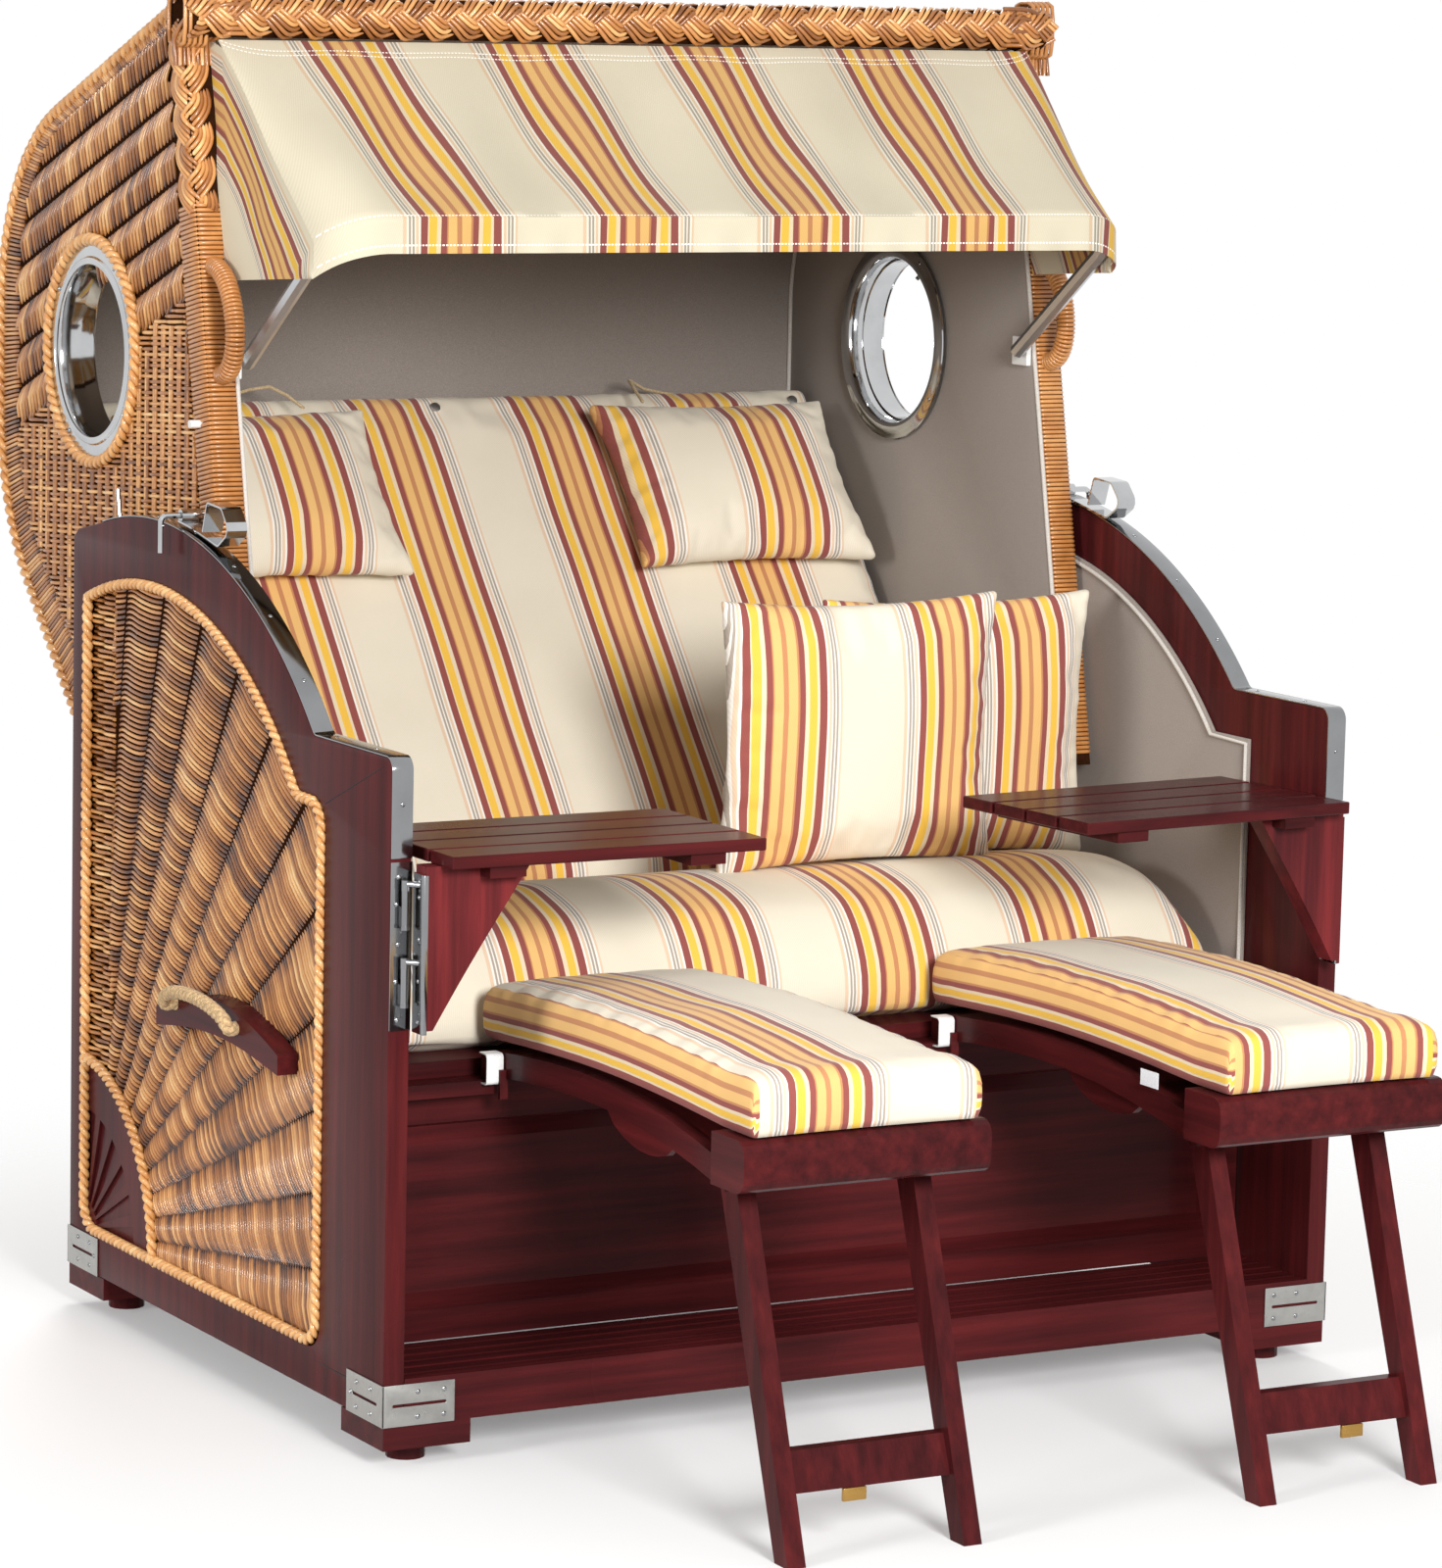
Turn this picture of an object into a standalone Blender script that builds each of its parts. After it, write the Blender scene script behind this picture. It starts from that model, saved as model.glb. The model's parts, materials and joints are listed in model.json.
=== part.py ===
# Hooded two-seat beach chair: wooden lower frame with woven sides, reclining woven hood
# with portholes and canopy, two swinging side tables and two hook-in footrests.
# Metres, +Z up, +X the sitter's left as the viewer faces the chair, the front towards -Y.
# Lengths are measured in the chair's own frame, whose Y is zero at the front posts' faces.

import math

import bmesh
import bpy
from mathutils import Matrix, Vector

# Overall and clearances
chair_width = 1.250
frame_depth = 0.888
gap = 0.0003
overrun = 0.010
fillet_steps = 4
turn_steps = 24
steel_sheet = 0.0020

# Side frames
side_thick = 0.025
rail_bottom = 0.049
arm_height = 0.789
arm_corner_radius = 0.014
arm_fillet_radius = 0.050
arc_radius = 0.6246
arc_rear_inset = 0.088
rear_top_inset = 0.014
rear_top_height = 0.955
rear_end_height = 0.944
arc_steps = 14
hood_round_steps = 8
stile_depth = 0.168
rear_stile_depth = 0.040
window_bottom = 0.098
window_top = 0.722
window_rim = 0.073
window_fillet_radius = 0.030
fan_radius = 0.210
fan_recess = 0.003
fan_thick = 0.018
fan_petals = 6
fan_groove_inner_share = 0.18
fan_groove_outer_share = 0.72
fan_groove_depth = 0.004
fan_groove_width_share = 0.62
wicker_thick = 0.010
wicker_recess = 0.0035
weave_rays = 12
weave_reach = 1.0
weave_relief = 0.0050
weave_clear = 0.003
lining_thick = 0.004
lining_lap = 0.012

# Hood pivot
pivot_inset = 0.233
pivot_height = 0.362
pivot_pin_radius = 0.008
pivot_rail_height = 0.070
pivot_rail_thick = 0.011
arm_plate_thick = 0.005
arm_plate_width = 0.056
arm_plate_top = 0.840
hood_swing = math.radians(20)

# Lower cross members
step_depth = 0.147
step_board_thick = 0.010
step_top = 0.101
slat_count = 6
slat_height = 0.010
slat_gap = 0.006
front_rail_thick = 0.026
front_rail_height = 0.034
foot_length = 0.107
foot_bottom = 0.022
foot_riser = 0.012
glide_radius = 0.022
panel_front_y = 0.150
panel_thick = 0.016
panel_bottom = 0.1015
panel_top = 0.386
panel_margin = 0.050
panel_raise = 0.005
ledge_depth = 0.034
apron_thick = 0.020
seat_board_thick = 0.013
seat_board_height = 0.408
rear_panel_thick = 0.022
rear_panel_top = 0.500
bracket_height = 0.047
bracket_side_length = 0.091
bracket_front_length = 0.086

# Seat and backrest
seat_front_y = 0.174
seat_rear_clearance = 0.023
seat_half_width = 0.586
seat_crest_height = 0.592
seat_front_height = 0.540
seat_end_drop = 0.035
seat_crest_share = 0.28
seat_rear_height = 0.488
seat_hold_shares = (0.94, 0.85, 0.62)
back_lean = math.radians(39.6)
back_foot_behind = 0.025
back_foot_height = 0.503
back_length = 0.745
back_half_width = 0.534
back_thick = 0.068
back_board_thick = 0.010
back_hold_shares = (0.93, 0.90, 0.50)
pillow_width = 0.345
pillow_height = 0.250
pillow_thick = 0.085
pillow_seat = 0.0025
pillow_centre_x = 0.335
pillow_centre_reach = 0.555
pillow_edge_share = 0.16
pillow_draw_share = 0.07
pillow_crown_power = 0.45
pad_crown_share = 0.22
pad_draw_share = 0.015
cord_radius = 0.0022
cord_eyelet_x = 0.188
cord_end_x = 0.512
cord_run_shares = (0, 0.5, 1, 0.97, 0.6, 0.35, 0.22, 0.17)
throw_width = 0.380
throw_height = 0.312
throw_thick = 0.080
throw_front_x = 0.1650
throw_front_ahead = 0.2770
throw_front_lift = 0.00122
throw_rear_x = 0.3500
throw_rear_ahead = 0.1965
throw_rear_lift = 0.00181

# Hood
hood_half_width = 0.585
hood_front_ahead = 0.079
hood_front_height = 1.100
hood_front_slope = 0.200
hood_bottom = 0.660
post_thick = 0.035
post_depth = 0.045
beam_setback = 0.0336
beam_depth = 0.079
beam_height = 0.047
beam_stand = 0.023
beam_overhang = 0.004
roof_slope = 0.371
roof_front_height = 1.572
hood_back_behind = 0.567
crown_radius = 0.270
lower_back_height = 0.951
lower_back_slope = 0.949
lower_back_radius = 0.300
hood_tail_behind = 0.265
shell_thick = 0.015
hood_bands = 7
hood_band_width = 0.047
hood_band_relief = 0.0040
hood_lining_thick = 0.004
loop_radius = 0.010
loop_bow = 0.050
loop_height = 1.222
loop_span = 0.126
loop_round_power = 0.7
porthole_behind = 0.270
porthole_drop = 0.407
porthole_flange_radius = 0.130
porthole_bore_radius = 0.104
porthole_wall = 0.0022
porthole_lip = 0.006
porthole_flange_thick = 0.0025
porthole_overlap = 0.010

# Canopy
canopy_pivot_setback = 0.0096
canopy_pivot_height = 1.172
canopy_reach = 0.238
canopy_bar_height = 1.343
canopy_arm_x = 0.529
canopy_tube_radius = 0.0095
canopy_corner_radius = 0.065
canopy_bracket_width = 0.036
canopy_cloth_thick = 0.0030
canopy_half_width = 0.553
canopy_straight_share = 0.86
canopy_corner_turn = math.radians(78)
canopy_gusset_height = 1.268
canopy_hem = 0.030
canopy_sag = 0.010
canopy_ripple = 0.0045
canopy_ripple_count = 7

# Latch levers
latch_x = 0.602
latch_setback = 0.0387
latch_height = 0.9965
latch_barrel_radius = 0.0075
latch_rod_radius = 0.0036
latch_rod_drop = 0.043
latch_rod_out = 0.014
latch_band_width = 0.025
latch_band_thick = 0.0022
latch_clearance = 0.0035
latch_loop_length = 0.078
latch_loop_height = 0.048
latch_reach = 0.142
latch_loop_shares = ((0.62, 0, 0.25), (1, 0.55, 0.25), (0.62, 1, 0.25),
                     (0.10, 0.90, 0.125), (0.03, 0.12, 0))

# Edge strips and stop pins
strip_thick = 0.0015
strip_bottom = 0.680
stop_pin_radius = 0.003
stop_pin_height = 0.036
stop_pin_behind = 0.121

# Side tables
table_axis_x = 0.612
table_axis_y = -0.0100
table_swing = math.radians(5.0)
table_top = 0.689
table_inner_x = 0.196
table_outer_x = 0.583
table_front_y = -0.066
table_slats = 4
table_slat_width = 0.0555
table_slat_gap = 0.0060
table_slat_thick = 0.014
batten_thick = 0.013
batten_width = 0.044
batten_inset = 0.070
table_bracket_x = 0.5995
table_bracket_y = -0.0355
table_bracket_thick = 0.0250
table_bracket_reach = 0.128
table_bracket_height = 0.180
table_bracket_tip = 0.010
table_bracket_bow_share = 0.080
table_bracket_drop_share = 0.064
hinge_bottom = 0.491
hinge_top = 0.676
hinge_leaf_thick = 0.0020
knuckle_radius = 0.0040
knuckle_height = 0.045
knuckle_low = 0.5195
knuckle_high = 0.6050
hinge_arm_radius = 0.0032

# Rope handles
handle_rear_y = 0.576
handle_front_y = 0.237
handle_height = 0.412
handle_thick = 0.026
handle_width = 0.0416
handle_end_share = 0.55
handle_rise = 0.026
rope_radius = 0.008
rope_front_y = 0.349
rope_rear_y = 0.520
rope_rise = 0.0234
rope_root_depth = 0.0208
rope_clearance = 0.004
rope_bulge = 0.006
rope_lift = 0.024

# Footrests
footrest_centre_x = 0.295
footrest_axis_y = 0.136
footrest_axis_height = 0.4026
crossbar_depth = 0.030
crossbar_height = 0.0265
crossbar_length = 0.296
hook_width = 0.010
hook_length = 0.020
rail_x = 0.1275
rail_thick = 0.016
rail_height = 0.029
rail_rise = 0.016
rail_fall_power = 3
rail_front_y = -0.400
rail_front_height = 0.393
nosing_rear_y = -0.400
nosing_front_y = -0.470
nosing_bottom = 0.386
nosing_top = 0.4425
nosing_length = 0.300
nosing_round = 0.016
deck_thick = 0.006
stop_board_drop = 0.030
stop_board_round_power = 0.6
stop_board_front_y = -0.290
stop_board_rear_y = -0.130
leg_pivot_y = -0.380
leg_pivot_height = 0.382
leg_thick = 0.022
leg_half_span = 0.107
leg_top_width = 0.036
leg_foot_width = 0.028
foot_front_y = -0.525
leg_bar_low = 0.070
leg_bar_high = 0.112
leg_bar_thick = 0.016
leg_pin_radius = 0.004
pad_length = 0.624
pad_width = 0.280
pad_thick = 0.066
pad_rear_y = 0.155
pad_lift = 0.0018
pad_hold_shares = (0.88, 0.94, 0.62)

# Places that follow from the frame's depth and the hood's height and lean
pivot_y = frame_depth - pivot_inset
seat_rear_y = pivot_y - seat_rear_clearance
back_foot_y = pivot_y + back_foot_behind
hood_front_y = pivot_y - hood_front_ahead
hood_back_y = pivot_y + hood_back_behind
hood_tail_y = pivot_y + hood_tail_behind
porthole_y = pivot_y + porthole_behind
stop_pin_y = pivot_y + stop_pin_behind
porthole_height = roof_front_height - porthole_drop
beam_top = roof_front_height + beam_stand
beam_bottom = beam_top - beam_height
beam_front_y = (hood_front_y + hood_front_slope * (beam_bottom - hood_front_height)
                - beam_setback)
canopy_pivot_y = (hood_front_y + hood_front_slope * (canopy_pivot_height - hood_front_height)
                  + canopy_pivot_setback)
canopy_bar_y = canopy_pivot_y - canopy_reach
latch_y = hood_front_y + hood_front_slope * (latch_height - hood_front_height) + latch_setback
latch_loop_front_y = latch_y - latch_reach
mid_y = (hood_back_y + foot_front_y) / 2
side_inner = chair_width / 2 - side_thick
cross_half = side_inner - gap
inner_half = cross_half - lining_thick - gap


# Shared shapes

def remove_everything():
    for obj in list(bpy.data.objects):
        bpy.data.objects.remove(obj)


def evaluated_mesh(obj):
    """Return the object's evaluated mesh as a plain mesh and remove the object."""
    bpy.context.view_layer.update()
    graph = bpy.context.evaluated_depsgraph_get()
    mesh = bpy.data.meshes.new_from_object(obj.evaluated_get(graph))
    bpy.data.objects.remove(obj)
    return mesh


def welded(mesh, matrix=Matrix.Identity(4)):
    """Weld the mesh's seams, face it outwards and move it by the matrix."""
    shape = bmesh.new()
    shape.from_mesh(mesh)
    bmesh.ops.transform(shape, matrix=matrix, verts=shape.verts)
    bmesh.ops.remove_doubles(shape, verts=shape.verts, dist=gap / 100)
    bmesh.ops.recalc_face_normals(shape, faces=shape.faces)
    shape.to_mesh(mesh)
    shape.free()
    return mesh


def scratch_object(data):
    obj = bpy.data.objects.new("scratch", data)
    bpy.context.scene.collection.objects.link(obj)
    return obj


def side_plane(x):
    """Map (u, v, thickness) to (y, z, x)."""
    return Matrix(((0, 0, 1, x), (1, 0, 0, 0), (0, 1, 0, 0), (0, 0, 0, 1)))


def front_plane(y):
    """Map (u, v, thickness) to (x, z, -y)."""
    return Matrix(((1, 0, 0, 0), (0, 0, -1, y), (0, 1, 0, 0), (0, 0, 0, 1)))


def plan_plane(z):
    """Map (u, v, thickness) to (x, y, z)."""
    return Matrix.Translation((0, 0, z))


def backrest_plane():
    """Map (x, reach up the backrest, distance in front of it) to the chair's frame."""
    lean_sin = math.sin(back_lean)
    lean_cos = math.cos(back_lean)
    return Matrix(((1, 0, 0, 0),
                   (0, lean_sin, -lean_cos, back_foot_y),
                   (0, lean_cos, lean_sin, back_foot_height),
                   (0, 0, 0, 1)))


def flat(outlines, thickness, plane):
    """Extrude flat outlines, the first outside and the others holes, and place them."""
    curve = bpy.data.curves.new("outline", "CURVE")
    curve.dimensions = "2D"
    curve.fill_mode = "BOTH"
    curve.extrude = thickness / 2
    for points in outlines:
        spline = curve.splines.new("POLY")
        spline.points.add(len(points) - 1)
        for target, (u, v) in zip(spline.points, points):
            target.co = (u, v, 0, 1)
        spline.use_cyclic_u = True
    return welded(evaluated_mesh(scratch_object(curve)), plane)


def tube(points, radius, resolution=2):
    """Make a round bar with filled ends along the points."""
    curve = bpy.data.curves.new("path", "CURVE")
    curve.dimensions = "3D"
    curve.bevel_depth = radius
    curve.bevel_resolution = resolution
    curve.use_fill_caps = True
    spline = curve.splines.new("POLY")
    spline.points.add(len(points) - 1)
    for target, place in zip(spline.points, points):
        target.co = (*place, 1)
    return welded(evaluated_mesh(scratch_object(curve)))


def block(low, high, bevel=0):
    """Make a box between two corners, with its edges bevelled if asked."""
    shape = bmesh.new()
    bmesh.ops.create_cube(shape, size=1)
    size = [b - a for a, b in zip(low, high)]
    centre = [(a + b) / 2 for a, b in zip(low, high)]
    bmesh.ops.transform(shape, verts=shape.verts,
                        matrix=Matrix.Translation(centre) @ Matrix.Diagonal((*size, 1)))
    if bevel:
        bmesh.ops.bevel(shape, geom=shape.edges, offset=bevel, segments=1, affect="EDGES")
    mesh = bpy.data.meshes.new("block")
    shape.to_mesh(mesh)
    shape.free()
    return mesh


def rod(start, end, radius, sides=16):
    """Make a cylinder between two points."""
    along = Vector(end) - Vector(start)
    shape = bmesh.new()
    bmesh.ops.create_cone(shape, cap_ends=True, segments=sides, radius1=radius, radius2=radius,
                          depth=along.length)
    turn = along.to_track_quat("Z", "Y").to_matrix().to_4x4()
    middle = (Vector(start) + Vector(end)) / 2
    bmesh.ops.transform(shape, verts=shape.verts, matrix=Matrix.Translation(middle) @ turn)
    mesh = bpy.data.meshes.new("rod")
    shape.to_mesh(mesh)
    shape.free()
    return mesh


def turned(profile, plane):
    """Turn a closed profile of (radius, height), outer side running down, about its axis."""
    mesh = bpy.data.meshes.new("turned")
    edges = [(i, (i + 1) % len(profile)) for i in range(len(profile))]
    mesh.from_pydata([(radius, 0, height) for radius, height in profile], edges, [])
    obj = scratch_object(mesh)
    screw = obj.modifiers.new("Turn", "SCREW")
    screw.steps = turn_steps
    screw.render_steps = turn_steps
    screw.use_merge_vertices = True
    screw.merge_threshold = gap / 10
    return welded(evaluated_mesh(obj), plane)


def combine(base, others, operation="UNION"):
    """Join other meshes to the base, or cut them out of it."""
    for other in others:
        target = scratch_object(base)
        tool = scratch_object(other)
        joint = target.modifiers.new("Combine", "BOOLEAN")
        joint.operation = operation
        joint.solver = "EXACT"
        joint.object = tool
        base = evaluated_mesh(target)
        bpy.data.objects.remove(tool)
    return welded(base)


def mirrored(mesh):
    """Return a copy of the mesh on the other side of the chair."""
    copy = mesh.copy()
    return welded(copy, Matrix.Diagonal((-1, 1, 1, 1)))


def soft_box(low, high, shape_point, holds=(0.5, 0.5, 0.5), cuts=3):
    """Make a stuffed box from a coarse cage, smooth it and fit it to its box.

    The holds say how near its edges the cage's outer loops lie: the nearer, the squarer.
    """
    shape = bmesh.new()
    bmesh.ops.create_cube(shape, size=2)
    bmesh.ops.subdivide_edges(shape, edges=shape.edges, cuts=cuts, use_grid_fill=True)
    inner = (cuts - 1) / (cuts + 1)
    for vert in shape.verts:
        for i in range(3):
            if abs(vert.co[i]) < (1 + inner) / 2:
                vert.co[i] *= holds[i] / inner
        vert.co = shape_point(vert.co)
    mesh = bpy.data.meshes.new("soft")
    shape.to_mesh(mesh)
    shape.free()
    obj = scratch_object(mesh)
    smooth = obj.modifiers.new("Smooth", "SUBSURF")
    smooth.levels = 1
    smooth.render_levels = 1
    mesh = evaluated_mesh(obj)
    corners = [vert.co for vert in mesh.vertices]
    least = [min(c[i] for c in corners) for i in range(3)]
    most = [max(c[i] for c in corners) for i in range(3)]
    for vert in mesh.vertices:
        for i in range(3):
            share = (vert.co[i] - least[i]) / (most[i] - least[i])
            vert.co[i] = low[i] + share * (high[i] - low[i])
    return mesh


def drawn_in(place, draw_share, height):
    """Scale a unit box's point in height and draw its sides in towards their middles."""
    return Vector((place.x * (1 - draw_share * (1 - place.y ** 2)),
                   place.y * (1 - draw_share * (1 - place.x ** 2)),
                   place.z * height))


def pillow_point(place):
    """Shape a unit box into a knife-edged pillow with a crown and drawn-in sides."""
    across = (1 - place.x ** 2) * (1 - place.y ** 2)
    height = pillow_edge_share + (1 - pillow_edge_share) * across ** pillow_crown_power
    return drawn_in(place, pillow_draw_share, height)


def pad_point(place):
    """Shape a unit box into a boxed pad: flat below, a low crown, slightly drawn-in sides."""
    across = (1 - place.x ** 2) * (1 - place.y ** 2)
    height = 1 - pad_crown_share + pad_crown_share * across if place.z > 0 else 1
    return drawn_in(place, pad_draw_share, height)


def arc(centre, radius, start, end, steps):
    """Return points of an arc from the start angle to the end angle, in radians."""
    angles = [start + (end - start) * i / steps for i in range(steps + 1)]
    return [(centre[0] + radius * math.cos(a), centre[1] + radius * math.sin(a)) for a in angles]


def rounded(corners, closed=True, steps=fillet_steps):
    """Return an outline through (u, v, radius) corners, with each corner filleted."""
    points = []
    for index, (u, v, radius) in enumerate(corners):
        here = Vector((u, v))
        is_end = not closed and index in (0, len(corners) - 1)
        if radius == 0 or is_end:
            points.append((u, v))
            continue
        before = Vector(corners[index - 1][:2]) - here
        after = Vector(corners[(index + 1) % len(corners)][:2]) - here
        half = before.angle(after) / 2
        reach = min(radius / math.tan(half), before.length / 2, after.length / 2)
        true_radius = reach * math.tan(half)
        bisector = (before.normalized() + after.normalized()).normalized()
        centre = here + bisector * true_radius / math.sin(half)
        start = here + before.normalized() * reach
        end = here + after.normalized() * reach
        for step in range(steps + 1):
            spoke = start.lerp(end, step / steps) - centre
            spot = centre + spoke.normalized() * true_radius
            points.append((spot.x, spot.y))
    return apart(points)


def apart(points):
    """Leave out each point that lies on the one before it."""
    kept = points[:1]
    for point in points[1:]:
        if math.dist(point, kept[-1]) > gap / 10:
            kept.append(point)
    return kept


def shifted(points, distance):
    """Move an open run of points to its left by the distance, keeping it parallel."""
    runs = [Vector(p) for p in points]
    moved = []
    for i, here in enumerate(runs):
        before = (here - runs[i - 1]).normalized() if i else None
        after = (runs[i + 1] - here).normalized() if i + 1 < len(runs) else None
        before = before or after
        after = after or before
        normal = Vector((-before.y - after.y, before.x + after.x)).normalized()
        lead = Vector((-before.y, before.x)).dot(normal)
        spot = here + normal * distance / lead
        moved.append((spot.x, spot.y))
    return moved


def band(points, thickness, clearance=0):
    """Return the outline of a strip that lies to the left of the run of points."""
    return shifted(points, clearance) + shifted(points, clearance + thickness)[::-1]


# Materials

def material(name, colour, roughness, metallic=0):
    entry = bpy.data.materials.new(name)
    entry.use_nodes = True
    shader = entry.node_tree.nodes["Principled BSDF"]
    shader.inputs["Base Color"].default_value = (*colour, 1)
    shader.inputs["Roughness"].default_value = roughness
    shader.inputs["Metallic"].default_value = metallic
    entry.diffuse_color = (*colour, 1)
    return entry


mahogany_colour = (0.115, 0.012, 0.014)
light_mahogany_colour = (0.230, 0.028, 0.018)
wicker_colour = (0.420, 0.205, 0.080)
lining_colour = (0.235, 0.205, 0.180)
cloth_colour = (0.720, 0.640, 0.500)
steel_colour = (0.720, 0.720, 0.720)
tube_colour = (0.640, 0.640, 0.630)
plastic_colour = (0.820, 0.820, 0.820)
rope_colour = (0.560, 0.430, 0.280)

# Bodies: each moving body has an empty on its joint's axis, in the chair's frame

body_places = {
    "chair": (0, 0, 0),
    "hood": (0, pivot_y, pivot_height),
    "canopy": (0, canopy_pivot_y, canopy_pivot_height),
    "latch_left": (-latch_x, latch_y, latch_height),
    "latch_right": (latch_x, latch_y, latch_height),
    "table_left": (-table_axis_x, table_axis_y, table_top),
    "table_right": (table_axis_x, table_axis_y, table_top),
    "footrest_left": (-footrest_centre_x, footrest_axis_y, footrest_axis_height),
    "footrest_right": (footrest_centre_x, footrest_axis_y, footrest_axis_height),
    "legs_left": (-footrest_centre_x, leg_pivot_y, leg_pivot_height),
    "legs_right": (footrest_centre_x, leg_pivot_y, leg_pivot_height),
}
body_parents = {
    "hood": "chair", "canopy": "hood", "latch_left": "hood", "latch_right": "hood",
    "table_left": "chair", "table_right": "chair",
    "footrest_left": "chair", "footrest_right": "chair",
    "legs_left": "footrest_left", "legs_right": "footrest_right",
}
bodies = {}


def make_bodies():
    """Make the empties: the chair's own, shifted so that the object is centred, and the rest."""
    for name, place in body_places.items():
        empty = bpy.data.objects.new(name + "_axis", None)
        collection.objects.link(empty)
        bodies[name] = empty
        if name == "chair":
            empty.location = (0, -mid_y, 0)
            continue
        parent = body_parents[name]
        empty.parent = bodies[parent]
        empty.location = Vector(place) - Vector(body_places[parent])
    bodies["table_right"].rotation_euler.z = table_swing


def place(name, mesh, finish, body="chair", smooth=0):
    """Make the named piece: its origin at its own middle, its parent its body's empty."""
    corners = [vert.co for vert in mesh.vertices]
    low = Vector([min(c[i] for c in corners) for i in range(3)])
    high = Vector([max(c[i] for c in corners) for i in range(3)])
    middle = (low + high) / 2
    mesh.transform(Matrix.Translation(-middle))
    mesh.name = name
    mesh.materials.clear()
    mesh.materials.append(finish)
    if smooth:
        mesh.shade_smooth()
        mesh.set_sharp_from_angle(angle=math.radians(smooth))
    obj = bpy.data.objects.new(name, mesh)
    obj.parent = bodies[body]
    obj.location = middle - Vector(body_places[body])
    collection.objects.link(obj)
    return obj


def place_pair(name, mesh, finish, body="chair", smooth=0):
    """Place a right-hand piece and its mirror image on the left."""
    other = mirrored(mesh)
    for side, shape in (("left", other), ("right", mesh)):
        home = body if body in ("chair", "hood") else body + "_" + side
        place(name + "_" + side, shape, finish, home, smooth)


# Lower frame

def frame_top_run():
    """The side frame's upper edge, from the rear corner forward and down the front post."""
    rise = arm_height - pivot_height
    start = math.acos((frame_depth - arc_rear_inset - pivot_y) / arc_radius)
    end = math.pi - math.asin(rise / arc_radius)
    curve = arc((pivot_y, pivot_height), arc_radius, start, end, arc_steps)
    corners = [(u, v, 0) for u, v in curve[:-1]]
    corners.append((*curve[-1], arm_fillet_radius))
    corners.append((0, arm_height, arm_corner_radius))
    corners.append((0, strip_bottom, 0))
    return rounded(corners, closed=False)


def window_outline(shrink=0):
    """The frame's opening, with its quarter-round corner for the carved fan."""
    front = stile_depth + shrink
    rear = frame_depth - rear_stile_depth - shrink
    low = window_bottom + shrink
    top = window_top - shrink
    radius = arc_radius - window_rim - shrink
    rear_end = frame_depth - rear_stile_depth
    start = math.acos((rear - pivot_y) / radius)
    end = math.pi - math.asin((top - pivot_height) / radius)
    fan = arc((rear_end, window_bottom), fan_radius + shrink, math.pi, math.pi / 2, fillet_steps * 2)
    fan = [(max(u, front), v) for u, v in fan]
    fan = [(min(u, rear), max(v, low)) for u, v in fan]
    curve = arc((pivot_y, pivot_height), radius, end, start, arc_steps)
    corners = [(front, low, 0), (front, top, 0), (*curve[0], window_fillet_radius)]
    corners += [(u, v, 0) for u, v in curve[1:]]
    corners += [(u, v, 0) for u, v in reversed(fan)]
    return rounded(corners)


def full_window_outline(grow=0):
    """The window with a square rear corner, as the timber is cut."""
    front = stile_depth - grow
    rear = frame_depth - rear_stile_depth + grow
    radius = arc_radius - window_rim + grow
    start = math.acos((rear - pivot_y) / radius)
    end = math.pi - math.asin((window_top + grow - pivot_height) / radius)
    curve = arc((pivot_y, pivot_height), radius, end, start, arc_steps)
    low = window_bottom - grow
    corners = [(front, low, 0), (front, window_top + grow, 0), (*curve[0], window_fillet_radius)]
    corners += [(u, v, 0) for u, v in curve[1:]]
    corners.append((rear, low, 0))
    return rounded(corners)


def make_side_frames():
    """Timber side frames: post, arm, arched rail, rear stile, bottom rail and pivot rail."""
    top = frame_top_run()
    outline = [(frame_depth, rail_bottom), (frame_depth, rear_end_height),
               (frame_depth - rear_top_inset, rear_top_height)] + top + [(0, rail_bottom)]
    middle = side_inner + side_thick / 2
    frame = flat([outline, full_window_outline()], side_thick, side_plane(middle))
    rail = block((side_inner, stile_depth - overrun, pivot_height - pivot_rail_height / 2),
                 (side_inner + pivot_rail_thick, frame_depth - overrun,
                  pivot_height + pivot_rail_height / 2))
    frame = combine(frame, [rail])
    hole = rod((side_inner - overrun, pivot_y, pivot_height),
               (side_inner + pivot_rail_thick + overrun / 2, pivot_y, pivot_height),
               pivot_pin_radius + gap)
    frame = combine(frame, [hole], "DIFFERENCE")
    place_pair("side_frame", frame, finishes["mahogany"], smooth=30)


def sheet_cutter(rows):
    """Make a solid from rows of points, each with its point on the far side."""
    shape = bmesh.new()
    near = [[shape.verts.new(point) for point in row] for row, _ in rows]
    far = [[shape.verts.new(point) for point in row] for _, row in rows]
    for here, there, near_next, far_next in zip(near, far, near[1:], far[1:]):
        shape.faces.new((here[0], here[1], near_next[1], near_next[0]))
        shape.faces.new((there[0], there[1], far_next[1], far_next[0]))
        for i in range(2):
            shape.faces.new((here[i], near_next[i], far_next[i], there[i]))
    for here, there in ((near[0], far[0]), (near[-1], far[-1])):
        shape.faces.new((here[0], here[1], there[1], there[0]))
    mesh = bpy.data.meshes.new("cutter")
    shape.to_mesh(mesh)
    shape.free()
    return welded(mesh)


def ray_cutter(outer):
    """The space before a panel whose woven rays rise to ridges between shallow valleys."""
    corner = (frame_depth - rear_stile_depth, window_bottom)
    rows = []
    for i in range(2 * weave_rays + 1):
        turn = math.pi / 2 * (1 + i / (2 * weave_rays))
        place = []
        for reach in (fan_radius / 2, weave_reach):
            sink = gap + (weave_relief * reach / weave_reach if i % 2 == 0 else 0)
            place.append((outer - sink, corner[0] + reach * math.cos(turn),
                          corner[1] + reach * math.sin(turn)))
        rows.append((place, [(outer + weave_clear, y, z) for _, y, z in place]))
    return sheet_cutter(rows)


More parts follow.
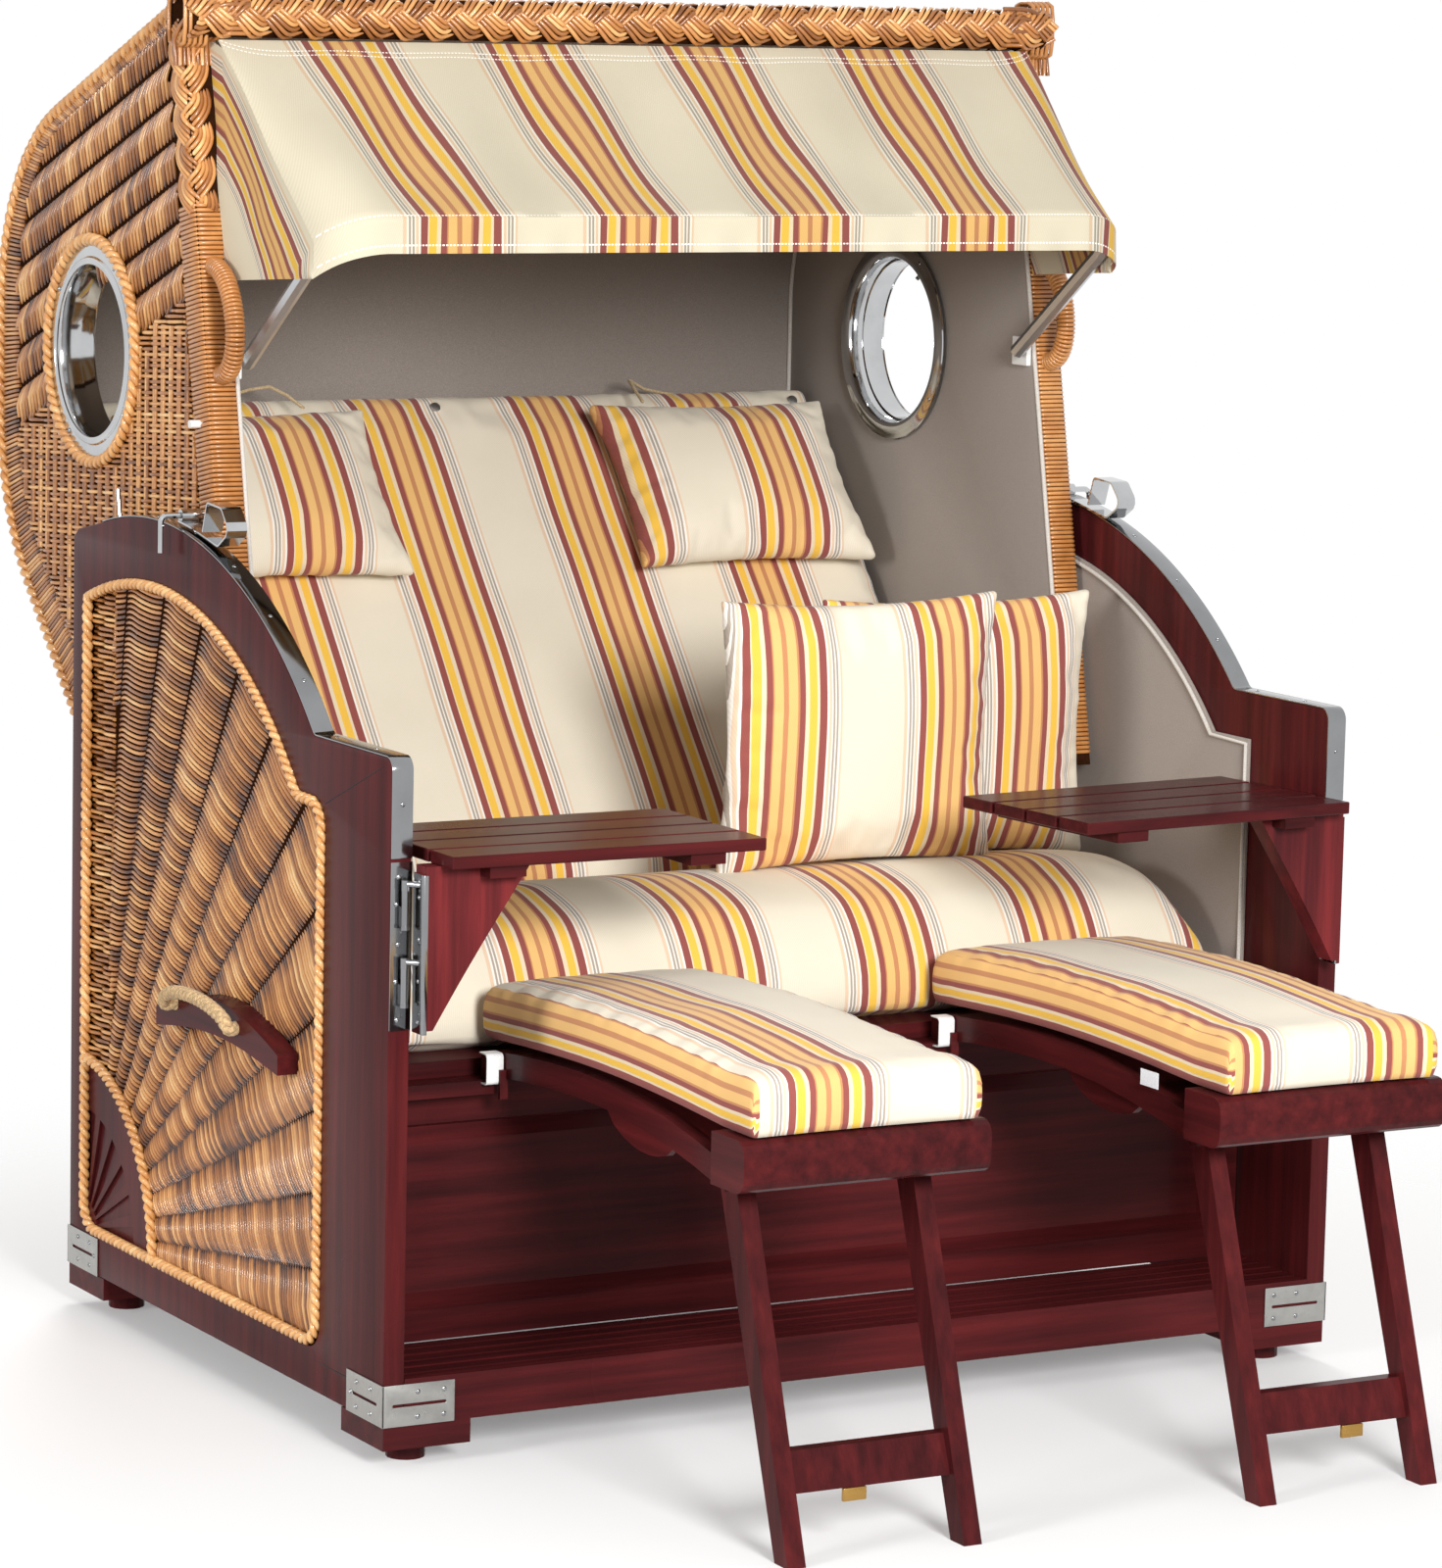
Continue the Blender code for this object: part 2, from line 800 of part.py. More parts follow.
def make_wicker_panels():
    """Woven panels in the side frames' windows, with ridges along the sunburst's rays."""
    outer = chair_width / 2 - wicker_recess
    panel = flat([window_outline(gap)], wicker_thick, side_plane(outer - wicker_thick / 2))
    panel = combine(panel, [ray_cutter(outer)], "DIFFERENCE")
    place_pair("wicker_panel", panel, finishes["wicker"])


def make_carved_fans():
    """Quarter-round corner boards with a carved fan of petals."""
    corner = (frame_depth - rear_stile_depth - gap, window_bottom + gap)
    outer = chair_width / 2 - fan_recess
    radius = fan_radius - 2 * gap
    rim = arc(corner, radius, math.pi, math.pi / 2, fillet_steps * 2)
    board = flat([[corner] + rim], fan_thick, side_plane(outer - fan_thick / 2))
    petals = []
    pitch = math.pi / 2 / fan_petals
    for i in range(fan_petals):
        middle = math.pi / 2 + pitch * (i + 0.5)
        half = pitch * fan_groove_width_share / 2
        near = arc(corner, radius * fan_groove_inner_share, middle - half, middle + half, 2)
        far = arc(corner, radius * fan_groove_outer_share, middle - half, middle + half, 4)
        cut = flat([near + far[::-1]], fan_groove_depth * 2, side_plane(outer))
        petals.append(cut)
    place_pair("carved_fan", combine(board, petals, "DIFFERENCE"), finishes["mahogany"])


def make_side_linings():
    """Cloth-covered boards that close the windows from inside."""
    middle = side_inner - gap - lining_thick / 2
    lap = full_window_outline(lining_lap)
    board = flat([lap], lining_thick, side_plane(middle))
    hole = rod((middle - overrun, pivot_y, pivot_height), (middle + overrun, pivot_y, pivot_height),
               pivot_pin_radius + gap)
    place_pair("side_lining", combine(board, [hole], "DIFFERENCE"), finishes["lining"])


def feet(y_low, y_high, rail_y_low, rail_y_high):
    """Foot blocks with riser and glide at both ends of a cross member."""
    shapes = []
    outer = chair_width / 2
    inner = outer - foot_length
    for side in (-1, 1):
        xs = sorted((side * inner, side * outer))
        rs = sorted((side * inner, side * cross_half))
        shapes.append(block((xs[0], y_low, foot_bottom), (xs[1], y_high, rail_bottom - gap)))
        shapes.append(block((rs[0], rail_y_low, rail_bottom - foot_riser),
                            (rs[1], rail_y_high, rail_bottom + foot_riser)))
        spot = (side * (inner + outer) / 2, (y_low + y_high) / 2)
        shapes.append(rod((*spot, 0), (*spot, foot_bottom + foot_riser), glide_radius))
    return shapes


def make_front_step():
    """Bottom front rail with its foot blocks and the slatted step behind it."""
    step = block((-cross_half, 0, rail_bottom),
                 (cross_half, front_rail_thick, rail_bottom + front_rail_height))
    board_top = step_top - slat_height
    board = block((-cross_half, 0, board_top - step_board_thick), (cross_half, step_depth, board_top))
    shapes = [board] + feet(0, foot_length, 0, front_rail_thick)
    pitch = (step_depth + slat_gap) / slat_count
    for i in range(slat_count):
        shapes.append(block((-cross_half, i * pitch, board_top - overrun / 4),
                            (cross_half, (i + 1) * pitch - slat_gap, step_top)))
    place("front_step", combine(step, shapes), finishes["mahogany"])


def make_kick_panel():
    """Raised panel below the seat."""
    shape = bmesh.new()
    bmesh.ops.create_cube(shape, size=1)
    size = (2 * inner_half, panel_thick, panel_top - panel_bottom)
    centre = (0, panel_front_y + panel_thick / 2, (panel_top + panel_bottom) / 2)
    bmesh.ops.transform(shape, verts=shape.verts,
                        matrix=Matrix.Translation(centre) @ Matrix.Diagonal((*size, 1)))
    shape.normal_update()
    front = [face for face in shape.faces if face.normal.y < -0.5]
    bmesh.ops.inset_region(shape, faces=front, thickness=panel_margin, depth=0)
    bmesh.ops.inset_region(shape, faces=front, thickness=panel_raise, depth=-panel_raise)
    bmesh.ops.inset_region(shape, faces=front, thickness=panel_margin / 2, depth=panel_raise)
    mesh = bpy.data.meshes.new("panel")
    shape.to_mesh(mesh)
    shape.free()
    place("kick_panel", mesh, finishes["mahogany"])


def arm_swing_reach():
    """How far the pivot arms move along the chair at the seat board over the hood's swing."""
    rise = seat_board_height + seat_board_thick - pivot_height
    return rise * math.tan(hood_swing) + 2 * overrun


def make_seat_base():
    """Apron with the ledge that carries the footrests, and the seat board."""
    board_top = seat_board_height + seat_board_thick
    apron = block((-inner_half, panel_front_y, panel_top + gap),
                  (inner_half, panel_front_y + apron_thick, board_top))
    ledge = block((-inner_half, panel_front_y - ledge_depth, panel_top + gap),
                  (inner_half, panel_front_y + overrun, footrest_axis_height - gap))
    rear = frame_depth - rear_panel_thick - gap
    board = block((-inner_half, panel_front_y, seat_board_height), (inner_half, rear, board_top))
    slot_half = arm_plate_width / 2 + arm_swing_reach()
    slots = []
    for side in (-1, 1):
        xs = sorted((side * (hood_half_width - gap), side * (inner_half + overrun)))
        slots.append(block((xs[0], pivot_y - slot_half, seat_board_height - overrun),
                           (xs[1], pivot_y + slot_half, board_top + overrun)))
    base = combine(combine(apron, [ledge, board]), slots, "DIFFERENCE")
    place("seat_base", base, finishes["mahogany"])


def make_rear_panel():
    """Rear board of the lower box, with the rear foot blocks."""
    front = frame_depth - rear_panel_thick
    panel = block((-cross_half, front, rail_bottom), (cross_half, frame_depth, rear_panel_top))
    shapes = feet(frame_depth - foot_length, frame_depth, front, frame_depth)
    place("rear_panel", combine(panel, shapes), finishes["mahogany"])


def make_corner_brackets():
    """Bent steel brackets round the four lower corners."""
    outer = chair_width / 2
    low = rail_bottom - gap
    for end in ("front", "rear"):
        face = 0 if end == "front" else frame_depth
        out = -1 if end == "front" else 1
        run = [(outer - bracket_front_length, face), (outer, face),
               (outer, face - out * bracket_side_length)]
        if end == "rear":
            run = run[::-1]
        outline = [(u, v) for u, v in band(run, -steel_sheet, -gap)]
        mesh = flat([outline], bracket_height, plan_plane(low + bracket_height / 2))
        place_pair("corner_bracket_" + end, mesh, finishes["steel"])


def make_edge_strips():
    """Polished strips along the frames' upper edges, each with its stop pin."""
    middle = side_inner + side_thick / 2
    outline = band(frame_top_run(), -strip_thick, -gap)
    strip = flat([outline], side_thick, side_plane(middle))
    angle = math.acos((stop_pin_y - pivot_y) / arc_radius)
    foot = arc_radius + gap
    points = []
    for radius in (foot, foot + stop_pin_height):
        points.append((middle, pivot_y + radius * math.cos(angle),
                       pivot_height + radius * math.sin(angle)))
    pin = rod(points[0], points[1], stop_pin_radius, sides=10)
    lift = Vector((0, math.cos(angle), math.sin(angle))) * strip_thick / 3
    pin.transform(Matrix.Translation(lift))
    place_pair("edge_strip", combine(strip, [pin]), finishes["steel"], smooth=40)


def make_handles():
    """Curved side handle blocks with the rope that loops through them."""
    inner = chair_width / 2 - wicker_recess + gap
    middle = inner + handle_thick / 2
    half = handle_width / 2
    length = handle_rear_y - handle_front_y
    steps = 8
    upper = []
    lower = []
    for i in range(steps + 1):
        share = i / steps
        rise = handle_rise * math.sin(math.pi * share)
        taper = handle_end_share + (1 - handle_end_share) * math.sin(math.pi * share)
        y = handle_front_y + length * share
        upper.append((y, handle_height + rise + half * taper))
        lower.append((y, handle_height + rise - half * taper))
    mesh = flat([upper + lower[::-1]], handle_thick, side_plane(middle))
    outer = inner + handle_thick
    rope_height = handle_height + rope_rise
    holes = []
    for y in (rope_front_y, rope_rear_y):
        holes.append(rod((inner - overrun, y, rope_height), (outer + overrun, y, rope_height),
                         rope_radius + gap, sides=12))
    mesh = combine(mesh, holes, "DIFFERENCE")
    place_pair("handle_block", mesh, finishes["mahogany"], smooth=40)
    middle_y = (rope_front_y + rope_rear_y) / 2
    reach = (rope_rear_y - rope_front_y + rope_radius) / 2
    root = outer - rope_root_depth
    near = outer + rope_radius + rope_clearance
    route = [(root, rope_front_y, rope_height), (outer + gap, rope_front_y, rope_height)]
    steps = 10
    for i in range(steps + 1):
        turn = math.pi * i / steps
        y = middle_y - reach * math.cos(turn)
        lift = rope_lift * math.sin(turn)
        route.append((near + rope_bulge * math.sin(turn), y, rope_height + lift))
    route += [(outer + gap, rope_rear_y, rope_height), (root, rope_rear_y, rope_height)]
    place_pair("handle_rope", tube(route, rope_radius), finishes["rope"], smooth=60)


# Seat and cushions

def seat_top(share):
    """Height of the seat cushion's top at a share of its depth from the front."""
    if share < seat_crest_share:
        lift = math.sin(math.pi / 2 * share / seat_crest_share)
        return seat_front_height + (seat_crest_height - seat_front_height) * lift
    fall = (share - seat_crest_share) / (1 - seat_crest_share)
    return seat_crest_height + (seat_rear_height - seat_crest_height) * fall


def make_seat_cushion():
    """Thick seat cushion, crested near the front, sloping back, with lower ends."""
    def point(place):
        top = seat_top((place.y + 1) / 2) - seat_end_drop * place.x ** 6
        bottom = seat_board_height + seat_board_thick + gap
        height = (place.z + 1) / 2
        return Vector((place.x, place.y, bottom + (top - bottom) * height))

    low = (-seat_half_width, seat_front_y, seat_board_height + seat_board_thick + gap)
    high = (seat_half_width, seat_rear_y, seat_crest_height)
    cushion = soft_box(low, high, point, seat_hold_shares, cuts=4)
    place("seat_cushion", cushion, finishes["cloth"], smooth=80)


def make_backrest():
    """Backrest board between the hood's sides and its cushion."""
    plane = backrest_plane()
    back = -back_thick / 2 - gap
    half = hood_half_width - post_thick - hood_lining_thick - 2 * gap
    board = block((-half, 0, back - back_board_thick), (half, back_length + overrun, back))
    board.transform(plane)
    place("backrest_board", board, finishes["light_mahogany"], "hood")
    cushion = soft_box((-back_half_width, 0, -back_thick / 2),
                       (back_half_width, back_length, back_thick / 2), pad_point,
                       back_hold_shares)
    cushion.transform(plane)
    place("backrest_cushion", cushion, finishes["cloth"], "hood", smooth=80)


def make_neck_pillows():
    """Neck pillows on the backrest, each hung from an elastic cord."""
    front = back_thick / 2 + gap - pillow_seat
    for side, name in ((-1, "left"), (1, "right")):
        centre = side * pillow_centre_x
        pillow = soft_box((centre - pillow_width / 2, pillow_centre_reach - pillow_height / 2, front),
                          (centre + pillow_width / 2, pillow_centre_reach + pillow_height / 2,
                           front + pillow_thick), pillow_point, cuts=2)
        pillow.transform(backrest_plane())
        place("neck_pillow_" + name, pillow, finishes["cloth"], "hood", smooth=80)


def make_neck_cords():
    """Elastic cords along the backrest's top edge and down to the pillows' rear edges."""
    top = back_length + overrun + gap + cord_radius
    behind = -back_thick / 2 - gap - back_board_thick / 2
    pillow_top = pillow_centre_reach + pillow_height / 2
    middle = back_thick / 2 + pillow_thick / 2
    before = back_thick / 2 + 2 * cord_radius
    spots = ((top, behind), (top, behind), (top, behind), (top, behind + 4 * cord_radius),
             (top, behind / 2), (top, 0), (back_length, before),
             (pillow_top + 2 * cord_radius, middle))
    for side, name in ((-1, "left"), (1, "right")):
        near = side * cord_eyelet_x
        span = side * cord_end_x - near
        route = []
        for across, (reach, out) in zip(cord_run_shares, spots):
            route.append(Vector((near + span * across, reach, out)))
        cord = tube(smooth_run(route, 3), cord_radius)
        cord.transform(backrest_plane())
        place("neck_cord_" + name, cord, finishes["rope"], "hood", smooth=60)


def smooth_run(points, steps):
    """Read points from a smooth curve through the given ones."""
    ends = [points[0] * 2 - points[1]] + points + [points[-1] * 2 - points[-2]]
    run = []
    for i in range(1, len(ends) - 2):
        a, b, c, d = ends[i - 1:i + 3]
        for step in range(steps):
            t = step / steps
            run.append(0.5 * (2 * b + (c - a) * t + (2 * a - 5 * b + 4 * c - d) * t ** 2
                              + (3 * b - a - 3 * c + d) * t ** 3))
    run.append(points[-1])
    return run


def make_throw_cushions():
    """Two loose cushions standing on the seat."""
    for name, x, ahead, lift in (("front", throw_front_x, throw_front_ahead, throw_front_lift),
                                 ("rear", throw_rear_x, throw_rear_ahead, throw_rear_lift)):
        nearest = seat_rear_y - ahead - throw_thick / 2
        bottom = seat_top((nearest - seat_front_y) / (seat_rear_y - seat_front_y)) + lift
        low = (x - throw_width / 2, bottom, -throw_thick / 2)
        high = (x + throw_width / 2, bottom + throw_height, throw_thick / 2)
        cushion = soft_box(low, high, pillow_point)
        cushion.transform(front_plane(seat_rear_y - ahead))
        place("throw_cushion_" + name, cushion, finishes["cloth"], smooth=80)


# Hood

def hood_front(height):
    """The hood's leaning front edge at a height."""
    return hood_front_y + hood_front_slope * (height - hood_front_height)


def hood_profile(inset=0):
    """The hood's side profile from the front of the roof round the back to its lower edge."""
    start = hood_front(roof_front_height) + post_depth
    crown = roof_front_height - roof_slope * (hood_back_y - start)
    tail = lower_back_height - lower_back_slope * (hood_back_y - hood_tail_y)
    corners = [(start, roof_front_height, 0), (hood_back_y, crown, crown_radius),
               (hood_back_y, lower_back_height, lower_back_radius), (hood_tail_y, tail, 0)]
    run = rounded(corners, closed=False, steps=hood_round_steps)
    return shifted(run, -inset) if inset else run


def hood_solid(inset, half_width, front_shift):
    """The solid within the hood's profile, from the leaning front line to the lower edge."""
    profile = [Vector(point) for point in hood_profile(inset)]
    behind = [point.x - hood_front(point.y) - front_shift for point in profile[:2]]
    start = profile[0].lerp(profile[1], behind[0] / (behind[0] - behind[1]))
    base = (hood_front(hood_bottom) + front_shift, hood_bottom)
    outline = [tuple(start)] + [tuple(point) for point in profile[1:]] + [base]
    return flat([outline], 2 * half_width, side_plane(0))


def hood_hollow(inset, half_width):
    """The space inside a shell, run out through its open front and its open underside."""
    profile = hood_profile(inset)
    first = Vector(profile[0]) + (Vector(profile[0]) - Vector(profile[1])).normalized() * post_depth
    last = Vector(profile[-1])
    last += (last - Vector(profile[-2])).normalized() * post_depth
    front = hood_front(hood_bottom) - post_depth
    outline = [tuple(first)] + profile[1:-1] + [tuple(last), (front, last.y), (front, first.y)]
    return flat([outline], 2 * half_width, side_plane(0))


def hood_skin(inset, half_width, thickness, front_shift, cuts=()):
    """An open-fronted, open-bottomed shell: roof, back and two sides with porthole openings."""
    outer = hood_solid(inset, half_width, front_shift)
    hollow = hood_hollow(inset + thickness, half_width - thickness)
    ends = ((-chair_width, porthole_y, porthole_height), (chair_width, porthole_y, porthole_height))
    hole = rod(*ends, porthole_bore_radius + 2 * porthole_wall + 3 * gap, sides=turn_steps)
    return combine(outer, [hollow, *cuts, hole], "DIFFERENCE")


def band_cutter(side):
    """The space beside a hood wall whose woven bands run down parallel to the roof."""
    start = Vector((hood_front(roof_front_height) + post_depth, roof_front_height))
    along = Vector((1, -roof_slope)).normalized()
    down = Vector((along.y, -along.x))
    levels = [(-hood_band_width, hood_band_relief)]
    for i in range(2 * hood_bands + 1):
        levels.append((i * hood_band_width / 2, hood_band_relief if i % 2 == 0 else 0))
    levels.append(((hood_bands + 1 / 4) * hood_band_width, -weave_clear))
    rows = []
    for depth, sink in levels:
        place = []
        for reach in (-hood_back_y / 2, hood_back_y):
            spot = start + along * reach + down * depth
            place.append((side * (hood_half_width - gap - sink), spot.x, spot.y))
        far = side * (hood_half_width + 2 * weave_clear)
        rows.append((place, [(far, y, z) for _, y, z in place]))
    return sheet_cutter(rows)


def make_hood_shells():
    """The woven shell, ridged in bands beside the roof, and the cloth lining inside it."""
    shell = hood_skin(0, hood_half_width, shell_thick, post_depth + gap)
    shell = combine(shell, [band_cutter(-1), band_cutter(1)], "DIFFERENCE")
    place("hood_shell", shell, finishes["wicker"], "hood", smooth=40)
    half = hood_half_width - post_thick - gap
    shelf = block((-hood_half_width, 0, beam_bottom - gap),
                  (hood_half_width, hood_front(beam_bottom) + post_depth, beam_top))
    lining = hood_skin(shell_thick + gap, half, hood_lining_thick, gap, [shelf])
    place("hood_lining", lining, finishes["lining"], "hood", smooth=40)


def make_hood_rim():
    """Wrapped front posts with their carrying loops, and the braided top beam."""
    outer = hood_half_width
    shapes = []
    for side in (-1, 1):
        outline = [(hood_front(hood_bottom), hood_bottom),
                   (hood_front(hood_bottom) + post_depth, hood_bottom),
                   (hood_front(beam_bottom) + post_depth, beam_bottom + overrun),
                   (hood_front(beam_bottom), beam_bottom + overrun)]
        middle = side * (outer - post_thick / 2)
        shapes.append(flat([outline], post_thick, side_plane(middle)))
        route = []
        steps = 12
        for i in range(steps + 1):
            turn = math.pi * i / steps
            z = loop_height + loop_span / 2 * math.cos(turn)
            bow = (loop_bow + post_depth / 3) * math.sin(turn) ** loop_round_power
            y = hood_front(z) + post_depth / 3 - bow
            route.append((side * (outer - post_thick / 2), y, z))
        shapes.append(tube(route, loop_radius))
    beam = block((-outer - beam_overhang, beam_front_y, beam_bottom),
                 (outer + beam_overhang, beam_front_y + beam_depth, beam_top), bevel=loop_radius)
    place("hood_rim", combine(beam, shapes), finishes["wicker"], "hood", smooth=40)


def make_pivot_arms():
    """Steel arms on the hood's sides, with the pivot pins that turn in the pivot rails."""
    inner = hood_half_width + gap
    half = arm_plate_width / 2
    lean = hood_front_slope
    top = arm_plate_top
    outline = arc((pivot_y, pivot_height), half, math.pi, 2 * math.pi, 8)
    shift = (top - pivot_height) * lean
    outline += [(pivot_y + half + shift, top), (pivot_y - half + shift, top)]
    arm = flat([outline], arm_plate_thick, side_plane(inner + arm_plate_thick / 2))
    pin = rod((inner + arm_plate_thick / 2, pivot_y, pivot_height),
              (side_inner + pivot_rail_thick - gap, pivot_y, pivot_height), pivot_pin_radius)
    place_pair("pivot_arm", combine(arm, [pin]), finishes["steel"], "hood", smooth=40)


def make_portholes():
    """Polished porthole rings: an outer and an inner one whose sleeves telescope."""
    outer_face = hood_half_width + gap
    inner_face = hood_half_width - post_thick - hood_lining_thick - 2 * gap
    middle = (outer_face + inner_face) / 2
    for name, face, out, bore in (("outer", outer_face, 1, porthole_bore_radius),
                                  ("inner", inner_face, -1,
                                   porthole_bore_radius + porthole_wall + gap)):
        flange = porthole_flange_thick
        lip_radius = (porthole_flange_radius + bore) / 2
        end = middle - out * porthole_overlap / 2
        profile = [(bore, end), (bore, face + out * flange),
                   (lip_radius, face + out * (flange + porthole_lip / 2)),
                   (porthole_flange_radius, face + out * flange),
                   (porthole_flange_radius, face), (bore + porthole_wall, face),
                   (bore + porthole_wall, end)]
        if out < 0:
            profile = profile[::-1]
        mesh = turned(profile, side_plane(0))
        mesh.transform(Matrix.Translation((0, porthole_y, porthole_height)))
        place_pair("porthole_" + name, mesh, finishes["steel"], "hood", smooth=40)


# Canopy

def make_canopy_frame():
    """U-shaped aluminium tube that holds the canopy out."""
    arm = Vector((canopy_bar_y - canopy_pivot_y, canopy_bar_height - canopy_pivot_height))
    reach = arm.length
    run = rounded([(-canopy_arm_x, 0, 0), (-canopy_arm_x, reach, canopy_corner_radius),
                   (canopy_arm_x, reach, canopy_corner_radius), (canopy_arm_x, 0, 0)], closed=False)
    along = arm.normalized()
    points = [(u, canopy_pivot_y + v * along.x, canopy_pivot_height + v * along.y) for u, v in run]
    place("canopy_frame", tube(points, canopy_tube_radius), finishes["tube"], "canopy", smooth=50)


def make_canopy_brackets():
    """White clamps that hold the canopy tube's ends on the posts."""
    inner = canopy_arm_x + canopy_tube_radius + gap
    outer = hood_half_width - post_thick - hood_lining_thick - 2 * gap
    half = canopy_bracket_width / 2
    plate = block((inner, canopy_pivot_y + overrun - half, canopy_pivot_height - half),
                  (outer, canopy_pivot_y + overrun + half, canopy_pivot_height + half), bevel=gap * 3)
    place_pair("canopy_bracket", plate, finishes["plastic"], "hood")


def canopy_bar(spread):
    """The canopy tube's axis, its tangent and its level outward direction.

    The spread runs from -1 to 1 along the bar, with the last parts round the corners.
    """
    along = Vector((0, canopy_bar_y - canopy_pivot_y, canopy_bar_height - canopy_pivot_height))
    reach = along.length
    along.normalize()
    straight = canopy_arm_x - canopy_corner_radius
    side = math.copysign(1, spread)
    if abs(spread) <= canopy_straight_share:
        across = straight * abs(spread) / canopy_straight_share
        turn = 0
    else:
        across = straight
        turn = (abs(spread) - canopy_straight_share) / (1 - canopy_straight_share)
        turn *= canopy_corner_turn
    radius = canopy_corner_radius
    x = side * (across + radius * math.sin(turn))
    pivot = Vector((0, canopy_pivot_y, canopy_pivot_height))
    axis = pivot + along * (reach - radius + radius * math.cos(turn)) + Vector((x, 0, 0))
    tangent = Vector((side * math.cos(turn), 0, 0)) - along * math.sin(turn)
    outward = tangent.cross(Vector((0, 0, side))).normalized()
    return axis, tangent, outward


def make_canopy_cloth():
    """Canopy cloth: the sloping sheet with its hem and the two side gussets."""
    clear = canopy_tube_radius + 2 * gap
    top_y = beam_front_y + overrun / 2
    top_z = beam_bottom - canopy_cloth_thick - 2 * gap
    foot_y = hood_front(canopy_gusset_height) - canopy_cloth_thick - 2 * gap
    spans, corner_spans, rows, gusset_columns = 14, 4, 6, 3
    straight = canopy_straight_share
    spreads = [straight * (2 * i / spans - 1) for i in range(spans + 1)]
    for k in range(1, corner_spans + 1):
        turned_spread = straight + (1 - straight) * k / corner_spans
        spreads = [-turned_spread] + spreads + [turned_spread]
    chord = math.cos(canopy_corner_turn / corner_spans / 2)
    corner_clear = (canopy_corner_radius + clear) / chord - canopy_corner_radius + gap
    shape = bmesh.new()
    strands = []
    straight_clear = clear
    for spread in spreads:
        clear = corner_clear if abs(spread) > straight else straight_clear
        axis, tangent, outward = canopy_bar(spread)
        start = Vector((canopy_half_width * spread, top_y, top_z))
        slope = Vector((0, axis.y - start.y, axis.z - start.z)).normalized()
        upward = Vector((0, slope.z, -slope.y))
        normal = (upward - tangent * upward.dot(tangent)).normalized()
        clear /= math.cos(normal.angle(outward) / 4)
        end = axis + normal * clear
        strand = []
        for j in range(rows + 1):
            share = j / rows
            wave = math.sin(math.pi * canopy_ripple_count * (spread + 1) / 2) * spread ** 2
            drop = (canopy_sag * (1 - spread ** 4) + canopy_ripple * wave)
            drop *= math.sin(math.pi * share)
            strand.append(start.lerp(end, share) - Vector((0, 0, drop)))
        strand.append(axis + (normal + outward).normalized() * clear)
        strand.append(axis + outward * clear)
        strand.append(axis + outward * clear - Vector((0, 0, canopy_hem)))
        strands.append(strand)
    grid = [[shape.verts.new(point) for point in strand] for strand in strands]
    for i in range(len(grid) - 1):
        for j in range(len(grid[0]) - 1):
            shape.faces.new((grid[i][j], grid[i][j + 1], grid[i + 1][j + 1], grid[i + 1][j]))
    for edge, side in ((grid[0], -1), (grid[-1], 1)):
        heel = Vector((side * canopy_half_width, foot_y, canopy_gusset_height))
        head = Vector((side * canopy_half_width,
                       hood_front(top_z) - canopy_cloth_thick - 2 * gap, top_z))
        before = edge[:rows + 1]
        for k in range(1, gusset_columns + 1):
            share = k / gusset_columns
            after = []
            for j in range(rows):
                base = edge[j].co if j else head
                lower = heel.lerp(edge[-1].co, j / rows)
                after.append(shape.verts.new(base.lerp(lower, share)))
            after.append(edge[rows + k])
            for j in range(rows):
                face = (before[j], before[j + 1], after[j + 1], after[j])
                shape.faces.new(face if side > 0 else face[::-1])
            before = after
    bmesh.ops.remove_doubles(shape, verts=shape.verts, dist=gap)
    mesh = bpy.data.meshes.new("canopy")
    shape.to_mesh(mesh)
    shape.free()
    obj = scratch_object(mesh)
    solid = obj.modifiers.new("Thickness", "SOLIDIFY")
    solid.thickness = canopy_cloth_thick
    solid.offset = 1
    place("canopy_cloth", evaluated_mesh(obj), finishes["cloth"], "hood", smooth=60)


# Latches

def make_latches():
    """Lever latches: barrel, strap along the arched edge and grip loop, on a bent rod."""
    clear = strip_thick + gap + latch_clearance
    start = math.acos((latch_y - pivot_y) / arc_radius)
    end = math.acos((latch_loop_front_y + latch_loop_length - pivot_y) / arc_radius)
    strap = arc((pivot_y, pivot_height), arc_radius + clear, start, end, 5)
    tip = Vector(strap[-1])
    along = (tip - Vector(strap[-2])).normalized()
    out = Vector((along.y, -along.x))
    if out.y < 0:
        out = -out
    corners = [(*tip, 0)]
    for reach, lift, round_share in latch_loop_shares:
        spot = tip + along * latch_loop_length * reach + out * latch_loop_height * lift
        corners.append((*spot, latch_loop_height * round_share))
    loop = rounded(corners, closed=False)
    outline = band(strap + loop[1:], -latch_band_thick)
    lever = flat([outline], latch_band_width, side_plane(latch_x + latch_band_width / 8))
    half = latch_band_width / 2
    barrel = rod((latch_x - half, latch_y, latch_height), (latch_x + half, latch_y, latch_height),
                 latch_barrel_radius)
    bore = rod((latch_x - 2 * half, latch_y, latch_height), (latch_x + 2 * half, latch_y, latch_height),
               latch_rod_radius + gap)
    lever = combine(combine(lever, [barrel]), [bore], "DIFFERENCE")
    place_pair("latch_lever", lever, finishes["steel"], "latch", smooth=40)
    tip_x = chair_width / 2 + latch_rod_out
    run = rounded([(hood_half_width + gap, 0, 0), (tip_x, 0, 2 * latch_rod_radius),
                   (tip_x, -latch_rod_drop, 0)], closed=False)
    points = [(u, latch_y, latch_height + v) for u, v in run]
    place_pair("latch_rod", tube(points, latch_rod_radius), finishes["steel"], "hood", smooth=50)


# Side tables

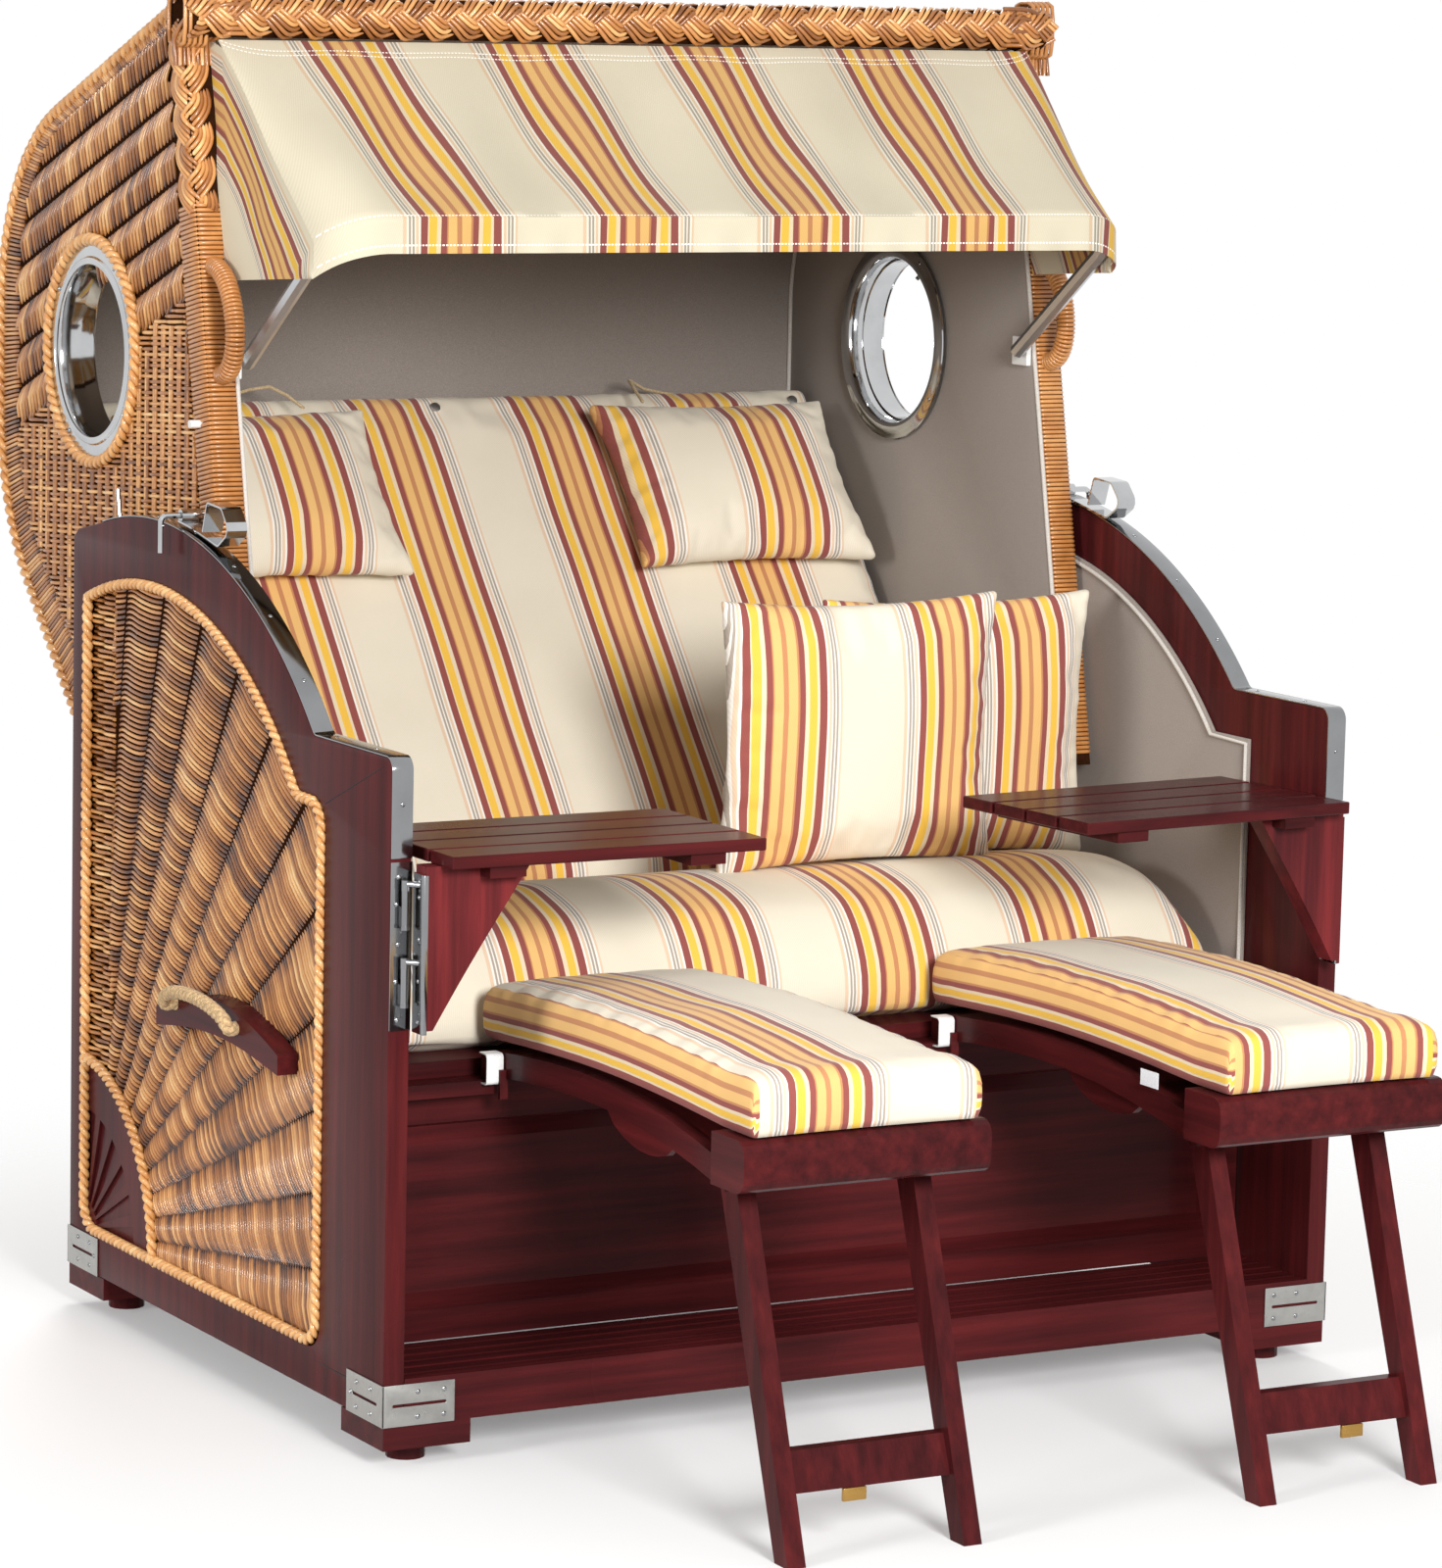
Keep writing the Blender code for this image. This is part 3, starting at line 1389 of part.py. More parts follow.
def make_table_hinges():
    """Hinge plates on the front posts, each with two upright knuckles."""
    front = -gap - strip_thick
    plate = block((side_inner, front, hinge_bottom), (side_inner + side_thick, -gap, hinge_top))
    knuckles = []
    for low in (knuckle_low, knuckle_high):
        knuckles.append(rod((table_axis_x, table_axis_y, low),
                            (table_axis_x, table_axis_y, low + knuckle_height), knuckle_radius))
        knuckles.append(block((table_axis_x - knuckle_radius / 2, table_axis_y, low),
                              (table_axis_x + knuckle_radius / 2, front + strip_thick / 2,
                               low + knuckle_height / 2)))
    place_pair("table_hinge", combine(plate, knuckles), finishes["steel"], smooth=40)


def make_tables():
    """Slatted table tops on battens, and their bracket boards with hinge strips and eyes."""
    slat_low = table_top - table_slat_thick
    batten_low = slat_low - batten_thick
    pitch = table_slat_width + table_slat_gap
    rear = table_front_y + table_slats * pitch - table_slat_gap
    shapes = []
    for i in range(table_slats):
        y = table_front_y + i * pitch
        shapes.append(block((table_inner_x, y, slat_low),
                            (table_outer_x, y + table_slat_width, table_top), bevel=gap * 4))
    battens = []
    for x in (table_outer_x - batten_inset, table_inner_x + batten_inset):
        battens.append(block((x - batten_width / 2, table_front_y + table_slat_gap, batten_low),
                             (x + batten_width / 2, rear - table_slat_gap, slat_low + overrun / 4)))
    top = combine(battens[0], shapes + battens[1:])
    notch = block((table_bracket_x - table_bracket_reach - overrun, table_bracket_y - gap,
                   batten_low - overrun),
                  (table_bracket_x + overrun, table_bracket_y + table_bracket_thick + gap, slat_low))
    top = combine(top, [notch], "DIFFERENCE")
    place_pair("table_top", top, finishes["light_mahogany"], "table")

    outer = table_bracket_x
    high = slat_low - gap
    low = high - table_bracket_height
    inner = outer - table_bracket_reach
    curve = []
    steps = 7
    run = outer - table_bracket_tip - inner
    for i in range(steps + 1):
        share = i / steps
        bend = math.sin(math.pi * share)
        curve.append((inner + run * (share + table_bracket_bow_share * bend),
                      high - (high - low) * (share + table_bracket_drop_share * bend)))
    board = flat([[(outer, high)] + curve + [(outer, low)]], table_bracket_thick,
                 front_plane(table_bracket_y + table_bracket_thick / 2))
    leaf = block((outer - hinge_leaf_thick, table_bracket_y, hinge_bottom),
                 (outer + hinge_leaf_thick, table_bracket_y + table_bracket_thick, hinge_top - overrun))
    eyes = [leaf]
    for knuckle in (knuckle_low, knuckle_high):
        z = knuckle + knuckle_height + gap + hinge_arm_radius
        arm_y = table_bracket_y + table_bracket_thick / 2
        eyes.append(rod((outer, arm_y, z), (table_axis_x, table_axis_y, z), hinge_arm_radius, sides=10))
        eyes.append(rod((table_axis_x, table_axis_y, z - hinge_arm_radius),
                        (table_axis_x, table_axis_y, z + hinge_arm_radius), knuckle_radius, sides=12))
    place_pair("table_bracket", combine(board, eyes), finishes["light_mahogany"], "table")


# Footrests

def rail_line(y):
    """Height of the footrest rails' middle: slightly arched between crossbar and nosing."""
    rear = footrest_axis_height + rail_height / 2
    share = (footrest_axis_y - y) / (footrest_axis_y - rail_front_y)
    fall = (rail_front_height - rear) * share ** rail_fall_power
    return rear + fall + rail_rise * math.sin(math.pi * share)


def make_footrest_frames():
    """Footrest frames: rear crossbar with hooks, arched rails, deck, stop board and nosing."""
    centre = footrest_centre_x
    half = crossbar_length / 2
    low = footrest_axis_height
    crossbar = block((centre - half, footrest_axis_y - crossbar_depth, low),
                     (centre + half, footrest_axis_y, low + crossbar_height))
    shapes = []
    steps = 8
    start = footrest_axis_y - overrun / 2
    for side in (-1, 1):
        upper = []
        lower = []
        for i in range(steps + 1):
            y = start + (rail_front_y - overrun / 2 - start) * i / steps
            upper.append((y, rail_line(y) + rail_height / 2))
            lower.append((y, rail_line(y) - rail_height / 2))
        middle = centre + side * rail_x
        shapes.append(flat([upper + lower[::-1]], rail_thick, side_plane(middle)))
        x = centre + side * (half - hook_width)
        hook_front = footrest_axis_y - crossbar_depth + overrun / 4
        shapes.append(block((x - hook_width / 2, hook_front - overrun, low - hook_length),
                            (x + hook_width / 2, hook_front - overrun + 2 * steel_sheet,
                             low + crossbar_height / 2)))
        shapes.append(block((x - hook_width / 2, hook_front - overrun, low + steel_sheet),
                            (x + hook_width / 2, hook_front, low + crossbar_height / 2)))
    upper = []
    lower = []
    for i in range(steps + 1):
        y = start + (rail_front_y - start) * i / steps
        upper.append((y, rail_line(y) + rail_height / 2 - deck_thick / 4))
        lower.append((y, rail_line(y) + rail_height / 2 - deck_thick))
    deck = flat([upper + lower[::-1]], 2 * rail_x, side_plane(centre))
    shapes.append(deck)
    stop = []
    for i in range(steps + 1):
        share = i / steps
        y = stop_board_rear_y + (stop_board_front_y - stop_board_rear_y) * share
        drop = stop_board_drop * math.sin(math.pi * share) ** stop_board_round_power
        stop.append((y, rail_line(y) - rail_height / 2 - drop + overrun / 4))
    ends = [(stop_board_front_y, rail_line(stop_board_front_y) + overrun / 4),
            (stop_board_rear_y, rail_line(stop_board_rear_y) + overrun / 4)]
    for side in (-1, 1):
        shapes.append(flat([stop + ends], rail_thick / 2, side_plane(centre + side * rail_x)))
    nosing = flat([rounded([(nosing_rear_y, nosing_bottom, 0), (nosing_rear_y, nosing_top, 0),
                            (nosing_front_y, nosing_top, nosing_round),
                            (nosing_front_y, nosing_bottom, nosing_round)])],
                  nosing_length, side_plane(centre))
    frame = combine(nosing, [crossbar] + shapes)
    place_pair("footrest_frame", frame, finishes["light_mahogany"], "footrest", smooth=35)


def make_footrest_legs():
    """Folding leg frames: two tapered legs, a crossbar and the pivot rod."""
    shapes = []
    half = leg_top_width / 2
    head_centre = (leg_pivot_y, leg_pivot_height)
    head = arc(head_centre, half, math.pi, 0, 6)
    for side in (-1, 1):
        middle = footrest_centre_x + side * leg_half_span
        outline = head + [(foot_front_y + leg_foot_width, 0), (foot_front_y, 0)]
        shapes.append(flat([outline], leg_thick, side_plane(middle)))
        rail_face = footrest_centre_x + side * (rail_x - rail_thick / 2 - gap)
        shapes.append(rod((middle, *head_centre), (rail_face, *head_centre), leg_pin_radius))
    lean = (leg_pivot_y - foot_front_y) / leg_pivot_height
    low_y = foot_front_y + leg_foot_width / 2 - leg_bar_thick / 2 + leg_bar_low * lean
    high_y = foot_front_y + leg_foot_width / 2 - leg_bar_thick / 2 + leg_bar_high * lean
    bar_outline = [(low_y, leg_bar_low), (low_y + leg_bar_thick, leg_bar_low),
                   (high_y + leg_bar_thick, leg_bar_high), (high_y, leg_bar_high)]
    bar = flat([bar_outline], 2 * leg_half_span, side_plane(footrest_centre_x))
    place_pair("footrest_legs", combine(bar, shapes), finishes["light_mahogany"], "legs")


def make_footrest_pads():
    """Boxed pads on the footrests, following the rails' arch."""
    half = pad_width / 2
    front = pad_rear_y - pad_length
    base = nosing_top + pad_lift
    pad = soft_box((footrest_centre_x - half, front, base),
                   (footrest_centre_x + half, pad_rear_y, base + pad_thick), pad_point,
                   pad_hold_shares)
    for vert in pad.vertices:
        y = min(footrest_axis_y, max(rail_front_y, vert.co.y))
        top = rail_line(y) + rail_height / 2
        vert.co.z += max(0, top - nosing_top) if y > rail_front_y else 0
    place_pair("footrest_pad", pad, finishes["cloth"], "footrest", smooth=80)


remove_everything()
collection = bpy.data.collections.new("hooded_beach_chair")
bpy.context.scene.collection.children.link(collection)
finishes = {
    "mahogany": material("mahogany", mahogany_colour, 0.25),
    "light_mahogany": material("light_mahogany", light_mahogany_colour, 0.30),
    "wicker": material("wicker", wicker_colour, 0.45),
    "lining": material("lining", lining_colour, 0.95),
    "cloth": material("cloth", cloth_colour, 0.90),
    "steel": material("steel", steel_colour, 0.18, 1),
    "tube": material("tube", tube_colour, 0.35, 1),
    "plastic": material("plastic", plastic_colour, 0.45),
    "rope": material("rope", rope_colour, 0.90),
}
make_bodies()
make_side_frames()
make_wicker_panels()
make_carved_fans()
make_side_linings()
make_front_step()
make_kick_panel()
make_seat_base()
make_rear_panel()
make_corner_brackets()
make_edge_strips()
make_handles()
make_seat_cushion()
make_backrest()
make_neck_pillows()
make_neck_cords()
make_throw_cushions()
make_hood_shells()
make_hood_rim()
make_pivot_arms()
make_portholes()
make_canopy_frame()
make_canopy_brackets()
make_canopy_cloth()
make_latches()
make_table_hinges()
make_tables()
make_footrest_frames()
make_footrest_legs()
make_footrest_pads()
bpy.context.view_layer.update()
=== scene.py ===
"""Hooded two-seat beach chair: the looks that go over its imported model.

Lengths are in metres in the chair's own frame, whose Y is zero at the front posts' faces.
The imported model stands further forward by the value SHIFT, which each piece gets last.
"""

import json
import math
import random

import bmesh
import bpy
from bpy.props import FloatProperty, FloatVectorProperty, IntProperty, PointerProperty
from mathutils import Matrix, Vector, noise

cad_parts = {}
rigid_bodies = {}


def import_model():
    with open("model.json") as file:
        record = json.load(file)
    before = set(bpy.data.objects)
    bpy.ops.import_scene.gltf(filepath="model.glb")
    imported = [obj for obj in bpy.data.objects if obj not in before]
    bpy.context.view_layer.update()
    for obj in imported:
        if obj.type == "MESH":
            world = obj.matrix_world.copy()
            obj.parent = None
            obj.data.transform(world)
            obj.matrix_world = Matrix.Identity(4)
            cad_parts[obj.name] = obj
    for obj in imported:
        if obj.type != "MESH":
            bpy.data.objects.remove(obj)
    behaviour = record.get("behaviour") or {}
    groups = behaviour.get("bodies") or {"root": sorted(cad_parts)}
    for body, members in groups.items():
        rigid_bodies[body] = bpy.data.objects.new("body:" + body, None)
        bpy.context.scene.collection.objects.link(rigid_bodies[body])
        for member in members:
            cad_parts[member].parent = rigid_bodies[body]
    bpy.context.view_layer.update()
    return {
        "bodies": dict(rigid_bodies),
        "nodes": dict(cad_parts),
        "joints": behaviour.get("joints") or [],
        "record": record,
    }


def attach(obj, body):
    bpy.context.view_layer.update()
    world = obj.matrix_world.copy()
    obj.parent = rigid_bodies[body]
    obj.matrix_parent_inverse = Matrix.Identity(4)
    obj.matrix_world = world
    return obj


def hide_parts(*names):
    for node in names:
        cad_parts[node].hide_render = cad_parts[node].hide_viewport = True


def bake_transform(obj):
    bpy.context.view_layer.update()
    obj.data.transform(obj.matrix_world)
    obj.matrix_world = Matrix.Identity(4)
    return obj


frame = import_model()

bl_info = {
    "name": "Hooded Beach Chair",
    "version": (1, 0, 0),
    "blender": (4, 5, 0),
    "location": "View3D > Sidebar > Beach Chair",
    "description": "Builds the woven, upholstered and lacquered surfaces of a hooded beach chair",
    "category": "Object",
}

SHIFT = Vector((0, -0.3485, 0))

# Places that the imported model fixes
DEPTH = 0.888
SIDE_THICK = 0.025
PIVOT = Vector((0.655, 0.362))
ARC_RADIUS = 0.6246
ARM_HEIGHT = 0.789
WINDOW_RADIUS = 0.5516
WINDOW_FRONT = 0.168
WINDOW_REAR = 0.848
WINDOW_LOW = 0.098
WINDOW_HIGH = 0.722
FAN_RADIUS = 0.210
HOOD_HALF = 0.585
POST_THICK = 0.035
POST_DEPTH = 0.045
BEAM_LOW = 1.548
BEAM_HIGH = 1.595
BEAM_FRONT = 0.632
BEAM_DEPTH = 0.079
BEAM_MIDDLE = (BEAM_LOW + BEAM_HIGH) / 2
BEAM_HALF = (BEAM_HIGH - BEAM_LOW) / 2
POST_X = 0.5675
PORTHOLE = Vector((0.925, 1.165))
BACK_LEAN = math.radians(39.6)
BACK_FOOT = Vector((0.680, 0.503))
CANOPY_PIVOT = Vector((0.600, 1.172))
CANOPY_BAR = Vector((0.362, 1.343))
FOOTREST_X = 0.295
PILLOW_X = 0.335
TOP_Z = 1.5446
SIDE_MIDDLE = 0.6125
SIDE_FACE = 0.6253
WALL_MIDDLE = 0.5477
HINGE_PIN = (0.612, -0.010)
KNUCKLES = (0.5195, 0.6050)
CHECK_PITCH = 0.0235


# Shader maths

class Wire:
    """A shader socket whose sums and products add their own nodes."""

    def __init__(self, paint, socket):
        self.paint = paint
        self.socket = socket

    def maths(self, operation, *others):
        values = {i: other for i, other in enumerate((self,) + others)}
        return self.paint.add("ShaderNodeMath", {"operation": operation}, values)

    def __add__(self, other):
        return self.maths("ADD", other)

    __radd__ = __add__

    def __sub__(self, other):
        return self.maths("SUBTRACT", other)

    def __rsub__(self, other):
        return self.paint.add("ShaderNodeMath", {"operation": "SUBTRACT"}, {0: other, 1: self})

    def __mul__(self, other):
        return self.maths("MULTIPLY", other)

    __rmul__ = __mul__

    def __truediv__(self, other):
        return self.maths("DIVIDE", other)

    def __pow__(self, other):
        return self.maths("POWER", other)

    def fract(self):
        return self.maths("FRACT")

    def sine(self):
        return self.maths("SINE")

    def size(self):
        return self.maths("ABSOLUTE")

    def at_least(self, other):
        return self.maths("MAXIMUM", other)

    def at_most(self, other):
        return self.maths("MINIMUM", other)

    def span(self, low, high, to_low=0.0, to_high=1.0):
        """Map a range to another one, smoothly and clamped."""
        return self.paint.add("ShaderNodeMapRange", {"interpolation_type": "SMOOTHSTEP"},
                              {"Value": self, "From Min": low, "From Max": high,
                               "To Min": to_low, "To Max": to_high})


class Paint:
    """A material under construction."""

    def __init__(self, name, **constants):
        self.material = bpy.data.materials.new(name)
        self.material.use_nodes = True
        self.tree = self.material.node_tree
        self.shader = self.tree.nodes["Principled BSDF"]
        for socket, value in constants.items():
            self.shader.inputs[socket.replace("_", " ")].default_value = value

    def add(self, kind, settings=None, values=None, output=0):
        """Add a node: its type, its settings, then the values or links of its sockets."""
        node = self.tree.nodes.new(kind)
        for key, value in (settings or {}).items():
            setattr(node, key, value)
        for key, value in (values or {}).items():
            self.connect(node.inputs[key], value)
        return Wire(self, node.outputs[output])

    def connect(self, socket, value):
        if isinstance(value, Wire):
            self.tree.links.new(value.socket, socket)
        else:
            socket.default_value = value

    def place(self):
        return self.add("ShaderNodeTexCoord", output=3)

    def cloth_place(self):
        return self.add("ShaderNodeUVMap", {"uv_map": "cloth"})

    def parts(self, vector):
        node = self.tree.nodes.new("ShaderNodeSeparateXYZ")
        self.connect(node.inputs[0], vector)
        return [Wire(self, output) for output in node.outputs]

    def moved(self, vector, scale=(1, 1, 1), turn=(0, 0, 0)):
        return self.add("ShaderNodeMapping", {},
                        {"Vector": vector, "Scale": scale, "Rotation": turn})

    def attribute(self, name):
        return self.add("ShaderNodeAttribute", {"attribute_name": name}, output=2)

    def cloud(self, vector, scale, detail=2.0, roughness=0.5):
        return self.add("ShaderNodeTexNoise", {},
                        {"Vector": vector, "Scale": scale, "Detail": detail,
                         "Roughness": roughness})

    def ramp(self, value, stops, interpolation="LINEAR"):
        node = self.tree.nodes.new("ShaderNodeValToRGB")
        node.color_ramp.interpolation = interpolation
        elements = node.color_ramp.elements
        while len(elements) > 1:
            elements.remove(elements[-1])
        for i, (position, colour) in enumerate(stops):
            element = elements[0] if i == 0 else elements.new(position)
            element.position = position
            element.color = (*colour, 1)
        self.connect(node.inputs[0], value)
        return Wire(self, node.outputs[0])

    def blend(self, factor, first, second, kind="MIX"):
        """Mix two colours."""
        node = self.tree.nodes.new("ShaderNodeMix")
        node.data_type = "RGBA"
        node.blend_type = kind
        for key, value in ((0, factor), (6, first), (7, second)):
            if not isinstance(value, Wire) and key > 0 and len(value) == 3:
                value = (*value, 1)
            self.connect(node.inputs[key], value)
        return Wire(self, node.outputs[2])

    def relief(self, height, strength, distance):
        return self.add("ShaderNodeBump", {},
                        {"Strength": strength, "Distance": distance, "Height": height})

    def finish(self, **links):
        for socket, value in links.items():
            self.connect(self.shader.inputs[socket.replace("_", " ")], value)
        return self.material


def shade(code):
    """Turn a written colour such as b07a45 into linear light."""
    values = [int(code[i:i + 2], 16) / 255 for i in (0, 2, 4)]
    return tuple(v / 12.92 if v <= 0.04045 else ((v + 0.055) / 1.055) ** 2.4 for v in values)


# Finishes

def mahogany(name, grain, dark, light):
    """Glossy lacquer over mahogany whose grain runs along one axis."""
    paint = Paint(name, Coat_Roughness=0.09, IOR=1.4, Specular_IOR_Level=0.08, Coat_IOR=1.22)
    stretch = {"x": (1.2, 26, 26), "y": (26, 1.2, 26), "z": (26, 26, 1.2)}[grain]
    place = paint.moved(paint.place(), stretch)
    grain_lines = paint.cloud(place, 2.2, 6.0, 0.62)
    pores = paint.cloud(paint.moved(place, (3, 3, 3)), 9.0, 3.0, 0.6)
    figure = paint.cloud(paint.place(), 2.6, 2.0)
    tone = (grain_lines * 0.75 + figure * 0.45 - 0.1).span(0.22, 0.85)
    colour = paint.ramp(tone, [(0.0, dark), (0.55, [(a + b) / 2 for a, b in zip(dark, light)]),
                               (1.0, light)])
    colour = paint.blend(pores.span(0.62, 0.78, 0.0, 0.35), colour,
                         [c * 0.35 for c in dark])
    rough = figure * 0.12 + 0.22
    height = grain_lines * 0.5 + pores * 0.5
    normal = paint.relief(height, 0.10, 0.0006)
    return paint.finish(Base_Color=colour, Roughness=rough, Normal=normal,
                        Coat_Weight=figure.span(0.2, 0.8, 0.05, 0.16))


def cane(name, darker=1.0):
    """Varnished round cane whose strands differ in tone."""
    paint = Paint(name, Coat_Roughness=0.10, IOR=1.5)
    # The tone attribute is each strand's own random tone, lowered where the strand tucks under its
    # neighbours as painted shade.
    tone = paint.attribute("tone")
    place = paint.place()
    streaks = paint.cloud(place, 38.0, 3.0, 0.6)
    patches = paint.cloud(place, 6.5, 2.0)
    value = (tone * 0.66 + streaks * 0.44 + patches * 0.40 - 0.22).at_least(0.0).at_most(1.0)
    stops = [(0.0, "421d0b"), (0.22, "88501f"), (0.5, "b97a40"), (0.75, "dba160"), (1.0, "f4cc90")]
    colour = paint.ramp(value, [(at, [c * darker for c in shade(code)]) for at, code in stops])
    rough = streaks * 0.20 + 0.24
    normal = paint.relief(paint.cloud(place, 240.0, 2.0), 0.25, 0.0004)
    return paint.finish(Base_Color=colour, Roughness=rough, Normal=normal,
                        Coat_Weight=patches.span(0.2, 0.8, 0.35, 0.65))


def shadow(name):
    """Matte dark brown painted shade: a sheet behind the strands of cane that stands in for the
    shade in the gaps between them.
    """
    paint = Paint(name, Roughness=1.0, Specular_IOR_Level=0.0)
    grain = paint.cloud(paint.place(), 160.0, 3.0)
    return paint.finish(Base_Color=paint.blend(grain, shade("1e1008"), shade("3a2012")))


STRIPE_STOPS = ((0, "M"), (6.5, "C"), (8, "Y"), (15, "C"), (19, "M"), (24.5, "T"), (26, "O"),
                (34, "T"), (38.5, "O"), (47.5, "T"), (49.5, "M"), (55, "C"), (58.5, "Y"),
                (66.5, "C"), (69, "M"), (76, "W"), (78.5, "P"), (81, "W"), (82.5, "G"), (84, "W"),
                (86, "G"), (88, "W"), (89.5, "P"), (92, "B"), (155, "P"), (158, "W"), (160, "G"),
                (162, "W"), (163.5, "G"), (165.5, "W"), (167, "P"), (169.5, "W"))
STRIPE_COLOURS = {"M": "97504a", "Y": "f7c64e", "O": "efc07a", "T": "c98c60", "C": "ecd9ba",
                  "W": "f6f2ea", "G": "b0a498", "P": "e8ccb0", "B": "ece3d0"}
STRIPE_UNITS = 172


def striped(name, start, seams=(), overall_dimming=0.0):
    """Striped outdoor canvas: stripes across its first coordinate, seams along it."""
    paint = Paint(name, IOR=1.4, Sheen_Weight=0.12, Sheen_Roughness=0.5)
    place = paint.cloth_place()
    across, along, _ = paint.parts(place)
    repeat = bpy.context.scene.chair_cloth.repeat
    turn = ((across - start) / repeat + 20.0).fract()
    stops = [(at / STRIPE_UNITS, shade(STRIPE_COLOURS[key])) for at, key in STRIPE_STOPS]
    colour = paint.ramp(turn, stops, "CONSTANT")
    ribs = ((across * 2600.0 + along * 900.0).sine() * 0.5 + 0.5)
    threads = ((across * 5200.0).sine() * (along * 5200.0).sine()).size()
    soil = paint.cloud(paint.place(), 7.0, 3.0)
    colour = paint.blend(ribs * 0.16, colour, shade("c9b896"), "MULTIPLY")
    colour = paint.blend(soil.span(0.3, 0.8, 0.0, 0.10), colour, shade("b7a98c"), "MULTIPLY")
    # Darkens and greys the whole cloth by this amount.
    if overall_dimming:
        colour = paint.blend(overall_dimming, colour, shade("c6c5b4"), "MULTIPLY")
    height = ribs * 0.4 + threads * 0.6
    for seam in seams:
        far = (along - seam).size()
        stitch = (across * 230.0).fract().span(0.55, 0.65, 1.0, 0.0)
        dash = far.span(0.0006, 0.0011, 1.0, 0.0) * stitch
        colour = paint.blend(dash, colour, shade("fdfaf2"))
        height = height - far.span(0.0, 0.003, 2.0, 0.0)
    normal = paint.relief(height, 0.28, 0.0004)
    return paint.finish(Base_Color=colour, Roughness=threads * 0.06 + 0.86, Normal=normal)


def plain_cloth(name, code, scale=900.0):
    """Plain woven cloth with a fine, slightly uneven surface."""
    paint = Paint(name, IOR=1.4, Sheen_Weight=0.15, Sheen_Roughness=0.6)
    place = paint.place()
    fine = paint.cloud(place, scale, 2.0)
    broad = paint.cloud(place, 5.0, 3.0)
    colour = paint.blend(fine.span(0.25, 0.75), [c * 0.82 for c in shade(code)],
                         [min(1, c * 1.18) for c in shade(code)])
    colour = paint.blend(broad.span(0.3, 0.8, 0.0, 0.18), colour, [c * 0.7 for c in shade(code)])
    normal = paint.relief(fine, 0.35, 0.0006)
    return paint.finish(Base_Color=colour, Roughness=fine * 0.1 + 0.86, Normal=normal)


def metal(name, code, rough, brushed=False):
    """Bare metal with faint wiping marks, or a brushed grain."""
    paint = Paint(name, Metallic=1.0)
    place = paint.place()
    marks = paint.cloud(paint.moved(place, (1, 14, 1) if brushed else (1, 1, 1)),
                        55.0 if brushed else 14.0, 4.0, 0.6)
    fine = paint.cloud(paint.moved(place, (1, 1, 30) if brushed else (1, 1, 1)), 220.0, 2.0)
    colour = paint.blend(marks.span(0.35, 0.75), shade(code), [c * 0.86 for c in shade(code)])
    roughness = marks * rough * 0.7 + rough * 0.65
    normal = paint.relief(fine, 0.12 if brushed else 0.03, 0.0003)
    return paint.finish(Base_Color=colour, Roughness=roughness, Normal=normal)


def moulded(name, code, rough=0.42):
    """Moulded plastic or rubber with a faint grain."""
    paint = Paint(name, IOR=1.46)
    place = paint.place()
    grain = paint.cloud(place, 420.0, 2.0)
    broad = paint.cloud(place, 12.0, 2.0)
    colour = paint.blend(broad.span(0.3, 0.8), shade(code), [c * 0.9 for c in shade(code)])
    return paint.finish(Base_Color=colour, Roughness=broad * 0.12 + rough,
                        Normal=paint.relief(grain, 0.15, 0.0003))


def fibre(name, code, scale=180.0):
    """Twisted natural fibre for ropes and cords."""
    paint = Paint(name, IOR=1.4, Sheen_Weight=0.2)
    place = paint.place()
    hairs = paint.cloud(paint.moved(place, (1, 2.5, 1)), scale, 4.0, 0.7)
    colour = paint.blend(hairs.span(0.3, 0.72), [c * 0.55 for c in shade(code)],
                         [min(1, c * 1.25) for c in shade(code)])
    return paint.finish(Base_Color=colour, Roughness=hairs * 0.1 + 0.84,
                        Normal=paint.relief(hairs, 0.6, 0.0012))


finishes = {}


def make_finishes():
    """Make every material that more than one piece can use."""
    colours = bpy.context.scene.chair_wood
    dark, light = tuple(colours.dark), tuple(colours.light)
    for grain in "xyz":
        finishes["wood_" + grain] = mahogany("mahogany_" + grain, grain, dark, light)
        finishes["red_" + grain] = mahogany("red_mahogany_" + grain, grain,
                                            [c * 1.9 for c in dark], [c * 1.9 for c in light])
    finishes["cane"] = cane("cane")
    # The sheet behind the canes is painted shade, standing in for the shade in their gaps.
    finishes["cane_backing"] = shadow("cane_backing")
    for key, make, *values in (
            ("lining", plain_cloth, "taupe_lining", "938981"),
            ("piping", plain_cloth, "pale_piping", "c9c3bb"),
            ("webbing", plain_cloth, "white_webbing", "eeeeec", 1400.0),
            ("label", plain_cloth, "blank_label", "e9eaee", 1600.0),
            # This steel's colour is set darker than bright steel, a painted dark reflection of
            # dark surroundings; the chrome stays bright.
            ("steel", metal, "polished_steel", "97989a", 0.12),
            ("brushed", metal, "brushed_steel", "acaba7", 0.30, True),
            ("chrome", metal, "bright_steel", "c6c7c8", 0.10),
            ("aluminium", metal, "satin_aluminium", "c2c4c6", 0.38),
            ("brass", metal, "brass", "b08a4c", 0.28),
            ("plastic", moulded, "white_plastic", "e4e4e2"),
            ("black", moulded, "black_rubber", "17161a", 0.6),
            ("rope", fibre, "hemp_rope", "c9a97c"),
            ("cord", fibre, "elastic_cord", "cdb48c", 420.0)):
        finishes[key] = make(*values)


# Shapes

def mesh_of(name, points, faces, edges=()):
    """Make a mesh from its points, faces and bare edges."""
    mesh = bpy.data.meshes.new(name)
    mesh.from_pydata([tuple(p) for p in points], list(edges), list(faces))
    return mesh


def object_of(name, data):
    """Put data into the scene as an object."""
    obj = bpy.data.objects.new(name, data)
    bpy.context.scene.collection.objects.link(obj)
    return obj


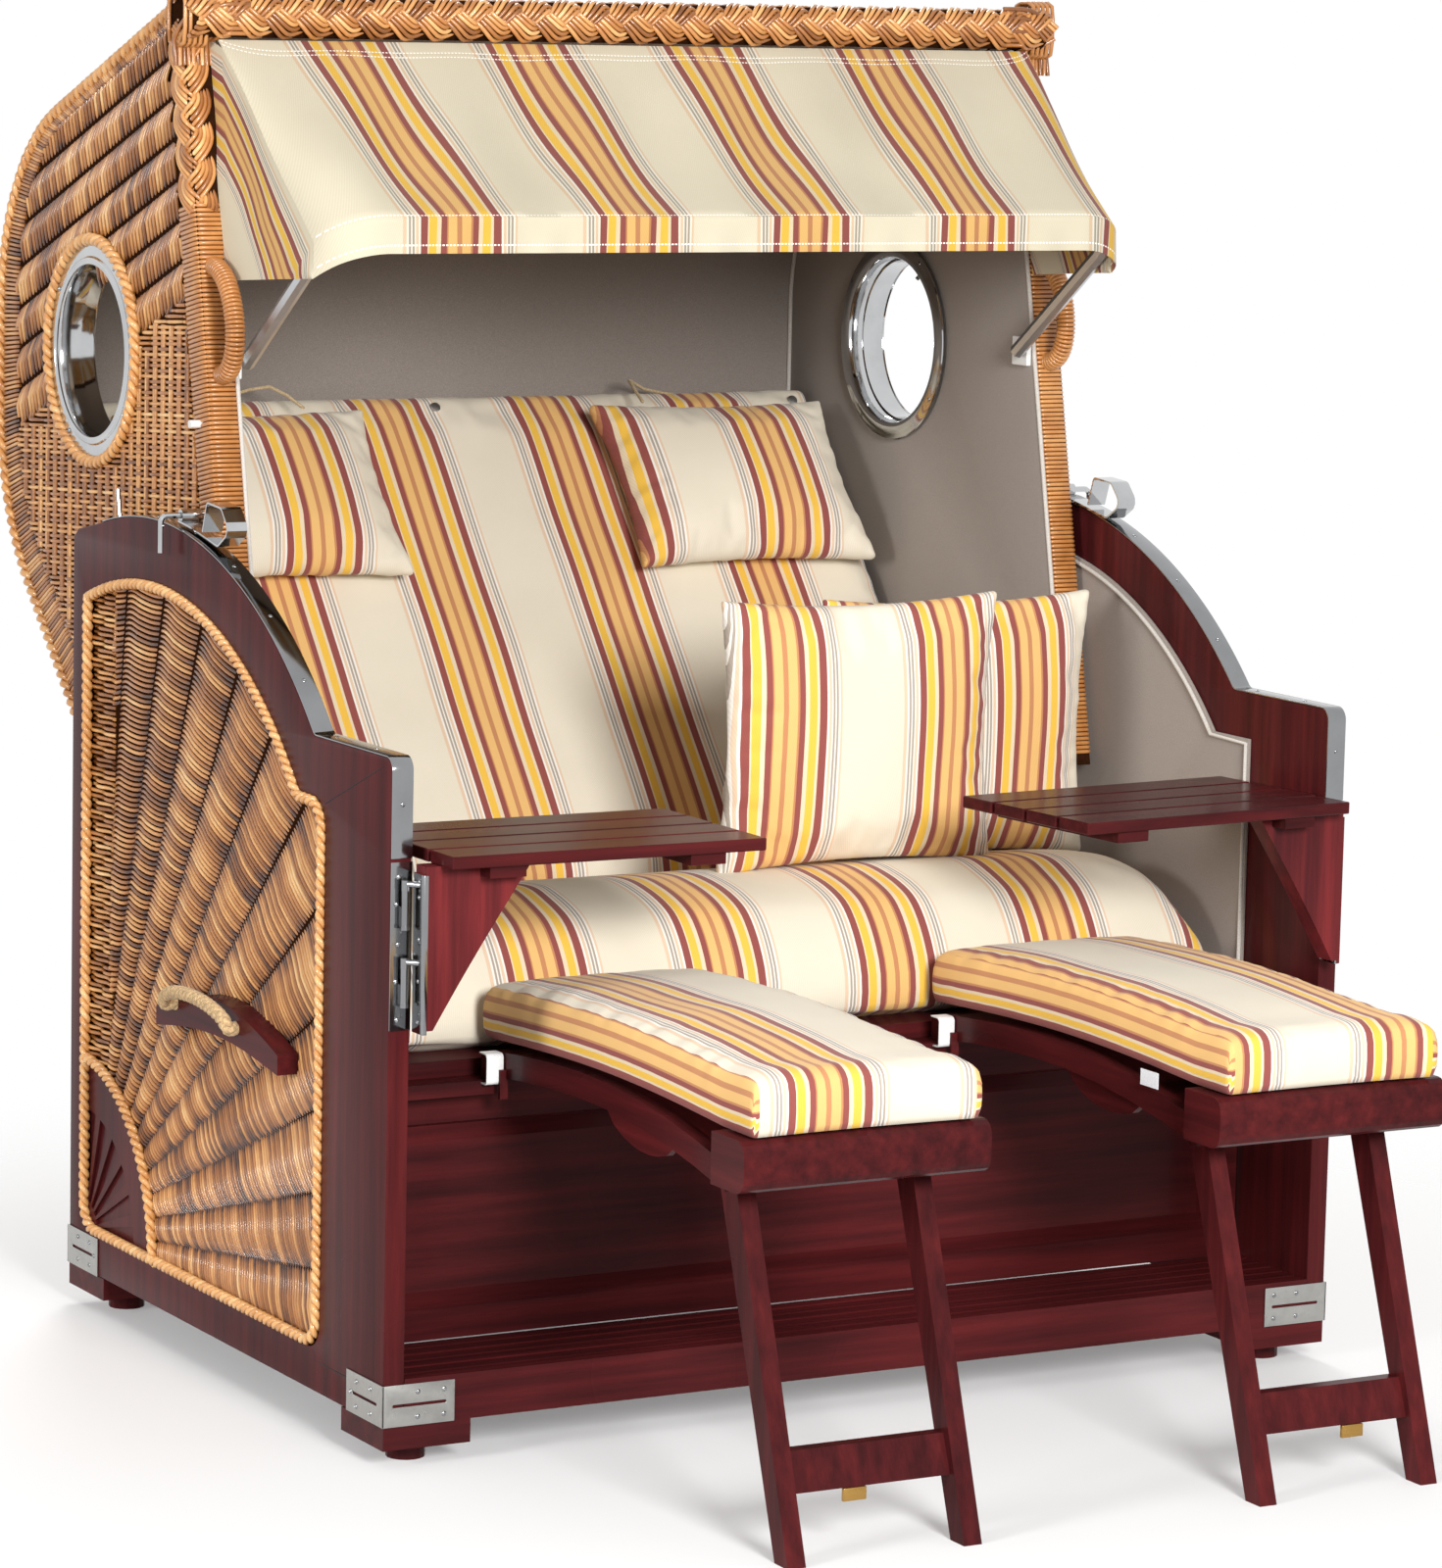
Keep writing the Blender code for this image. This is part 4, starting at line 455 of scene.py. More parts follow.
def soft_edged(mesh, angle):
    """Shade a mesh smooth, but for edges sharper than an angle in degrees."""
    mesh.shade_smooth()
    mesh.set_sharp_from_angle(angle=math.radians(angle))
    return mesh


def mesh_from(shape, name):
    """Turn a bmesh into a mesh and free it."""
    mesh = bpy.data.meshes.new(name)
    shape.to_mesh(mesh)
    shape.free()
    return mesh


def baked(obj):
    """Return the evaluated mesh of a scratch object, and remove the object."""
    bpy.context.view_layer.update()
    graph = bpy.context.evaluated_depsgraph_get()
    mesh = bpy.data.meshes.new_from_object(obj.evaluated_get(graph))
    bpy.data.objects.remove(obj)
    return mesh


def faced(mesh, smooth=40.0, doubles=0.00002):
    """Weld a closed shape, face it outwards and smooth its soft edges."""
    shape = bmesh.new()
    shape.from_mesh(mesh)
    bmesh.ops.remove_doubles(shape, verts=shape.verts, dist=doubles)
    bmesh.ops.recalc_face_normals(shape, faces=shape.faces)
    shape.to_mesh(mesh)
    shape.free()
    return soft_edged(mesh, smooth)


def joined(meshes):
    """Join several meshes, with their attributes, into one."""
    shape = bmesh.new()
    for mesh in meshes:
        shape.from_mesh(mesh)
    return mesh_from(shape, "joined")


def mirrored(mesh):
    """Return a copy of a mesh on the chair's other side, facing outwards."""
    copy = mesh.copy()
    copy.transform(Matrix.Diagonal((-1, 1, 1, 1)))
    copy.flip_normals()
    return copy


def piece(name, mesh, finish, body, replaces=(), smooth=None):
    """Give a mesh its place and finish, and let it ride on its body."""
    mesh.transform(Matrix.Translation(SHIFT))
    mesh.materials.clear()
    mesh.materials.append(finishes[finish] if isinstance(finish, str) else finish)
    if smooth is not None:
        soft_edged(mesh, smooth)
    mesh.name = name
    obj = object_of(name, mesh)
    if body:
        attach(obj, body)
    if replaces:
        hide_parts(*replaces)
    return obj


def pair(name, mesh, finish, body, replaces=(), smooth=None):
    """Make a right-hand piece and its mirror image on the left."""
    made = []
    for side, shape in (("left", mirrored(mesh)), ("right", mesh)):
        home = body if body in ("chair", "hood", "canopy") else body + "_" + side
        nodes = [node + "_" + side for node in replaces]
        made.append(piece(name + "_" + side, shape, finish, home, nodes, smooth))
    return made


def upholstered(name, mesh, paint, body, node, smooth=60):
    """Make a stuffed piece that takes the place of a node."""
    piece(name, faced(mesh, smooth), paint, body, [node])


def side_plane(x):
    """Map (u, v, thickness) to (y, z, x)."""
    return Matrix(((0, 0, 1, x), (1, 0, 0, 0), (0, 1, 0, 0), (0, 0, 0, 1)))


def front_plane(y):
    """Map (u, v, thickness) to (x, z, -y)."""
    return Matrix(((1, 0, 0, 0), (0, 0, -1, y), (0, 1, 0, 0), (0, 0, 0, 1)))


def backrest_plane():
    """Map (x, reach up the backrest, distance in front of it) to the chair's frame."""
    lean_sin, lean_cos = math.sin(BACK_LEAN), math.cos(BACK_LEAN)
    return Matrix(((1, 0, 0, 0), (0, lean_sin, -lean_cos, BACK_FOOT.x),
                   (0, lean_cos, lean_sin, BACK_FOOT.y), (0, 0, 0, 1)))


def board(outlines, thickness, plane, edge=0.0015, rounds=2):
    """Cut a board from flat outlines, the first outside and the others holes."""
    curve = bpy.data.curves.new("board", "CURVE")
    curve.dimensions = "2D"
    curve.fill_mode = "BOTH"
    curve.extrude = thickness / 2 - edge
    curve.bevel_depth = edge
    curve.bevel_resolution = rounds
    curve.offset = -edge
    for points in outlines:
        spline = curve.splines.new("POLY")
        spline.points.add(len(points) - 1)
        for target, (u, v) in zip(spline.points, points):
            target.co = (u, v, 0, 1)
        spline.use_cyclic_u = True
    mesh = baked(object_of("board", curve))
    mesh.transform(plane)
    return faced(mesh, 35)


def block(low, high, edge=0.0012, rounds=2):
    """Make a box with rounded edges between two corners."""
    shape = bmesh.new()
    bmesh.ops.create_cube(shape, size=1)
    size = [b - a for a, b in zip(low, high)]
    centre = [(a + b) / 2 for a, b in zip(low, high)]
    bmesh.ops.transform(shape, verts=shape.verts,
                        matrix=Matrix.Translation(centre) @ Matrix.Diagonal((*size, 1)))
    if edge:
        bmesh.ops.bevel(shape, geom=shape.edges, offset=edge, segments=rounds, affect="EDGES",
                        profile=0.5)
    return faced(mesh_from(shape, "block"), 35)


def turned(profile, matrix, steps=48):
    """Turn a closed profile of (radius, height) about its axis."""
    mesh = mesh_of("turned", [(r, 0, h) for r, h in profile], [],
                   [(i, (i + 1) % len(profile)) for i in range(len(profile))])
    obj = object_of("turned", mesh)
    screw = obj.modifiers.new("Turn", "SCREW")
    screw.steps = steps
    screw.render_steps = steps
    screw.use_merge_vertices = True
    screw.merge_threshold = 0.00003
    mesh = baked(obj)
    mesh.transform(matrix)
    return faced(mesh, 35)


def arc(centre, radius, start, end, steps):
    """Return flat points along a circle's arc."""
    angles = [start + (end - start) * i / steps for i in range(steps + 1)]
    return [(centre[0] + radius * math.cos(a), centre[1] + radius * math.sin(a)) for a in angles]


def rounded(corners, closed=True, steps=8):
    """Return an outline through (u, v, radius) corners, with each corner filleted."""
    points = []
    for index, (u, v, radius) in enumerate(corners):
        here = Vector((u, v))
        if radius == 0 or (not closed and index in (0, len(corners) - 1)):
            points.append((u, v))
            continue
        before = Vector(corners[index - 1][:2]) - here
        after = Vector(corners[(index + 1) % len(corners)][:2]) - here
        half = before.angle(after) / 2
        reach = min(radius / math.tan(half), before.length / 2, after.length / 2)
        true_radius = reach * math.tan(half)
        bisector = (before.normalized() + after.normalized()).normalized()
        centre = here + bisector * true_radius / math.sin(half)
        start = here + before.normalized() * reach
        end = here + after.normalized() * reach
        for step in range(steps + 1):
            spoke = start.lerp(end, step / steps) - centre
            spot = centre + spoke.normalized() * true_radius
            points.append((spot.x, spot.y))
    return points


def shifted(points, distance):
    """Move an open run of flat points to its left, keeping it parallel."""
    runs = [Vector(p) for p in points]
    moved = []
    for i, here in enumerate(runs):
        before = (here - runs[i - 1]).normalized() if i else None
        after = (runs[i + 1] - here).normalized() if i + 1 < len(runs) else None
        before = before or after
        after = after or before
        normal = Vector((-before.y - after.y, before.x + after.x)).normalized()
        spot = here + normal * distance / max(0.3, Vector((-before.y, before.x)).dot(normal))
        moved.append((spot.x, spot.y))
    return moved


def measured(points):
    """Return the running length at each point of a run."""
    lengths = [0.0]
    for a, b in zip(points, points[1:]):
        lengths.append(lengths[-1] + (Vector(b) - Vector(a)).length)
    return lengths


def walker(points):
    """Return a function that gives the place and direction at a distance along a run."""
    runs = [Vector(p) for p in points]
    lengths = measured(runs)

    def at(distance):
        distance = min(max(distance, 0.0), lengths[-1])
        low, high = 0, len(lengths) - 1
        while high - low > 1:
            middle = (low + high) // 2
            if lengths[middle] <= distance:
                low = middle
            else:
                high = middle
        span = lengths[high] - lengths[low]
        share = (distance - lengths[low]) / span if span else 0
        return runs[low].lerp(runs[high], share), (runs[high] - runs[low]).normalized()
    at.length = lengths[-1]
    return at


def inside(point, outline):
    """Tell whether a flat point lies within an outline."""
    x, y = point
    within = False
    for (x1, y1), (x2, y2) in zip(outline, outline[1:] + outline[:1]):
        if (y1 > y) != (y2 > y) and x < (x2 - x1) * (y - y1) / (y2 - y1) + x1:
            within = not within
    return within


# Node trees

def new_tree(name, inputs):
    """Start a geometry tree with named inputs."""
    tree = bpy.data.node_groups.new(name, "GeometryNodeTree")
    tree.interface.new_socket("Geometry", in_out="INPUT", socket_type="NodeSocketGeometry")
    for label, kind, default in inputs:
        socket = tree.interface.new_socket(label, in_out="INPUT", socket_type="NodeSocket" + kind)
        if default is not None:
            socket.default_value = default
    tree.interface.new_socket("Geometry", in_out="OUTPUT", socket_type="NodeSocketGeometry")
    return tree, tree.nodes.new("NodeGroupInput"), tree.nodes.new("NodeGroupOutput")


def node_in(tree, kind, values=None, **settings):
    node = tree.nodes.new(kind)
    for key, value in settings.items():
        setattr(node, key, value)
    for key, value in (values or {}).items():
        if isinstance(value, bpy.types.NodeSocket):
            tree.links.new(value, node.inputs[key])
        else:
            node.inputs[key].default_value = value
    return node


def close_tree(tree, geometry, entry, leave):
    """End a tree in realised geometry with its material."""
    real = node_in(tree, "GeometryNodeRealizeInstances", {0: geometry})
    painted = node_in(tree, "GeometryNodeSetMaterial",
                      {"Geometry": real.outputs[0], "Material": entry.outputs["Material"]})
    tree.links.new(painted.outputs[0], leave.inputs[0])


def strand_tree():
    """Sweep a round section along every run of edges."""
    tree, entry, leave = new_tree("strands", [("Radius", "Float", 0.003), ("Sides", "Int", 6),
                                              ("Material", "Material", None)])
    curve = node_in(tree, "GeometryNodeMeshToCurve", {"Mesh": entry.outputs["Geometry"]})
    circle = node_in(tree, "GeometryNodeCurvePrimitiveCircle",
                     {"Resolution": entry.outputs["Sides"], "Radius": entry.outputs["Radius"]})
    swept = node_in(tree, "GeometryNodeCurveToMesh",
                    {"Curve": curve.outputs[0], "Profile Curve": circle.outputs[0],
                     "Fill Caps": True})
    close_tree(tree, swept.outputs[0], entry, leave)
    return tree


def wrap_tree():
    """Set a ring at each step along every run of edges and sweep it into cane."""
    tree, entry, leave = new_tree("wraps", [
        ("Pitch", "Float", 0.0052), ("Radius", "Float", 0.0027), ("Sides", "Int", 6),
        ("Ring", "Object", None), ("Seed", "Int", 3), ("Material", "Material", None)])
    curve = node_in(tree, "GeometryNodeMeshToCurve", {"Mesh": entry.outputs["Geometry"]})
    steps = node_in(tree, "GeometryNodeCurveToPoints",
                    {"Curve": curve.outputs[0], "Length": entry.outputs["Pitch"]}, mode="LENGTH")
    ring = node_in(tree, "GeometryNodeObjectInfo", {"Object": entry.outputs["Ring"]})
    loop = node_in(tree, "GeometryNodeMeshToCurve", {"Mesh": ring.outputs["Geometry"]})
    rings = node_in(tree, "GeometryNodeInstanceOnPoints",
                    {"Points": steps.outputs["Points"], "Instance": loop.outputs[0],
                     "Rotation": steps.outputs["Rotation"]})
    value = node_in(tree, "FunctionNodeRandomValue", {"Seed": entry.outputs["Seed"]},
                    data_type="FLOAT")
    toned = node_in(tree, "GeometryNodeStoreNamedAttribute",
                    {"Geometry": rings.outputs[0], "Name": "tone", "Value": value.outputs[1]},
                    data_type="FLOAT", domain="INSTANCE")
    real = node_in(tree, "GeometryNodeRealizeInstances", {0: toned.outputs[0]})
    circle = node_in(tree, "GeometryNodeCurvePrimitiveCircle",
                     {"Resolution": entry.outputs["Sides"], "Radius": entry.outputs["Radius"]})
    swept = node_in(tree, "GeometryNodeCurveToMesh",
                    {"Curve": real.outputs[0], "Profile Curve": circle.outputs[0],
                     "Fill Caps": False})
    close_tree(tree, swept.outputs[0], entry, leave)
    return tree


def scatter_tree():
    """Set a copy of a small part on every point, turned to the point's own direction."""
    tree, entry, leave = new_tree("fasteners", [("Part", "Object", None), ("Size", "Float", 1.0),
                                                ("Material", "Material", None)])
    facing = node_in(tree, "GeometryNodeInputNamedAttribute", {"Name": "facing"},
                     data_type="FLOAT_VECTOR")
    turn = node_in(tree, "FunctionNodeAlignRotationToVector",
                   {"Vector": facing.outputs["Attribute"]}, axis="Z")
    part = node_in(tree, "GeometryNodeObjectInfo", {"Object": entry.outputs["Part"]})
    copies = node_in(tree, "GeometryNodeInstanceOnPoints",
                     {"Points": entry.outputs["Geometry"], "Instance": part.outputs["Geometry"],
                      "Rotation": turn.outputs[0], "Scale": entry.outputs["Size"]})
    close_tree(tree, copies.outputs[0], entry, leave)
    return tree


trees = {}


def grown(mesh, tree_name, **values):
    """Run a node tree on a mesh and return the plain result."""
    obj = object_of("growing", mesh)
    modifier = obj.modifiers.new("Grow", "NODES")
    tree = trees[tree_name]
    modifier.node_group = tree
    for item in tree.interface.items_tree:
        if item.in_out == "INPUT" and item.name in values:
            modifier[item.identifier] = values[item.name]
    return baked(obj)


def runs_mesh(runs, tones=None, closed=False):
    """Make a mesh of bare edges from runs of points, each with its own tone."""
    points = []
    edges = []
    values = []
    rng = random.Random(7)
    for index, run in enumerate(runs):
        first = len(points)
        tone = tones[index] if tones else rng.random()
        points.extend(point[:3] for point in run)
        # A point's fourth value lowers its tone: the weaves use it to darken canes where they tuck
        # under, as painted shade.
        values.extend(tone - (point[3] if len(point) > 3 else 0) for point in run)
        edges.extend((first + i, first + i + 1) for i in range(len(run) - 1))
        if closed:
            edges.append((len(points) - 1, first))
    mesh = mesh_of("runs", points, [], edges)
    layer = mesh.attributes.new("tone", "FLOAT", "POINT")
    layer.data.foreach_set("value", values)
    return mesh


def strands(runs, radius, sides=6, tones=None, closed=False, finish="cane"):
    """Sweep runs of points into round strands."""
    mesh = grown(runs_mesh(runs, tones, closed), "strands",
                 Radius=radius, Sides=sides, Material=finishes[finish])
    mesh.shade_smooth()
    return mesh


def wraps(run, ring, pitch, radius, sides=6, seed=3):
    """Wrap cane rings round a run of points."""
    loop = object_of("ring", runs_mesh([ring], [0.5], closed=True))
    mesh = grown(runs_mesh([run]), "wraps", Pitch=pitch, Radius=radius, Sides=sides, Ring=loop,
                 Seed=seed, Material=finishes["cane"])
    bpy.data.objects.remove(loop)
    mesh.shade_smooth()
    return mesh


def fasteners(spots, part, size=1.0, finish="steel"):
    """Set small parts on spots of (place, direction)."""
    mesh = mesh_of("spots", [place for place, _ in spots], [])
    layer = mesh.attributes.new("facing", "FLOAT_VECTOR", "POINT")
    layer.data.foreach_set("vector", [c for _, facing in spots for c in facing])
    holder = object_of("part", part)
    result = grown(mesh, "fasteners", Part=holder, Size=size, Material=finishes[finish])
    bpy.data.objects.remove(holder)
    return result


def screw_head(radius=0.0035, height=0.0016):
    """A domed screw head with a cross recess, standing on the plane of its axis."""
    shape = bmesh.new()
    sides = 16
    dome = [[spot] * sides for spot in ((1.0, -0.15), (1.0, 0.12), (0.88, 0.5), (0.62, 0.86),
                                        (0.34, 1.0))]
    cross = [(0.13, 0.55) if i % 4 else (0.30, 0.95) for i in range(sides)]
    turns = [2 * math.pi * i / sides for i in range(sides)]
    rows = [[shape.verts.new((radius * share * math.cos(turn), radius * share * math.sin(turn),
                              height * lift)) for turn, (share, lift) in zip(turns, row)]
            for row in (*dome, cross)]
    for low, high in zip(rows, rows[1:]):
        for i in range(sides):
            shape.faces.new((low[i], low[(i + 1) % sides], high[(i + 1) % sides], high[i]))
    floor = shape.verts.new((0, 0, height * 0.2))
    for i in range(sides):
        shape.faces.new((rows[-1][i], rows[-1][(i + 1) % sides], floor))
    shape.faces.new(rows[0][::-1])
    return soft_edged(mesh_from(shape, "screw"), 50)


def screws(name, spots, body, radius, height):
    """Make a pair of pieces out of screw heads on spots of (place, direction)."""
    pair(name, fasteners(spots, screw_head(radius, height)), "steel", body)


def window_outline(inset=0.0):
    """Return a side frame's window, from its lower rear corner round to the front."""
    low, high = WINDOW_LOW + inset, WINDOW_HIGH - inset
    front, rear = WINDOW_FRONT + inset, WINDOW_REAR - inset
    radius = WINDOW_RADIUS - inset
    meet = PIVOT.x - math.sqrt(radius ** 2 - (high - PIVOT.y) ** 2)
    end = math.acos((rear - PIVOT.x) / radius)
    start = math.pi - math.asin((high - PIVOT.y) / radius)
    curve = arc(PIVOT, radius, end, start, 40)
    outline = [(rear, low, 0.03)] + [(y, z, 0) for y, z in curve[:-1]]
    outline += [(meet, high, 0.03), (front, high, 0.03), (front, low, 0.03)]
    return rounded(outline)


def cut_runs(run, outline, least=3):
    """Keep the stretches of a flat run that lie within an outline."""
    kept, current = [], []
    for point in run:
        if inside(point[:2], outline):
            current.append(point)
        else:
            if len(current) >= least:
                kept.append(current)
            current = []
    if len(current) >= least:
        kept.append(current)
    return kept


def twisted(points, radius, pitch, lift, count=2, closed=False):
    """Twist strands round a flat run of (u, v), in a frame whose third axis points out."""
    at = walker([(u, v) for u, v in points])
    steps = max(8, int(at.length / pitch * 8))
    turns = round(at.length / pitch) if closed else at.length / pitch
    runs = []
    for strand in range(count):
        run = []
        for i in range(steps if closed else steps + 1):
            place, way = at(at.length * i / steps)
            turn = 2 * math.pi * (turns * i / steps + strand / count)
            side = Vector((-way.y, way.x)) * math.cos(turn) * radius * 1.02
            run.append((place.x + side.x, place.y + side.y,
                        lift + math.sin(turn) * radius * 1.02))
        runs.append(run)
    return runs


class CHAIR_OT_stage(bpy.types.Operator):
    """Set the camera, the lights and the pale floor as in the photo"""
    bl_idname = "chair.stage"
    bl_label = "Stage"

    def execute(self, context):
        scene = context.scene
        view = scene.chair_view
        data = bpy.data.cameras.new("view")
        data.lens = view.lens
        data.sensor_width = 36
        camera = object_of("view", data)
        azimuth, down = view.azimuth, view.tilt
        ahead = Vector((math.sin(azimuth) * math.cos(down), math.cos(azimuth) * math.cos(down),
                        -math.sin(down)))
        right = Vector((math.cos(azimuth), -math.sin(azimuth), 0))
        turn = Matrix((right, right.cross(ahead), -ahead)).transposed()
        turn = (turn @ Matrix.Rotation(view.roll, 3, "Z")).to_4x4()
        camera.matrix_world = Matrix.Translation(view.place) @ turn
        scene.camera = camera
        scene.view_settings.view_transform = "Standard"

        world = bpy.data.worlds.new("studio")
        scene.world = world
        world.use_nodes = True
        tree = world.node_tree
        back = tree.nodes["Background"]
        back.inputs["Color"].default_value = (1.0, 0.985, 0.965, 1)
        back.inputs["Strength"].default_value = view.sky
        white = tree.nodes.new("ShaderNodeBackground")
        white.inputs["Color"].default_value = (1, 1, 1, 1)
        white.inputs["Strength"].default_value = 1
        rays = tree.nodes.new("ShaderNodeLightPath")
        clear = rays.outputs["Is Camera Ray"]
        for name in ("Is Glossy Ray", "Is Transmission Ray"):
            larger = tree.nodes.new("ShaderNodeMath")
            larger.operation = "MAXIMUM"
            tree.links.new(clear, larger.inputs[0])
            tree.links.new(rays.outputs[name], larger.inputs[1])
            clear = larger.outputs[0]
        mix = tree.nodes.new("ShaderNodeMixShader")
        tree.links.new(clear, mix.inputs[0])
        tree.links.new(back.outputs[0], mix.inputs[1])
        tree.links.new(white.outputs[0], mix.inputs[2])
        tree.links.new(mix.outputs[0], tree.nodes["World Output"].inputs["Surface"])

        for name, place, size, power in (("key", (-0.8, -5.0, 2.3), 1.5, view.key),
                                         ("fill", (-4.8, -1.6, 1.7), 1.2, view.fill),
                                         ("rim", (1.5, 4.0, 3.6), 2.0, view.rim)):
            light = bpy.data.lights.new(name, "AREA")
            light.shape = "DISK"
            light.size = size
            light.energy = power
            lamp = object_of(name, light)
            aim = Vector((0, 0, 0.7)) - Vector(place)
            lamp.matrix_world = (Matrix.Translation(place)
                                 @ aim.to_track_quat("-Z", "Y").to_matrix().to_4x4())

        corners = [(x, y, 0) for x, y in box_outline((-9, -9), (9, 9))]
        floor = object_of("floor", mesh_of("floor", corners, [(0, 1, 2, 3)]))
        paint = Paint("floor", Roughness=0.75)
        across, along, _ = paint.parts(paint.place())
        reach = (across * across + along * along) ** 0.5
        tint = paint.cloud(paint.place(), 0.8, 2.0)
        colour = paint.blend(tint, (0.93, 0.93, 0.93), (0.96, 0.96, 0.96))
        fade = reach.span(0.8, 1.8, 0.75, 0.0)
        floor.data.materials.append(paint.finish(Base_Color=colour, Alpha=fade))
        return {"FINISHED"}


def rope_runs(path, radius, lay, count=3):
    """Lay strands round a path as in a twisted rope."""
    spots = [Vector(p) for p in path]
    lengths = measured(spots)
    total = lengths[-1]
    steps = int(total / lay * 10)
    runs = [[] for _ in range(count)]
    side = None
    at = walker(spots)
    for i in range(steps + 1):
        here, _ = at(total * i / steps)
        before, _ = at(max(0, total * (i - 1) / steps))
        after, _ = at(min(total, total * (i + 1) / steps))
        way = (after - before).normalized()
        if side is None:
            side = way.orthogonal().normalized()
        else:
            side = (side - way * side.dot(way)).normalized()
        across = way.cross(side)
        for strand in range(count):
            turn = 2 * math.pi * (total * i / steps / lay + strand / count)
            runs[strand].append(here + (side * math.cos(turn) + across * math.sin(turn))
                                * radius * 0.52)
    return runs


def smooth_run(points, steps=4):
    """Pass a smooth run through points."""
    spots = [Vector(p) for p in points]
    ends = [spots[0] * 2 - spots[1]] + spots + [spots[-1] * 2 - spots[-2]]
    run = []
    for i in range(len(spots) - 1):
        a, b, c, d = ends[i:i + 4]
        for step in range(steps):
            t = step / steps
            run.append(0.5 * ((2 * b) + (c - a) * t + (2 * a - 5 * b + 4 * c - d) * t * t
                              + (3 * b - a - 3 * c + d) * t ** 3))
    run.append(spots[-1])
    return run


def hung_cords(name, run, mesh, finish, body, node):
    """Make a pair of cords along a run of the right-hand side."""
    for obj, sign in zip(pair(name, mesh, finish, body, [node]), (-1, 1)):
        route = [Vector((p.x * sign, p.y, p.z)) + SHIFT for p in run]
        tuple(route[0])
        measured(route)[-1]
        [tuple(p) for p in route]


ROPE_Z = 0.4354


class CHAIR_OT_handle_ropes(bpy.types.Operator):
    """Build the twisted carrying ropes on both sides"""
    bl_idname = "chair.handle_ropes"
    bl_label = "Handle ropes"

    def execute(self, context):
        path = [(0.627, 0.349, ROPE_Z), (0.6481, 0.349, ROPE_Z)]
        for i in range(11):
            turn = math.pi * i / 10
            path.append((0.6598 + 0.006 * math.sin(turn), 0.4345 - 0.0895 * math.cos(turn),
                         ROPE_Z + 0.024 * math.sin(turn)))
        path += [(0.6481, 0.520, ROPE_Z), (0.627, 0.520, ROPE_Z)]
        run = smooth_run(path, 3)
        mesh = strands(rope_runs(run, 0.008, 0.030), 0.0044, 10, finish="rope")
        hung_cords("rope", run, mesh, "rope", "chair", "handle_rope")
        return {"FINISHED"}


# A pillow's cord runs out behind the backrest, turns and comes back over its edge to the
# pillow: (share of its reach, distance in front), then the same with its distance up
CORD_UP = 0.7575
CORD_LEVEL = ((0, -0.0393), (0.45, -0.0393), (0.75, -0.0393), (0.90, -0.0393), (0.97, -0.0393),
              (1.0, -0.0393), (1.020, -0.0367), (1.028, -0.0303), (1.020, -0.0239),
              (1.0, -0.0213), (0.97, -0.0212), (0.90, -0.0210), (0.75, -0.0205),
              (0.55, -0.0170), (0.35, 0.0))
CORD_FALL = ((0.22, 0.745, 0.0384), (0.17, 0.6844, 0.0765))


class CHAIR_OT_neck_cords(bpy.types.Operator):
    """Build the cords that hold the neck pillows"""
    bl_idname = "chair.neck_cords"
    bl_label = "Neck cords"

    def execute(self, context):
        plane = backrest_plane()
        start, reach = 0.188, 0.324
        stops = [(share, CORD_UP, front) for share, front in CORD_LEVEL] + list(CORD_FALL)
        spots = [plane @ Vector((start + reach * share, up, front))
                 for share, up, front in stops]
        run = smooth_run(spots, 2)
        mesh = strands(rope_runs(run, 0.0022, 0.009), 0.00125, 6, finish="cord")
        hung_cords("pillow_cord", run, mesh, "cord", "hood", "neck_cord")
        return {"FINISHED"}


NODE_FINISHES = (
    ("side_frame carved_fan footrest_legs", "wood_z"),
    ("front_step kick_panel seat_base rear_panel backrest_board table_top", "wood_x"),
    ("handle_block footrest_frame", "wood_y"), ("table_bracket", "red_z"),
    # The imported panel and shells behind the cane take the dark painted shade of the gaps.
    ("wicker_panel hood_shell hood_rim", "cane_backing"), ("side_lining hood_lining", "lining"),
    ("corner_bracket_front corner_bracket_rear edge_strip table_hinge pivot_arm", "steel"),
    ("porthole_outer porthole_inner", "brushed"), ("latch_rod latch_lever", "chrome"),
    ("canopy_frame", "aluminium"), ("canopy_bracket", "plastic"))


class CHAIR_OT_woods(bpy.types.Operator):
    """Lacquer the frame's boards, the tables and the footrests"""
    bl_idname = "chair.woods"
    bl_label = "Wood finishes"

    def execute(self, context):
        for names, finish in NODE_FINISHES:
            for name in names.split():
                for end in ("", "_left", "_right"):
                    node = bpy.data.objects.get(name + end)
                    if node:
                        node.data.materials.clear()
                        node.data.materials.append(finishes[finish])
        return {"FINISHED"}


def frame_edge(steps=56):
    """Run along a side frame's upper edge, from the rear forward and down the post."""
    start = math.acos(0.145 / ARC_RADIUS)
    end = math.pi - math.asin((ARM_HEIGHT - PIVOT.y) / ARC_RADIUS)
    curve = arc(PIVOT, ARC_RADIUS, start, end, steps)
    corners = [(y, z, 0) for y, z in curve[:-1]] + [(*curve[-1], 0.05), (0, ARM_HEIGHT, 0.014),
                                                    (0, 0.680, 0)]
    return rounded(corners, closed=False)


